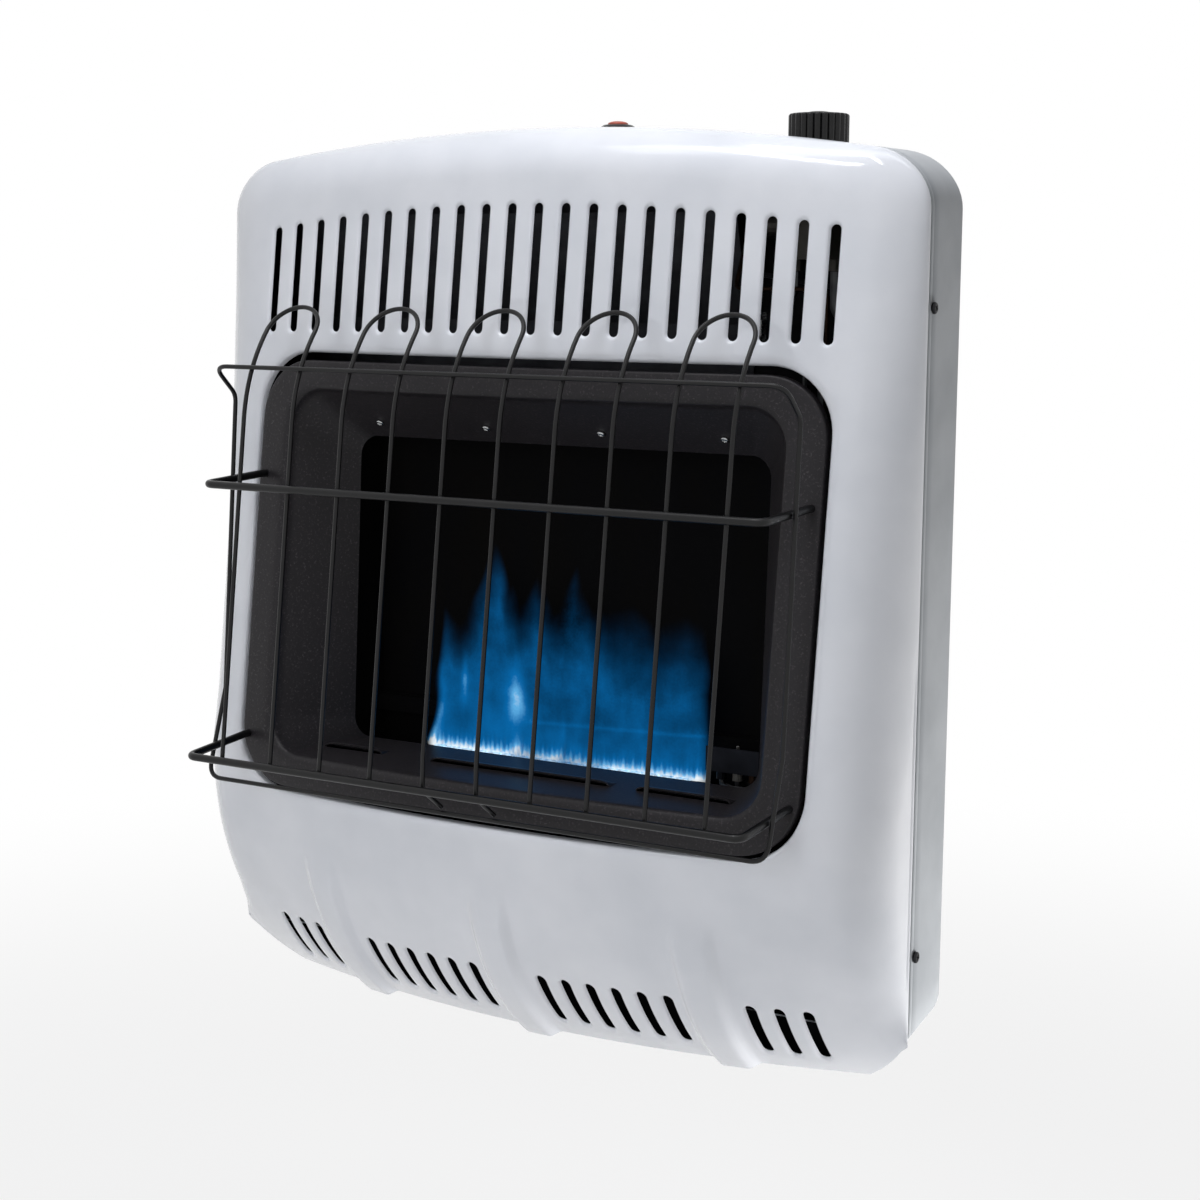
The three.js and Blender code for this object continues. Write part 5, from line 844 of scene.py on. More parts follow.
@dataclass(frozen=True)
class CabinetForm:
    """The cabinet's outer surface: a crown that arches, a bowed face that leans forward, and a chin swept back."""

    half_width: float = 262.0
    seam: float = 48.5
    crown: float = 131.0
    arch: float = 22.0
    span: float = 260.0
    crown_round: float = 30.0
    face: float = 93.3
    lean: float = 0.1237
    face_bow: float = 23.5
    chin_top: float = -297.0
    chin_radius: float = 184.5
    chin_bow: float = 20.6
    bow_from: float = -285.6
    bow_length: float = 113.8
    side_round: float = 36.0
    side_depth: float = 40.0
    edge_round: float = 3.0
    fade_from: float = -250.3
    fade_length: float = 189.0
    width_fade: float = 0.376
    depth_fade: float = 0.672
    foot_share: float = 0.795
    foot_arch: float = 1.9
    foot_corner: float = 34.0
    corner_flat: float = 0.75
    seam_roll: float = 1.3

    @property
    def chin_centre(self) -> Span:
        """Depth and height of the chin arc's centre."""
        angle = math.atan(self.lean)
        y = -self.face + self.lean * self.chin_top + self.chin_radius * math.cos(angle)
        return y, self.chin_top - self.chin_radius * math.sin(angle)

    @property
    def foot(self) -> float:
        """Height of the chin's lower edge in the middle."""
        return self.chin_centre[1] - self.chin_radius * self.foot_share

    def share(self, x: Array) -> Array:
        """How far out a point is, squared."""
        return (x / self.span) ** 2

    def foot_edge(self, x: Array) -> Array:
        """Height of the chin's lower edge, before the ribs lift it forward and down."""
        return self.foot + self.foot_arch * self.share(x)

    def foot_edge_at(self, x: float) -> float:
        """Height of the chin's lower edge at one place across."""
        return float(self.foot_edge(np.array(x)))

    def crown_z(self, x: Array) -> Array:
        """Height of the crown's outline."""
        return self.crown - self.arch * self.share(x)

    def crown_at(self, x: float) -> float:
        """Height of the crown's outline at one place across."""
        return float(self.crown_z(np.array(x)))

    def front_y(self, x: Array, z: Array) -> Array:
        """Depth of the front surface.

        Args:
            x: places across.
            z: heights.

        Returns:
            The depth at each place, before ribs, slots and side rounds.
        """
        cy, cz = self.chin_centre
        grown = self.chin_bow * np.clip((self.bow_from - z) / self.bow_length, 0, 1)
        bowed = (self.face_bow + grown) * self.share(x)
        flat = -self.face + self.lean * z
        drop = np.clip(cz - z, None, self.chin_radius)
        chin = cy - np.sqrt(np.maximum(self.chin_radius ** 2 - drop ** 2, 0))
        return np.where(z > self.chin_top, flat, chin) + bowed

    def front_at(self, x: float, z: float) -> float:
        """Depth of the front surface at one place."""
        return float(self.front_y(np.array(x), np.array(z)))

    def out_yz(self, z: Array) -> tuple[Array, Array]:
        """Depth and height parts of the outward direction at a height."""
        cz = self.chin_centre[1]
        angle = np.arcsin(np.clip((cz - z) / self.chin_radius, -math.sin(math.atan(self.lean)), 1))
        return -np.cos(angle), -np.sin(angle)

    def fade(self, z: Array) -> Array:
        """How far the side round has faded out at a height."""
        return np.clip((self.fade_from - z) / self.fade_length, 0, 1)

    def round_width(self, z: Array) -> Array:
        """Width of the side round at a height."""
        return self.edge_round + (self.side_round - self.edge_round) * (1 - self.fade(z)) ** self.width_fade

    def skin(self, p: Array, q: Array) -> Array:
        """Places on the cabinet of points of its unrolled front view.

        Args:
            p: places across, out to the full half width.
            q: heights, up to the crown's outline.

        Returns:
            An array of places.
        """
        width = self.round_width(q)
        inner = self.half_width - width
        t = np.clip((np.abs(p) - inner) / width, 0, 1)
        s = np.clip((q - (self.crown_z(p) - self.crown_round)) / self.crown_round, 0, 1)
        reach = np.maximum(t, s)
        even = np.minimum(t, s) / np.maximum(reach, 1e-9)
        spin = np.where(t >= s, even * QUARTER / 2, QUARTER - even * QUARTER / 2)
        turn = np.sin(reach * QUARTER)
        x = np.where(t > 0, np.sign(p) * (inner + width * np.cos(spin) * turn), p)
        z = np.where(s > 0, self.crown_z(x) - self.crown_round + self.crown_round * np.sin(spin) * turn, q)
        surface = self.front_y(x, z)
        depth = self.edge_round + (self.side_depth - self.edge_round) * (1 - self.fade(z)) ** self.depth_fade
        depth = np.maximum(np.minimum(depth, -self.seam - self.seam_roll - surface), 0)
        return np.stack([x, surface + depth * (1 - np.cos(reach * QUARTER)), z], axis=-1)

    def foot_corners(self, steps: int = 9) -> list[Span]:
        """The chin's lower right corner, up to the side: a round pressed towards its chord."""
        side = self.half_width - self.foot_corner
        low = self.foot_edge(side)
        points = []
        for t in np.linspace(0, 1, steps + 1):
            bent = np.array([math.sin(t * QUARTER), 1 - math.cos(t * QUARTER)])
            spot = bent + (t - bent) * self.corner_flat
            points.append((side + self.foot_corner * spot[0], low + self.foot_corner * spot[1]))
        return points


FORM = CabinetForm()


# Sub-assemblies


@dataclass
class FrontCabinet:
    """The pressed front: crown, bowed face with air slots, opening with a rolled rim, chin with ribs and slots."""

    grid: float = 6.0
    grid_rows: float = 0.75
    grid_half: float = 228.0
    grid_span: Span = (-462.0, 100.0)
    fine: float = 2.2
    fine_rows: float = 4.0
    fine_foot: float = -466.0
    round_rows: int = 9
    round_half: float = 226.0
    round_columns: int = 77
    side_span: Span = (-455.0, 84.0)
    side_step: float = 5.5
    slot_clear: float = 4.4
    rim_clear: float = 8.6
    foot_points: int = 81
    rib_points: int = 17
    side_points: int = 92
    crown_points: int = 97
    closest: float = 0.8
    sheet: float = 1.2
    opening: Sizes = (215.8, -15.0, -312.2, 42.0)
    opening_steps: tuple[int, int, int] = (84, 44, 14)
    upper_count: int = 22
    upper_pitch: float = 20.0
    upper_width: float = 6.2
    upper_top: float = 82.6
    upper_drop: float = 21.5
    upper_foot_drop: float = 3.5
    lower_width: float = 6.5
    lower_span: Span = (-453.5, -414.5)
    lower_pitch: float = 17.93
    lower_inner: float = 26.85
    lower_outer: float = 170.2
    slot_step: float = 3.4
    rib_centres: tuple[float, ...] = (-143.35, 0.0, 143.35)
    rib_half: float = 17.0
    rib_height: float = 5.0
    rib_top: float = -347.0
    rib_rise: float = 38.0
    rib_flank: float = 0.5
    slot_draw: tuple[Span, ...] = ((0.0, 1.9), (0.5, 0.95), (1.2, 0.35), (2.0, 0.1), (3.2, 0.0))
    rim_draw: tuple[Span, ...] = ((0.0, 6.0), (0.5, 3.2), (1.3, 1.6), (2.6, 0.6), (4.2, 0.15), (6.5, 0.0))
    side_rows: tuple[Place, ...] = (
        (0.34, -4.6, 0.0), (0.67, -4.6, 0.0), (1.0, -4.6, 0.0), (1.0, -4.2, 0.35), (1.0, -3.6, 0.9), (1.0, -2.8, 0.9),
        (1.0, -1.6, 0.15), (1.0, -1.2, 0.0), (1.0, 0.0, 0.0), (1.0, 0.55, 0.12), (1.0, 0.9, 0.45), (1.0, 1.0, 0.9),
    )
    inset_fade: float = 5.0
    stadiums: list[Sizes] = field(default_factory=list)

    def slots(self) -> list[Sizes]:
        """Every air slot.

        Returns:
            (place across, foot, top, width) of each slot.
        """
        slots = []
        for i in range(self.upper_count):
            x = (i - (self.upper_count - 1) / 2) * self.upper_pitch
            share = FORM.share(x)
            slots.append((x, -self.upper_foot_drop * share, self.upper_top - self.upper_drop * share, self.upper_width))
        for start, count in ((self.lower_inner, 6), (self.lower_outer, 3)):
            for x in (start + self.lower_pitch * k for k in range(count)):
                slots += [(side * x, *self.lower_span, self.lower_width) for side in (-1, 1)]
        return slots

    def slot_distance(self, x: Array, z: Array) -> Array:
        """Distance from each point to the nearest slot's edge."""
        best = np.full(np.shape(x), 1e3)
        for cx, low, high, width in self.stadiums:
            near = np.clip(z, low + width / 2, high - width / 2)
            best = np.minimum(best, np.hypot(x - cx, z - near) - width / 2)
        return best

    def opening_distance(self, x: Array, z: Array) -> Array:
        """Distance from each point to the firebox opening's edge."""
        half, top, foot, radius = self.opening
        dx = np.abs(x) - (half - radius)
        dz = np.abs(z - (top + foot) / 2) - ((top - foot) / 2 - radius)
        return np.hypot(np.maximum(dx, 0), np.maximum(dz, 0)) + np.minimum(np.maximum(dx, dz), 0) - radius

    def rib_lift(self, x: Array, z: Array) -> Array:
        """How far the pressed ribs stand out at each point."""
        rise = smooth_step(np.clip((self.rib_top - z) / self.rib_rise, 0, 1))
        lobe = np.zeros(np.shape(x))
        for centre in self.rib_centres:
            share = np.clip((1 - np.abs(x - centre) / self.rib_half) / self.rib_flank, 0, 1)
            lobe = np.maximum(lobe, smooth_step(share))
        return self.rib_height * rise * lobe

    def place(self, flat: Array) -> Array:
        """Places of unrolled points with ribs, drawn-in slots and the opening's rolled rim."""
        x, z = flat[:, 0], flat[:, 1]
        points = FORM.skin(x, z)
        draw = np.interp(self.slot_distance(x, z), *zip(*self.slot_draw))
        rim = np.interp(self.opening_distance(x, z), *zip(*self.rim_draw))
        lift = self.rib_lift(x, z) - draw - rim
        out_y, out_z = FORM.out_yz(z)
        points[:, 1] += out_y * lift
        points[:, 2] += out_z * lift
        return points

    def boundary(self) -> tuple[list[Span], int, int]:
        """The unrolled front's outline, anticlockwise.

        Returns:
            Its points, and the numbers of the first and last point of the part that has a side wall.
        """
        half, corner = FORM.half_width, FORM.foot_corners()
        side = half - FORM.foot_corner
        low, top = corner[-1][1], FORM.crown_at(half)
        ribs = [c + self.rib_half * np.linspace(-1, 1, self.rib_points) for c in self.rib_centres]
        xs = np.unique(np.concatenate([np.linspace(-side, side, self.foot_points), *ribs]))
        xs = xs[np.concatenate([[True], np.diff(xs) > self.closest])]
        loop = [(x, FORM.foot_edge_at(x)) for x in xs] + corner[1:]
        first = len(loop) - 1
        loop += [(half, z) for z in np.linspace(low, top, self.side_points)[1:]]
        loop += [(x, FORM.crown_at(x)) for x in np.linspace(half, -half, self.crown_points)[1:]]
        loop += [(-half, z) for z in np.linspace(top, low, self.side_points)[1:]]
        last = len(loop) - 1
        loop += [(-x, z) for x, z in corner[-2:0:-1]]
        return loop, first, last

    def slot_loop(self, slot: Sizes, grow: float) -> list[Span]:
        """The outline of one slot, grown by a margin, anticlockwise."""
        x, foot, top, width = slot
        low, high, r = foot + width / 2, top - width / 2, width / 2 + grow
        straight = np.linspace(low, high, max(4, int((top - foot) / self.slot_step)))
        ends = np.linspace(0, math.pi, 9)[1:-1]
        points = [(x + r, z) for z in straight]
        points += [(x + r * math.cos(t), high + r * math.sin(t)) for t in ends]
        points += [(x - r, z) for z in straight[::-1]]
        return points + [(x - r * math.cos(t), low - r * math.sin(t)) for t in ends]

    @staticmethod
    def lattice(xs: Array, zs: Array) -> Array:
        """Flat points at every crossing of rows and columns."""
        across, up = np.meshgrid(xs, zs)
        return np.stack([across.ravel(), up.ravel()], -1)

    def middle_points(self) -> Array:
        """Points of the face and the chin inside the rounds, closer together on the ribs."""
        half, (low, high) = self.grid_half, self.grid_span
        base = self.lattice(np.arange(-half, half + 0.1, self.grid), np.arange(low, high, self.grid * self.grid_rows))
        reach, rows = self.rib_half + 1, np.arange(self.fine_foot, self.rib_top + 4, self.fine_rows)
        ribs = [self.lattice(c + np.arange(-reach, reach + 0.1, self.fine), rows) for c in self.rib_centres]
        near = np.min([np.abs(base[:, 0] - c) for c in self.rib_centres], axis=0) < self.rib_half + 3
        flat = np.concatenate([base[~(near & (base[:, 1] < self.rib_top + 6))], *ribs])
        inside = np.abs(flat[:, 0]) < FORM.half_width - FORM.round_width(flat[:, 1]) - 2.0
        inside &= flat[:, 1] < FORM.crown_z(flat[:, 0]) - FORM.crown_round - 2.5
        return flat[inside]

    def scatter(self) -> Array:
        """Points that fill the unrolled front, in rows and columns, closer on ribs and rounds.

        Returns:
            An array of flat points, clear of every edge loop.
        """
        sets = [self.middle_points()]
        xs = np.linspace(-self.round_half, self.round_half, self.round_columns)
        shares = np.linspace(0, 1, self.round_rows, endpoint=False)
        for s in shares:
            sets.append(np.stack([xs, FORM.crown_z(xs) - FORM.crown_round * (1 - s)], -1))
        levels = np.arange(*self.side_span, self.side_step)
        width = FORM.round_width(levels)
        for side in (-1, 1):
            for t in shares:
                sets.append(np.stack([side * (FORM.half_width - width * (1 - t)), levels], -1))
            for t in shares[1:]:
                x = side * (FORM.half_width - FORM.side_round * (1 - t))
                sets.append(np.array([(x, FORM.crown_at(x) - FORM.crown_round * (1 - s)) for s in shares]))
        flat = np.concatenate(sets)
        x, z = flat[:, 0], flat[:, 1]
        corner = np.array(FORM.foot_corners())
        edge = np.maximum(FORM.foot_edge(x), np.interp(np.abs(x), corner[:, 0], corner[:, 1], left=-1e3))
        keep = (z > edge + 2.0) & (np.abs(x) < FORM.half_width - 0.2)
        keep &= self.slot_distance(x, z) > self.slot_clear
        keep &= self.opening_distance(x, z) > self.rim_clear
        return flat[keep]

    def side_wall(self, points: Array, rail: list[int]) -> tuple[Array, list[list[int]]]:
        """Adds the rows of the side wall, with the groove rolled in before the seam.

        Args:
            points: the front's points.
            rail: numbers of the points along its outer edge.

        Returns:
            All points, and the wall's faces.
        """
        edge = points[rail]
        tangent = np.gradient(edge[:, [0, 2]], axis=0)
        inward = np.stack([-tangent[:, 1], tangent[:, 0]], -1)
        inward /= np.maximum(np.linalg.norm(inward, axis=1, keepdims=True), 1e-9)
        rows, total, count = [rail], [points], len(points)
        for share, past_seam, inset in self.side_rows:
            behind = -FORM.seam - FORM.seam_roll + past_seam - edge[:, 1]
            row = edge.copy()
            row[:, 1] = np.maximum(edge[:, 1], edge[:, 1] + behind * share)
            row[:, [0, 2]] += inward * (inset * np.clip(behind / self.inset_fade, 0, 1))[:, None]
            rows.append(list(range(count, count + len(row))))
            total.append(row)
            count += len(row)
        pairs = [(one, two, i) for one, two in zip(rows, rows[1:]) for i in range(len(one) - 1)]
        return np.concatenate(total), [[one[i], two[i], two[i + 1], one[i + 1]] for one, two, i in pairs]

    def build(self) -> Piece:
        """Plans the front flat, lays it on the cabinet's surface, adds the side wall and the sheet's thickness.

        Returns:
            The finished front.
        """
        self.stadiums = self.slots()
        flat, first, last = self.boundary()
        faces = [list(range(len(flat)))]

        def add_loop(points: Sequence[Sequence[float]], edge: bool) -> None:
            """Adds one loop's points, and the hole inside it if it is an edge."""
            start = len(flat)
            flat.extend((float(a), float(b)) for a, b in points)
            if edge:
                faces.append(list(range(start, len(flat))))

        half, top, foot, radius = self.opening
        for grow, _ in self.rim_draw:
            rim = rounded_loop(half + grow, top + grow, foot - grow, radius + grow, *self.opening_steps)
            add_loop(rim, grow == 0.0)
        for slot in self.stadiums:
            for grow, _ in self.slot_draw:
                add_loop(self.slot_loop(slot, grow), grow == 0.0)
        flat.extend(map(tuple, self.scatter().tolist()))
        made = delaunay_2d_cdt([Vector(p) for p in flat], [], faces, 0, 1e-5, True)
        verts, _, tris, origins, _, sources = made
        kept = [tri for tri, source in zip(tris, sources) if list(source) == [0]]
        where = {given: out for out, given_list in enumerate(origins) for given in given_list}
        points = self.place(np.array([tuple(v) for v in verts]))
        points, sides = self.side_wall(points, [where[i] for i in range(first, last + 1)])
        piece = new_piece("front_cabinet_shell", points, kept + sides, WHITE_COAT)
        with edited(piece) as clean:
            bmesh.ops.remove_doubles(clean, verts=clean.verts, dist=WELD * 2)
            bmesh.ops.delete(clean, geom=[v for v in clean.verts if not v.link_faces], context="VERTS")
        # The inner faces take the dark grey that paints the shade inside the cabinet.
        settle(wall(piece, self.sheet, PAINTED_SHADE_INNER), 40.0)
        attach(piece, "cabinet")
        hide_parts("front_cabinet")
        return piece


@dataclass
class ChinTray:
    """The sheet that turns back from the chin's lower edge and closes it below the housing, coloured dark grey as
    painted shade.
    """

    half: float = 257.0
    margin: float = 3.0
    tuck: float = 8.0
    tuck_fade: float = 16.0
    behind_front: float = 2.0
    rear: float = -26.0
    top: float = -433.5
    turn: float = 6.0
    sheet: float = 0.8
    columns: int = 97

    def build(self) -> Piece:
        """Lofts the tray from the chin's edge back and up.

        Returns:
            The finished tray.
        """
        corner = np.array(FORM.foot_corners())
        start = self.rear - self.turn
        rings = []
        for x in np.linspace(-self.half, self.half, self.columns):
            low = float(np.interp(abs(x), corner[:, 0], corner[:, 1], left=FORM.foot_edge_at(x)))
            tucked = (abs(x) - corner[0, 0] + self.tuck_fade) / self.tuck_fade
            low += self.margin + self.tuck * min(max(tucked, 0.0), 1.0)
            front = min(FORM.front_at(x, low) + self.behind_front, start - 1.0)
            ring = [(x, y, low) for y in np.linspace(front, start, 5)]
            for t in np.linspace(0, QUARTER, 6)[1:]:
                ring.append((x, start + self.turn * math.sin(t), low + self.turn * (1 - math.cos(t))))
            ring.append((x, self.rear, max(self.top, low + self.turn + 1.0)))
            rings.append(ring)
        faces = [face[::-1] for face in loft(rings, closed=False)]
        # The tray's dark grey is painted shade under the cabinet.
        piece = new_piece("chin_tray", np.concatenate(rings), faces, PAINTED_SHADE_INNER)
        settle(wall(piece, self.sheet), 40.0)
        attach(piece, "cabinet")
        return piece


@dataclass
class RearHousing:
    """The pan behind the seam: a flat sided shell with a pressed edge at the seam and a recessed back."""

    foot: float = -430.9
    foot_rise: float = 8.5
    rear_corner: float = 11.0
    foot_corner: float = 3.0
    sheet: float = 1.2
    recess: float = 5.0
    foot_points: int = 41
    side_points: int = 31
    crown_points: int = 57
    knob: Place = (177.0, -26.0, 19.6)
    igniter: Place = (34.5, -26.0, 8.8)
    inlet: Place = (205.0, -34.0, 10.6)
    hooks: Sizes = (120.0, 13.6, -10.0, 14.8)
    seam_rows: tuple[Span, ...] = (
        (-48.2, 1.3), (-47.9, 0.7), (-47.3, 0.25), (-46.4, 0.0),
        (-44.6, 0.0), (-43.9, 0.35), (-43.2, 0.35), (-42.5, 0.0),
    )
    depths: tuple[float, ...] = (-36.0, -28.0, -20.0, -14.0, -8.0, -6.0, -4.0, -2.5, -1.2, -0.5)
    inner_depths: tuple[float, ...] = (-8.0, -20.0, -36.0, -46.0)

    def foot_at(self, y: float) -> float:
        """Height of the pan's foot at a depth."""
        rear = self.foot + self.foot_rise
        if y > -self.rear_corner:
            return rear + self.rear_corner - math.sqrt(max(self.rear_corner ** 2 - (y + self.rear_corner) ** 2, 0))
        return self.foot + self.foot_rise * (y + FORM.seam) / (FORM.seam - self.rear_corner)

    def ring(self, y: float, inset: float, foot: Optional[float] = None) -> Array:
        """The pan's outline at one depth, anticlockwise as seen from the front.

        Args:
            y: its depth.
            inset: how far inside the outer skin it lies.
            foot: its foot's height, if that isn't the pan's own.

        Returns:
            An array of places, the same count at every depth.
        """
        low = (self.foot_at(y) + inset) if foot is None else foot
        half, high, small = FORM.half_width - inset, FORM.crown_round - inset, self.foot_corner
        wide = FORM.side_round - inset
        side = half - wide
        shoulder = FORM.crown_at(half) - inset - high
        quarter = np.linspace(0, QUARTER, 13)

        def shoulder_point(t: float) -> Span:
            """A point of the right upper corner, which bends as the front's does."""
            x = side + wide * math.cos(t)
            return x, FORM.crown_at(x) - inset - high + high * math.sin(t)

        points = [(x, low) for x in np.linspace(-half + small, half - small, self.foot_points)]
        points += [(half - small + small * math.sin(t), low + small - small * math.cos(t)) for t in quarter[1::3]]
        points += [(half, z) for z in np.linspace(low + small, shoulder, self.side_points)[1:]]
        points += [shoulder_point(t) for t in quarter[1:]]
        points += [(x, FORM.crown_at(x) - inset) for x in np.linspace(side, -side, self.crown_points)[1:-1]]
        points += [(-x, z) for x, z in map(shoulder_point, quarter[::-1])]
        points += [(-half, z) for z in np.linspace(shoulder, low + small, self.side_points)[1:]]
        turns = quarter[1::3][:-1]
        points += [(-half + small - small * math.cos(t), low + small - small * math.sin(t)) for t in turns]
        return np.array([(x, y, z) for x, z in points])

    def holes(self) -> list[Piece]:
        """Tools for the holes of knob, igniter and inlet and for the two hook slots."""
        x, half, low, high = self.hooks
        round_holes = (
            ("knob_hole", self.knob, 0.0, 200.0), ("igniter_hole", self.igniter, 0.0, 200.0),
            ("inlet_hole", self.inlet, self.foot - 20.0, self.foot + 20.0),
        )
        tools = [pin_tool(name, hole[:2], hole[2], start, end) for name, hole, start, end in round_holes]
        for name, side in (("left", -1), ("right", 1)):
            near, far = (side * x - half, -9.0, low), (side * x + half, 1.0, high)
            tools.append(block_tool(f"hook_slot_{name}", near, far))
        return tools

    def build(self) -> Piece:
        """Lofts the outer and the inner skin, caps the back and cuts the holes.

        Returns:
            The finished pan.
        """
        outer = [*self.seam_rows, *((y, 0.0) for y in self.depths), (0.0, 0.5)]
        inner = [(-self.recess - self.sheet, self.sheet + 0.6), *((y, self.sheet) for y in self.inner_depths)]
        inner.append((-48.0, self.sheet + 0.5))
        low = self.foot_at(-0.01)
        rings = [self.ring(y, inset) for y, inset in outer]
        rings += [self.ring(y, inset, low + inset) for y, inset in ((0.0, 0.9), (-0.4, 1.2), (-self.recess, 1.4))]
        inside = [self.ring(y, inset) for y, inset in inner]
        count = len(rings[0])
        start = len(rings) * count
        end = start + (len(inside) - 1) * count
        faces = loft(rings) + loft(inside, first=start)
        faces.append(list(range(start - count, start)))
        faces.append(list(range(start, start + count))[::-1])
        faces += [[end + i, end + (i + 1) % count, (i + 1) % count, i] for i in range(count)]
        # The pan's coat is the front's white, set darker as painted shade on its sides.
        piece = new_piece("rear_housing_pan", np.concatenate(rings + inside), faces, SHADED_HOUSING_COAT)
        face_outwards(piece)
        # Faces of the inner skin take the dark grey that paints the shade inside the housing.
        piece.data.materials.append(PAINTED_SHADE_INNER.material())
        for polygon in piece.data.polygons:
            polygon.material_index = int(min(polygon.vertices) >= start and len(polygon.vertices) <= count)
        cut_by(piece, self.holes())
        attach(piece, "cabinet")
        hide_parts("rear_housing")
        return piece


@dataclass
class FireboxSurround:
    """The charcoal frame in the opening: bowed flange, rounded fold, tapered walls and a louvred floor."""

    outer: Sizes = (213.6, -21.0, -310.0, 39.8)
    recess: float = 1.4
    lip: float = 7.0
    lip_round: float = 1.6
    flange: Place = (21.5, 15.0, 18.0)
    fold_corner: float = 30.0
    fold_round: float = 5.0
    throat: Sizes = (158.6, -73.3, -283.0, 14.0)
    throat_depths: Span = (44.4, 55.4)
    sheet: float = 1.2
    vent_depth: float = 86.0
    vent_width: float = 8.0
    vent_cut: Span = (-310.0, -270.0)
    vents: tuple[Span, ...] = ((-157.0, -109.4), (-68.2, 69.8), (90.4, 157.0))
    hood_rise: float = 3.4
    hood_end: float = 9.0
    hood_lap: float = 0.6
    hood_mouth: float = 0.8
    hood_lift: float = 0.15
    hood_sheet: float = 0.9
    steps: tuple[int, int, int] = (48, 26, 14)

    def on_face(self, loop: Array, lift: float) -> Array:
        """Lays a loop on the cabinet's bowed face, set back by the recess and a lift."""
        z = np.maximum(loop[:, 1], FrontCabinet.opening[2])
        return np.stack([loop[:, 0], FORM.front_y(loop[:, 0], z) + self.recess + lift, loop[:, 1]], -1)

    def throat_ring(self) -> Array:
        """The throat's edge, where the chamber begins."""
        half, top, foot, radius = self.throat
        loop = rounded_loop(half, top, foot, radius, *self.steps)
        share = np.clip((top - loop[:, 1]) / (top - foot), 0, 1)
        depth = self.throat_depths[0] + (self.throat_depths[1] - self.throat_depths[0]) * share
        return np.stack([loop[:, 0], -depth, loop[:, 1]], -1)

    def rings(self) -> list[Array]:
        """Rings from the lip's back edge over the flange and the fold to the throat."""
        half, top, foot, radius = self.outer
        side, above, below = self.flange
        quarter = np.linspace(0, QUARTER, 6)

        def edge(shrink: float, lift: float) -> Array:
            """A ring near the flange's outer edge."""
            loop = rounded_loop(half - shrink, top - shrink, foot + shrink, radius - shrink, *self.steps)
            return self.on_face(loop, lift)

        def fold(grow: float, lift: float) -> Array:
            """A ring near the fold."""
            sizes = half - side + grow, top - above + grow, foot + below - grow, self.fold_corner + grow
            return self.on_face(rounded_loop(*sizes, *self.steps), lift)

        rings = [edge(0, self.lip)]
        rings += [edge(self.lip_round * (1 - math.cos(t)), self.lip_round * (1 - math.sin(t))) for t in quarter]
        rings += [edge(self.lip_round + 3.0, 0.0), edge(self.lip_round + 8.0, 0.0), fold(4.0, 0.0)]
        rings += [fold(-self.fold_round * math.sin(t), self.fold_round * (1 - math.cos(t))) for t in quarter]
        start, end = rings[-1], self.throat_ring()
        return rings + [start + (end - start) * share for share in np.linspace(0, 1, 12)[1:]]

    def floor_z(self, y: float) -> float:
        """Height of the floor at a depth, in the middle."""
        start = self.outer[2] + self.flange[2] + self.fold_round
        from_y = FORM.front_at(0.0, start) + self.recess + self.fold_round
        share = (y - from_y) / (-self.throat_depths[1] - from_y)
        return start + (self.throat[2] - start) * share

    def hood(self, left: float, right: float) -> tuple[Array, list[list[int]]]:
        """A low hood pressed up over a floor vent, open to the front.

        Args:
            left: the vent's left end.
            right: its right end.

        Returns:
            The hood's points and faces.
        """
        back = -self.vent_depth + self.vent_width / 2 + self.hood_lap
        front = -self.vent_depth - self.vent_width / 2 - self.hood_mouth
        middle, half = (left + right) / 2, (right - left) / 2 + self.hood_lap
        shares = np.linspace(0, 1, 9)
        rings = []
        for x in middle + half * np.sin(np.linspace(-QUARTER, QUARTER, 28)):
            end = max(0.0, (abs(x - middle) - half + self.hood_end) / self.hood_end)
            rise = self.hood_rise * math.sqrt(max(0.0, 1 - end ** 2))
            ring = []
            for share in shares:
                y = back + (front - back) * share
                ring.append((x, y, self.floor_z(y) + self.hood_lift + rise * math.sin(share * QUARTER)))
            rings.append(ring)
        return np.concatenate(rings), loft(rings, closed=False)

    def build(self) -> list[Piece]:
        """Makes the frame with its floor vents and the hoods over them.

        Returns:
            The frame and the hoods.
        """
        rings = self.rings()
        frame = new_piece("firebox_surround_frame", np.concatenate(rings), loft(rings), CHARCOAL)
        settle(wall(frame, self.sheet))
        front, back = -self.vent_depth - self.vent_width / 2, -self.vent_depth + self.vent_width / 2
        low, high = self.vent_cut
        ends = list(enumerate(self.vents))
        cut_by(frame, [block_tool(f"vent_{i}", (left, front, low), (right, back, high)) for i, (left, right) in ends])
        hoods = []
        for i, (left, right) in ends:
            hood = new_piece(f"floor_vent_hood_{i + 1}", *self.hood(left, right), CHARCOAL)
            face_outwards(hood)
            with edited(hood) as mesh:
                if sum(face.normal.z for face in mesh.faces) < 0:
                    bmesh.ops.reverse_faces(mesh, faces=mesh.faces)
            settle(wall(hood, self.hood_sheet))
            hoods.append(hood)
        for piece in (frame, *hoods):
            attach(piece, "cabinet")
        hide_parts("firebox_surround")
        return [frame, *hoods]


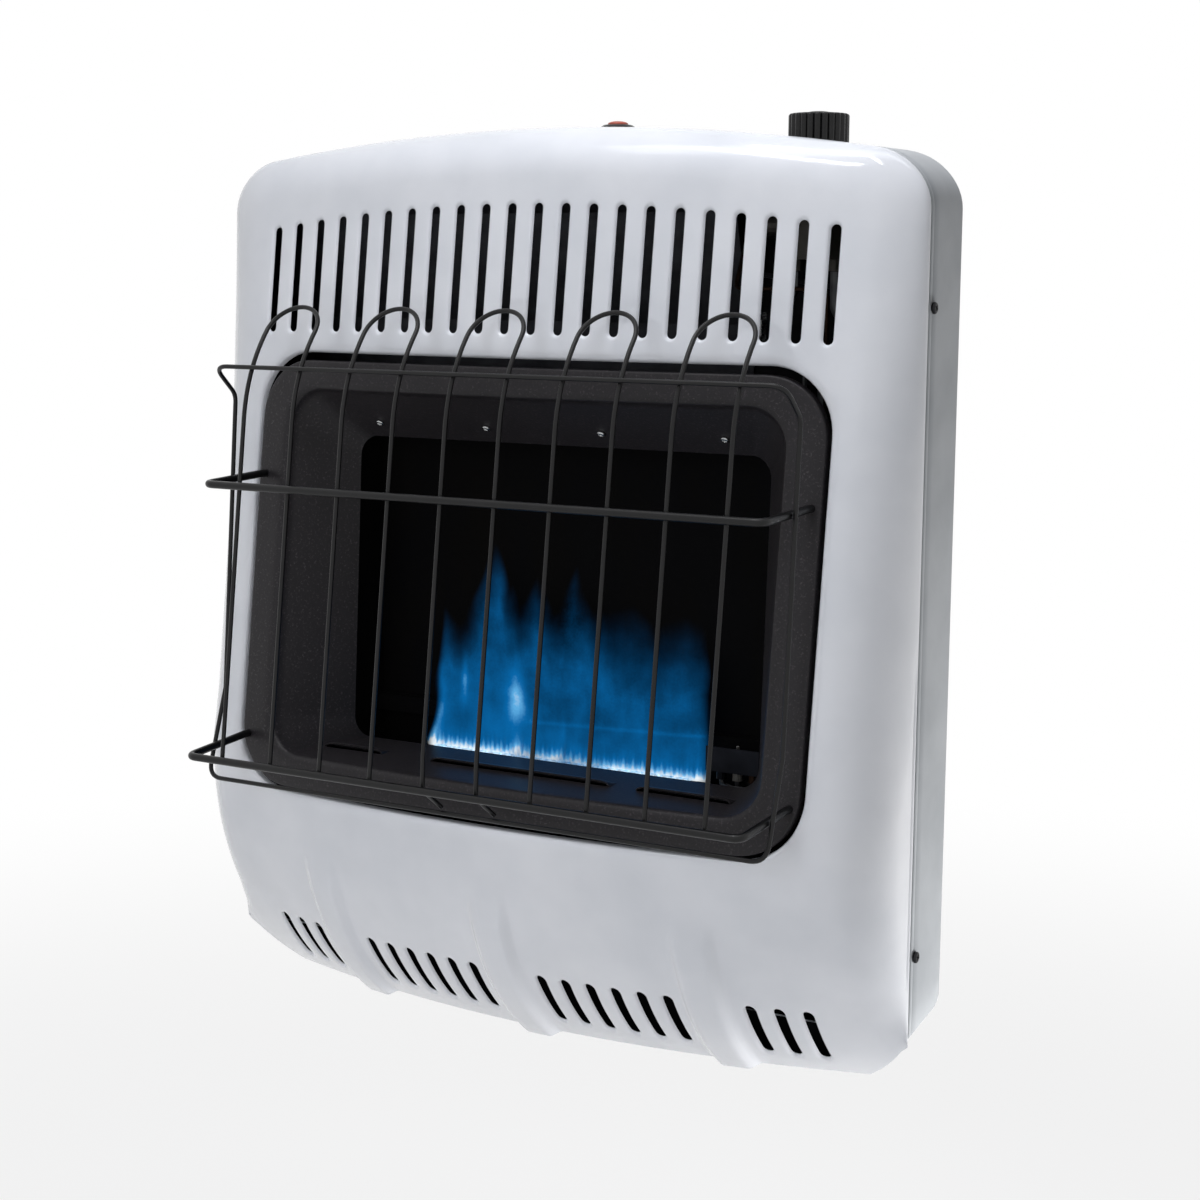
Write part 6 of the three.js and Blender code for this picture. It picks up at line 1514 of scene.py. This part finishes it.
@dataclass
class WireGuard:
    """The guard: five hoops bent over at the top, two crossbars, and a light ring round them, all spot welded."""

    wire: float = 1.5
    bar: float = 2.6
    hoops: int = 5
    hoop_width: float = 40.4
    foot: float = -282.0
    foot_depth: float = 169.5
    lean: float = 0.1215
    bend_start: float = -58.0
    bend_radius: float = 110.0
    bend_end: float = math.radians(50)
    bar_half: float = 207.5
    bars: tuple[Span, ...] = ((-102.0, 2.9), (-282.8, 5.0))
    bar_bend: float = 7.0
    recess: float = 1.4
    tuck: float = 5.0
    ring_top: float = -24.5
    ring_foot: float = -302.0
    ring_depth: float = 114.5
    ring_side: Span = (-52.0, -243.0)
    ring_corner: float = 11.0
    hook: Span = (147.4, -298.6)
    hook_above: float = 20.0
    hook_bend: float = 3.0
    weld: float = 1.25
    weld_spread: Place = (1.5, 0.9, 1.2)
    weld_sink: float = 0.1
    gap: float = 0.29

    def hoop_y(self, z: float) -> float:
        """Depth of the hoops' straight legs at a height."""
        return -self.foot_depth + self.lean * (z - self.foot)

    def centre(self, index: int) -> float:
        """Place across of one hoop's middle."""
        return (index - (self.hoops - 1) / 2) * 2 * self.hoop_width

    @property
    def bend_from(self) -> float:
        """Angle at which the bend takes over from the straight leg."""
        return QUARTER - math.atan(self.lean)

    def side_view(self) -> list[Span]:
        """(depth, height) points of a hoop's leg and bend."""
        start = self.bend_from
        points = [(self.hoop_y(z), z) for z in np.linspace(self.foot, self.bend_start, 16)[:-1]]
        for angle in np.linspace(start, self.bend_end, 14):
            points.append((
                self.hoop_y(self.bend_start) + self.bend_radius * (math.sin(start) - math.sin(angle)),
                self.bend_start + self.bend_radius * (math.cos(angle) - math.cos(start)),
            ))
        return points

    def hoop(self, index: int) -> Array:
        """The path of one hoop, with its feet hooked under where it is the middle one."""
        centre, radius = self.centre(index), self.hoop_width / 2
        leg = self.side_view()
        top_y, top_z = leg[-1]
        arch = []
        for t in np.linspace(math.pi, 0, 25)[1:-1]:
            lift = radius * math.sin(t)
            y, z = top_y + lift * math.cos(self.bend_end), top_z + lift * math.sin(self.bend_end)
            arch.append((centre + radius * math.cos(t), y, z))
        if index == (self.hoops - 1) // 2:
            back, low = self.hook
            above = self.foot + self.hook_above
            turn = (0, self.hoop_y(self.foot) + self.wire, self.foot - self.wire)
            bend = through([(0, -back, low), turn, (0, self.hoop_y(above), above)], self.hook_bend)
            leg = [tuple(p[1:]) for p in bend] + [p for p in leg if p[1] > above]
        left = [(centre - radius, y, z) for y, z in leg]
        return np.array(left + arch + [(centre + radius, y, z) for y, z in reversed(leg)])

    def crossbar(self, front: float, rise: float) -> Array:
        """The path of a crossbar between the holes in the flange."""
        side, high = self.bar_half, front + rise
        depth = self.hoop_y(front) - self.wire - self.gap - self.bar
        hole = FORM.front_at(side, high) + self.recess
        half = [(side, hole + self.tuck, high), (side, hole - self.tuck, high), (side, depth, front)]
        return through(half + [(-x, y, z) for x, y, z in reversed(half)], self.bar_bend, 12)

    def bend_y(self, z: float) -> float:
        """Depth of the hoops where they bend back, at a height."""
        start = self.bend_from
        angle = math.acos((z - self.bend_start) / self.bend_radius + math.cos(start))
        return self.hoop_y(self.bend_start) + self.bend_radius * (math.sin(start) - math.sin(angle))

    def ring(self) -> Array:
        """The path of the light ring, butted in the middle of its top."""
        side = self.bar_half + self.bar + self.gap + self.wire
        top_y = self.bend_y(self.ring_top) - 2 * self.wire - self.gap
        foot_y = -self.hook[0] - self.wire
        high, low = self.ring_side
        corner = self.ring_corner

        def side_y(z: float) -> float:
            """Depth of the ring's sides at a height."""
            return -self.ring_depth + 0.08 * (z - high)

        half = [
            (0.1, top_y, self.ring_top), (side, top_y, self.ring_top), (side, side_y(high), high + 0.7 * corner),
            (side, side_y(low), low), (side, foot_y, self.ring_foot),
        ]
        return through(half + [(-x, y, z) for x, y, z in reversed(half)], corner, 8)

    def welds(self) -> Array:
        """Where a hoop's leg touches a crossbar or the ring."""
        places = []
        sink = self.wire + self.weld_sink
        for x in (self.centre(i) + side * self.hoop_width / 2 for i in range(self.hoops) for side in (-1, 1)):
            places += [(x, self.hoop_y(z) - sink, z) for z, _ in self.bars]
            places.append((x, self.bend_y(self.ring_top) - sink, self.ring_top))
        return np.array(places)

    def build(self, wires: NodeForm, nuggets: NodeForm) -> list[Piece]:
        """Sweeps the wires and sets the welds.

        Args:
            wires: the form that sweeps a wire.
            nuggets: the form that sets a weld.

        Returns:
            Hoops, crossbars, ring and welds.
        """
        thin, thick = {"Radius": self.wire * MM, "Sides": 14}, {"Radius": self.bar * MM, "Sides": 18}
        nugget = {"Size": self.weld * MM, "Spread": self.weld_spread}
        hoops = wires.make("guard_hoops", *runs([self.hoop(i) for i in range(self.hoops)]), BLACK_WIRE, thin)
        bars = wires.make("guard_crossbars", *runs([self.crossbar(*bar) for bar in self.bars]), BLACK_WIRE, thick)
        ring = wires.make("guard_outer_ring", *runs([self.ring()]), BLACK_WIRE, thin)
        welds = nuggets.make("guard_welds", self.welds(), [], BLACK_WIRE, nugget)
        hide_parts(*[f"guard_hoop_{i + 1}" for i in range(self.hoops)])
        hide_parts("guard_bar_upper", "guard_bar_lower")
        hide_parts("guard_ring")
        for piece in (hoops, bars, ring, welds):
            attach(piece, "cabinet")
        return [hoops, bars, ring, welds]


@dataclass
class ControlKnob:
    """The fluted knob over the valve: rounded ribs, a softened top edge and a small raised cap."""

    centre: Span = (177.0, -26.0)
    radius: float = 18.6
    foot: float = 112.0
    top: float = 136.0
    flutes: int = 24
    flute_steps: int = 12
    flute_depth: float = 1.5
    flute_shape: float = 0.8
    flute_fade: float = 0.75
    edge: float = 1.6
    cap: float = 7.5
    bore: float = 4.3
    bore_depth: float = 13.0
    face_rows: tuple[Span, ...] = ((-2.6, -0.15), (-5.0, -0.5))
    cap_rows: tuple[Span, ...] = ((1.2, -0.6), (0.0, -0.5), (-0.2, 0.5), (-1.0, 1.05), (-2.4, 1.3), (-6.0, 1.37))
    crest: float = 1.38

    def radius_at(self, base: float, angle: float, depth: float) -> float:
        """Radius of the fluted wall: round ribs with narrow valleys between them."""
        wave = abs(math.sin(self.flutes * angle / 2))
        return base - depth * (1 - wave ** self.flute_shape)

    def rows(self) -> list[Place]:
        """(radius, height, share of the flutes) of each ring, from the bore round to the cap."""
        r, low, top = self.radius, self.foot, self.top
        rows = [(self.bore, low + self.bore_depth, 0.0), (self.bore, low, 0.0)]
        rows += [(r - 0.6, low, 1.0), (r, low + 0.5, 1.0)]
        rows += [(r, low + (top - low - self.edge) * k / 4, 1.0) for k in range(1, 5)]
        for t in np.linspace(0, QUARTER, 6)[1:]:
            in_by, up_by = self.edge * (1 - math.cos(t)), self.edge * math.sin(t)
            rows.append((r - in_by, top - self.edge + up_by, 1.0 - self.flute_fade * t / QUARTER))
        rows += [(r + out, top + up, 0.0) for out, up in self.face_rows]
        return rows + [(self.cap + out, top + up, 0.0) for out, up in self.cap_rows]

    def build(self) -> Piece:
        """Turns the fluted body and its cap.

        Returns:
            The finished knob.
        """
        steps, rows = self.flutes * self.flute_steps, self.rows()
        points = []
        for base, z, fluted in rows:
            for t in np.linspace(0, 2 * math.pi, steps, endpoint=False):
                reach = self.radius_at(base, t, self.flute_depth * fluted)
                points.append((self.centre[0] + reach * math.cos(t), self.centre[1] + reach * math.sin(t), z))
        faces = loft([range(steps)] * len(rows))
        points += [(*self.centre, rows[0][1]), (*self.centre, self.top + self.crest)]
        base, last = (len(rows) - 1) * steps, len(points) - 1
        for i in range(steps):
            k = (i + 1) % steps
            faces.append([last - 1, k, i])
            faces.append([base + i, base + k, last])
        piece = new_piece("control_knob_moulding", points, faces, BLACK_PLASTIC)
        settle(piece, 50.0)
        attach(piece, "knob")
        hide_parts("control_knob")
        return piece


@dataclass
class Igniter:
    """The push igniter: a stepped black bezel on the crown and a domed brick red button."""

    centre: Span = (34.5, -26.0)
    seat: float = 130.91
    bezel: float = 11.0
    bezel_height: float = 2.2
    button: float = 6.6
    button_rise: float = 2.5
    button_foot: float = -9.0
    gap: float = 0.3
    dome: float = 1.9
    dome_edge: float = 0.3
    dome_start: float = 0.12

    def build(self) -> list[Piece]:
        """Turns the bezel and the button.

        Returns:
            The bezel and the button.
        """
        inner, outer, high = self.button + self.gap, self.bezel, self.bezel_height
        profile = [
            (inner, 0.05), (outer, 0.05), (outer, 0.8), (outer - 0.25, 1.2), (outer - 1.0, 1.55),
            (outer - 1.6, high - 0.15), (outer - 2.2, high), (inner + 1.0, high), (inner + 0.35, high - 0.12),
            (inner, high - 0.5), (inner, 0.05),
        ]
        rings = [circle(self.centre, radius, self.seat + height, 72) for radius, height in profile]
        bezel = new_piece("igniter_bezel_ring", np.concatenate(rings), loft(rings), BLACK_PLASTIC)
        settle(bezel, 40.0)
        top, foot = high + self.button_rise, self.button_foot
        turns = np.linspace(self.dome_start, QUARTER, 10)[:-1]
        profile = [(0, foot), (self.button, foot), (self.button, top - self.dome - self.dome_edge)]
        profile += [(self.button * math.cos(t), top - self.dome + self.dome * math.sin(t)) for t in turns]
        points, faces = lathe(profile + [(0, top)], (*self.centre, self.seat), 64)
        button = new_piece("igniter_button_dome", points, faces, RED_PLASTIC)
        settle(button, 40.0)
        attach(bezel, "cabinet")
        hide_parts("igniter_bezel")
        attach(button, "button")
        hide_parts("igniter_button")
        return [bezel, button]


@dataclass
class Screws:
    """Pan head screws with a cross recess, two a side on the cabinet and four in the surround."""

    head: float = 3.6
    height: float = 2.1
    shank: float = 1.7
    length: float = 8.0
    side: tuple[float, float, Span] = (262.3, -42.3, (19.7, -378.0))
    small: float = 0.75
    throat_half: float = 158.6
    shares: tuple[float, ...] = (-0.837, -0.279, 0.279, 0.837)
    down_wall: float = 2 / 3
    lift: float = 0.3
    cross: Span = (0.13, 0.5)
    cross_depth: float = 0.45
    seed: int = 3

    def template(self, scale: float, name: str, finish: Finish) -> Piece:
        """One screw about the origin, its head over its seat at zero height.

        Args:
            scale: share of the full size.
            name: the template's name.
            finish: what it is plated with.

        Returns:
            The screw as an object.
        """
        r, h, shank, end = (size * scale for size in (self.head, self.height, self.shank, -self.length))
        profile = [(0, end), (shank, end), (shank, 0), (r * 0.96, 0), (r, 0.1 * h), (r, 0.42 * h)]
        turns = np.linspace(0, QUARTER, 6)[1:]
        profile += [(r * (0.72 + 0.28 * math.cos(t)), h * (0.42 + 0.5 * math.sin(t))) for t in turns]
        profile += [(r * 0.55, h * 0.97), (r * 0.4, h), (r * 0.28, h), (r * 0.12, h), (0, h)]
        points, faces = lathe(profile, (0, 0, 0), 32)
        width, reach = self.cross
        sunk = []
        for x, y, z in points:
            near, far = sorted((abs(x), abs(y)))
            in_cross = z > 0.8 * h and near < width * r + 1e-6 and far < reach * r
            sunk.append((x, y, z - self.cross_depth * h if in_cross else z))
        return new_piece(name, sunk, faces, finish)

    def surround_seats(self) -> tuple[Array, Array]:
        """Seats and directions of the four screws on the surround's sloping top wall."""
        surround = FireboxSurround()
        fold_half = surround.outer[0] - surround.flange[0] - surround.fold_corner
        fold_top = surround.outer[1] - surround.flange[1] - surround.fold_round
        places, ways = [], []
        for part in self.shares:
            x = part * self.throat_half
            narrowed = (self.throat_half - surround.throat[3] - fold_half) * self.down_wall
            reach = x / (fold_half + narrowed)
            fold_y = FORM.front_at(fold_half * reach, fold_top) + surround.recess + surround.fold_round
            run = np.array([-surround.throat_depths[0] - fold_y, surround.throat[1] - fold_top])
            slope = math.atan2(run[1], run[0])
            out = np.array([math.sin(slope), -math.cos(slope)])
            spot = np.array([fold_y, fold_top]) + run * self.down_wall + out * self.lift
            places.append((x, *spot))
            ways.append((0.0, *out))
        return np.array(places), np.array(ways)

    def build(self, setter: NodeForm) -> list[Piece]:
        """Sets a screw on every seat.

        Args:
            setter: the form that sets a part on points.

        Returns:
            The cabinet's screws and the surround's.
        """
        x, y, heights = self.side
        seats = np.array([(side * x, y, z) for side in (-1, 1) for z in heights])
        ways = np.array([(side, 0.0, 0.0) for side in (-1, 1) for _ in heights])
        made = []
        for name, scale, finish, places, facing in (
            ("cabinet_screws", 1.0, BLACK_SCREW, seats, ways),
            ("surround_screws", self.small, ZINC, *self.surround_seats()),
        ):
            part = self.template(scale, f"{name}_template", finish)
            piece = setter.make(name, places, [], finish, {"Part": part, "Seed": self.seed}, facing)
            discard(part)
            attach(piece, "cabinet")
            made.append(piece)
        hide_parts(*[f"cabinet_screw_{a}_{b}" for a in ("left", "right") for b in ("upper", "lower")])
        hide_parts(*[f"surround_screw_{i + 1}" for i in range(4)])
        return made


@dataclass
class BurnerPorts:
    """The strip of ports on the burner: a row of small pressed blocks with slits of air between them."""

    half: float = 101.2
    depth: float = 38.0
    base: float = -288.0
    width: float = 8.0
    count: int = 18
    block_share: float = 0.42
    end_round: float = 0.5

    def block(self) -> Piece:
        """One port block with rounded ends and a slit along its top, about its own foot."""
        end, side = 2 * self.half / self.count * self.block_share, self.width / 2
        left = [(-side, -0.4), (-side, 1.6), (-side + 0.7, 2.2), (-1.3, 2.4), (-0.9, 1.4)]
        profile = left + [(-y, z) for y, z in reversed(left)]
        small = self.end_round
        points = []
        for x, shrink in ((-end, small), (-end + small, 0.0), (end - small, 0.0), (end, small)):
            points += [(x, y * (1 - shrink / self.width), z - (shrink * 0.5 if z > 0 else 0)) for y, z in profile]
        count = len(profile)
        faces = loft([profile] * 4) + [list(range(count))[::-1], list(range(3 * count, 4 * count))]
        piece = new_piece("port_block", points, faces, PORT_GLOW)
        face_outwards(piece)
        return piece

    def build(self, setter: NodeForm) -> list[Piece]:
        """Sets the blocks in their row along the burner.

        Args:
            setter: the form that sets a part on points.

        Returns:
            The finished port pieces.
        """
        pitch = 2 * self.half / self.count
        places = np.array([(-self.half + pitch * (i + 0.5), -self.depth, self.base) for i in range(self.count)])
        part = self.block()
        piece = setter.make("burner_ports", places, [], PORT_GLOW, {"Part": part})
        discard(part)
        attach(piece, "cabinet")
        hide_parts("burner_port_strip")
        return [piece]


@dataclass
class Flames:
    """The flames over the ports: thin curved sheets whose upper edge follows the tongues."""

    base: float = -287.0
    tongues: tuple[Span, ...] = (
        (-107.0, -276.0), (-104.0, -262.0), (-99.0, -232.0), (-96.0, -205.0), (-93.3, -191.4), (-90.0, -198.0),
        (-84.0, -206.0), (-76.0, -200.0), (-68.4, -189.0), (-60.0, -165.0), (-50.1, -148.5), (-46.0, -158.0),
        (-42.7, -173.5), (-35.8, -193.4), (-28.0, -186.0), (-20.0, -172.0), (-16.7, -168.1), (-10.0, -176.0),
        (-0.8, -193.8), (5.0, -172.0), (9.6, -157.7), (15.0, -172.0), (29.2, -187.8), (42.0, -186.5),
        (57.7, -182.1), (68.0, -188.0), (76.6, -193.6), (88.0, -189.0), (98.7, -185.1), (108.0, -190.0),
        (114.0, -199.7), (114.5, -240.0), (113.0, -280.0),
    )
    hot_spots: tuple[tuple[float, float, float, float, float], ...] = (
        (-33.7, -244.7, 7.5, 17.0, 0.56), (-76.7, -238.7, 3.0, 15.0, 0.26), (-33.5, -281.0, 3.5, 8.0, 0.3),
        (-1.0, -283.0, 2.6, 8.0, 0.3), (3.0, -270.0, 1.6, 14.0, 0.14), (-46.0, -182.0, 4.0, 24.0, 0.1),
        (-19.0, -195.0, 5.0, 20.0, 0.1), (0.0, -213.0, 2.5, 16.0, 0.07), (40.0, -238.0, 26.0, 16.0, 0.06),
        (86.0, -226.0, 20.0, 16.0, 0.05),
    )
    sheets: tuple[tuple[str, float, float, float, float, Span, float], ...] = (
        ("back", -33.5, 9.0, 0.86, 0.6, (-104.0, 112.0), -287.0),
        ("middle", -38.5, 0.0, 1.06, 0.9, (-108.0, 115.0), -287.0),
        ("front", -43.0, -6.0, 0.5, 0.35, (-102.0, 108.0), -287.0),
        ("front_ports", -51.5, 4.0, 0.16, 0.75, (-33.0, 48.0), -292.0),
    )
    waist: Span = (9.0, 75.0)
    end_fades: Span = (5.0, 9.0)
    soft_top: float = 36.0
    softer_right: Place = (18.0, 15.0, 40.0)
    tip_heat: float = 0.09
    foot_heat: float = 0.33
    edge_heat: float = 0.16
    edge_width: float = 4.0
    left_heat: Span = (0.1, 90.0)
    ledge: Place = (-261.5, 0.031, -23.5)
    ledge_heat: float = 0.12
    tooth: float = 3.7
    tooth_rise: Sizes = (3.2, 3.4, 1.5, 0.9)
    tooth_heat: float = 0.62
    sway: Span = (2.5, 0.13)
    ripple: Place = (1.2, 0.16, 0.05)
    drift: Span = (1.6, 0.11)
    columns: int = 220
    rows: int = 90

    def fields(self, x: Array, z: Array, top: Array, base: float, ends: Span) -> tuple[Array, Array]:
        """Heat and cover of a sheet.

        Args:
            x: the points' places across.
            z: their heights.
            top: the flame's height over each point.
            base: the foot's height.
            ends: the sheet's left and right end.

        Returns:
            The heat that colours each point, and how much the flame hides there.
        """
        (left, right), (narrow, tall) = ends, self.waist
        left_edge = left + narrow * np.sin(np.clip((z - base) / tall, 0, 1) * math.pi) ** 2
        left_fade, right_fade = self.end_fades
        inside = np.clip((x - left_edge) / left_fade, 0, 1) * np.clip((right - x) / right_fade, 0, 1)
        more, start, width = self.softer_right
        soft = self.soft_top + more * np.clip((x - start) / width, 0, 1)
        cover = inside * np.clip((top - z) / np.minimum(soft, 0.6 * (top - base)), 0, 1) ** 1.3

        up = np.clip((z - base) / np.maximum(top - base, 1.0), 0, 1)
        heat = self.tip_heat + self.foot_heat * (1 - up) ** 1.1
        heat = heat + self.edge_heat * np.exp(-((x - left_edge - self.edge_width) / self.edge_width) ** 2)
        heat = heat + self.left_heat[0] * np.clip(-x / self.left_heat[1], 0, 1)
        height, slope, from_x = self.ledge
        heat = heat + self.ledge_heat * np.exp(-(z - height - (x - from_x) * slope) ** 2) * (x > from_x)
        for across, high, wide, tall, gain in self.hot_spots:
            heat = heat + gain * np.exp(-((x - across) / wide) ** 2 - ((z - high) / tall) ** 2)
        low, rise, wave, pace = self.tooth_rise
        teeth = low + rise * np.abs(np.sin(x * math.pi / self.tooth)) + wave * np.sin(x * pace)
        heat = heat + self.tooth_heat * np.exp(-(np.maximum(z - base, 0) / np.maximum(teeth, 1.5)) ** 2)
        return np.clip(heat, 0, 1), np.clip(cover, 0, 1)

    def sheet(self, name: str, depth: float, shift: float, scale: float, cover: float,
              ends: Span, base: float) -> Piece:
        """One sheet of flame.

        Args:
            name: the sheet's name.
            depth: its depth.
            shift: how far its tongues are moved across.
            scale: its height against the tongues' own.
            cover: its greatest cover.
            ends: its left and right end.
            base: its foot's height.

        Returns:
            The sheet, with heat and cover on its points.
        """
        xs = np.linspace(*ends, self.columns)
        tops = base + (np.interp(xs - shift, *zip(*self.tongues)) - self.base) * scale
        tops = np.convolve(np.pad(tops, 2, mode="edge"), np.array([1, 2, 3, 2, 1]) / 9, mode="valid")
        up, x = np.meshgrid(np.linspace(0, 1, self.rows), xs, indexing="ij")
        z = base + (tops - base) * up
        heat, veil = self.fields(x, z, tops + 0 * z, base, ends)
        (wide, pace), (small, rise, run), (aside, climb) = self.sway, self.ripple, self.drift
        sway = wide * np.sin(x * pace + shift) * up + small * np.sin(z * rise + x * run) * up
        points = np.stack([x + aside * np.sin(z * climb + shift) * up, depth + sway, z], -1).reshape(-1, 3)
        piece = new_piece(f"flame_sheet_{name}", points, loft([range(self.columns)] * self.rows, closed=False), FLAME)
        for key, values in (("flame_tone", heat), ("flame_cover", veil * cover)):
            kept = piece.data.attributes.new(key, "FLOAT", "POINT")
            kept.data.foreach_set("value", values.ravel())
        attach(piece, "cabinet")
        return piece

    def build(self) -> list[Piece]:
        """Makes the sheets from back to front.

        Returns:
            The flame sheets.
        """
        return [self.sheet(*sizes) for sizes in self.sheets]


# The CAD's own parts, and the studio


@dataclass
class CarriedParts:
    """The plain CAD nodes that stay in view, each with the finish of the real part."""

    finishes: tuple[tuple[Finish, str], ...] = (
        # The housing's coat is set darker as painted shade.
        (WHITE_COAT, "front_cabinet"), (SHADED_HOUSING_COAT, "rear_housing"), (CHARCOAL, "firebox_surround"),
        (BLACK_WIRE, "guard_"), (BLACK_SCREW, "cabinet_screw"), (ZINC, "surround_screw wall_bracket"),
        # The chamber's soot colour is set darker as painted shade.
        (SOOT_AND_SHADE, "chamber_back chamber_side burner_shelf"),
        (GREY_SHEET, "chamber_hood heat_deflector valve_bracket"),
        (STEEL, "burner_body burner_port_strip burner_bracket_left"),
        (BLUED_STEEL, "burner_bracket_right pilot_bracket pilot_burner"),
        (BRASS, "injector valve_stem inlet_fitting"), (CERAMIC, "spark_electrode"), (COPPER, "thermocouple"),
        (CAST_METAL, "gas_valve regulator"), (TUBE_METAL, "inlet_pipe burner_tube pilot_tube"),
        (BLACK_PLASTIC, "control_knob igniter_body igniter_nut igniter_bezel"),
        (RED_PLASTIC, "igniter_button"), (SILICONE, "igniter_lead"),
    )

    def finish_of(self, name: str) -> Finish:
        """The finish of a node, by how its name starts."""
        return next(finish for finish, starts in self.finishes if name.startswith(tuple(starts.split())))

    def dress(self, nodes: dict[str, Piece]) -> int:
        """Gives every node its finish.

        Args:
            nodes: the frame's nodes by name.

        Returns:
            How many nodes were dressed.
        """
        for name, node in nodes.items():
            material = self.finish_of(name).material()
            for slot in node.material_slots:
                slot.material = material
        return len(nodes)


@dataclass(frozen=True)
class Lamp:
    """A rectangular softbox: place, aim and size in metres, power, and what its light reaches."""

    name: str
    place: Place
    aim: Place
    size: Span
    power: float
    colour: str = "#FFFFFF"
    turn: float = 0.0
    mirrored: bool = False
    spread: bool = True

    def hang(self) -> None:
        """Hangs the lamp, turned about its own axis, out of the camera's sight."""
        data = bpy.data.lights.new(self.name, "AREA")
        data.shape, data.size, data.size_y, data.energy = "RECTANGLE", *self.size, self.power
        data.color = linear(self.colour)[:3]
        lamp = bpy.data.objects.new(self.name, data)
        lamp.visible_camera = False
        lamp.visible_glossy = self.mirrored
        lamp.visible_diffuse = self.spread
        facing = (Vector(self.aim) - Vector(self.place)).to_track_quat("-Z", "Y").to_matrix().to_4x4()
        turned = Matrix.Rotation(math.radians(self.turn), 4, "Z")
        lamp.matrix_world = Matrix.Translation(self.place) @ facing @ turned
        bpy.context.scene.collection.objects.link(lamp)


@dataclass
class Studio:
    """Pale floor, soft lamps, a white background and the camera at the photograph's angle."""

    focal_pixels: float = 2235.84
    frame_pixels: float = 1200.0
    sensor: float = 36.0
    azimuth: float = 30.9335
    elevation: float = 8.2305
    roll: float = 0.45258
    place: Place = (0.78058, -1.28884, 0.03660)
    floor_height: float = -0.80
    floor_half: float = 30.0
    room: float = 0.06
    lamps: tuple[Lamp, ...] = (
        Lamp("front_softbox", (0.15, -3.0, 0.5), (0.0, -0.05, -0.12), (1.2, 1.6), 24.0, "#F4F8FF"),
        Lamp("key_softbox", (-1.6, -2.1, 1.3), (0.0, -0.05, -0.15), (1.6, 1.6), 1.5, "#F4F8FF"),
        Lamp("overhead_softbox", (0.14, -0.14, 0.8), (0.14, -0.1, 0.1), (0.4, 0.3), 4.4, "#F6F9FF"),
        Lamp("top_softbox", (0.1, -0.5, 1.5), (0.0, -0.06, 0.0), (1.6, 0.5), 5.2, "#F8FAFF", mirrored=True),
        Lamp("crown_strip_rear", (0.04, -0.485, 1.055), (0.2, -0.06, 0.11), (0.74, 0.05), 1.5,
             turn=-36.4, mirrored=True, spread=False),
        Lamp("crown_strip_front", (-0.098, -0.565, 0.996), (0.2, -0.06, 0.11), (0.6, 0.05), 1.1,
             turn=-28.1, mirrored=True, spread=False),
        Lamp("low_fill", (-0.2, -1.6, -0.75), (0.0, -0.05, -0.3), (1.8, 0.9), 9.0),
        Lamp("side_foot_fill", (0.56, 0.24, -0.68), (0.26, -0.02, -0.42), (0.25, 0.25), 4.0),
    )

    def camera(self) -> Piece:
        """Sets the camera up from the solved view.

        Returns:
            The camera.
        """
        data = bpy.data.cameras.new("camera")
        data.sensor_width = self.sensor
        data.lens = self.focal_pixels / self.frame_pixels * self.sensor
        data.clip_end = 100.0
        a, e, roll = (math.radians(v) for v in (self.azimuth, self.elevation, self.roll))
        ahead = Vector((-math.sin(a) * math.cos(e), math.cos(a) * math.cos(e), -math.sin(e)))
        level = Vector((math.cos(a), math.sin(a), 0.0))
        upright = level.cross(ahead)
        right = level * math.cos(roll) + upright * math.sin(roll)
        up = upright * math.cos(roll) - level * math.sin(roll)
        camera = bpy.data.objects.new("camera", data)
        camera.matrix_world = Matrix.Translation(self.place) @ Matrix((right, up, -ahead)).transposed().to_4x4()
        bpy.context.scene.collection.objects.link(camera)
        bpy.context.scene.camera = camera
        return camera

    def light(self) -> None:
        """Hangs the softboxes and lights the room around."""
        for lamp in self.lamps:
            lamp.hang()
        world = bpy.data.worlds.new("white studio")
        world.use_nodes = True
        tree = world.node_tree
        tree.nodes.clear()
        room, white = (add_node(tree, "ShaderNodeBackground", {"Color": PURE_WHITE, "Strength": strength}).outputs[0]
                       for strength in (self.room, 1.0))
        mixed = add_node(tree, "ShaderNodeMixShader", {0: seen_directly(tree), 1: room, 2: white})
        add_node(tree, "ShaderNodeOutputWorld", {"Surface": mixed.outputs[0]})
        bpy.context.scene.world = world

    def floor(self) -> Piece:
        """Lays the floor well below the heater, which hangs on a wall."""
        half, z = self.floor_half / MM, self.floor_height / MM
        points = [(-half, -half, z), (half, -half, z), (half, half, z), (-half, half, z)]
        piece = new_piece("floor", points, [[0, 1, 2, 3]], FLOOR)
        return piece

    def build(self) -> None:
        """Sets the whole studio up, with a plain view transform."""
        self.camera()
        self.light()
        self.floor()
        bpy.context.scene.view_settings.view_transform = "Standard"


def corners(bounds: tuple[Vector, Vector]) -> list[list[float]]:
    """A box's lowest and highest corner as plain lists."""
    return [list(map(float, corner)) for corner in bounds]


def report(name: str, pieces: Iterable[Piece]) -> None:
    """Logs each piece of a sub-assembly with its face count."""
    for piece in pieces:
        LOG.info("%s: %s, %d faces", name, piece.name, len(piece.data.polygons))


def main() -> None:
    """Builds every sub-assembly around the frame and reports each piece."""
    logging.basicConfig(level=logging.INFO, format="%(name)s %(message)s", stream=sys.stdout)
    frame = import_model()
    LOG.info("carried parts: %d nodes dressed", CarriedParts().dress(frame["nodes"]))
    wires, nuggets, setter = wire_form(), nugget_form(), facing_form()
    report("front", [FrontCabinet().build()])
    report("housing", [RearHousing().build(), ChinTray().build()])
    report("surround", FireboxSurround().build())
    report("guard", WireGuard().build(wires, nuggets))
    report("knob", [ControlKnob().build()])
    report("igniter", Igniter().build())
    report("screws", Screws().build(setter))
    report("burner", BurnerPorts().build(row_form()))
    report("flames", Flames().build())
    Studio().build()


if __name__ == "__main__":
    main()
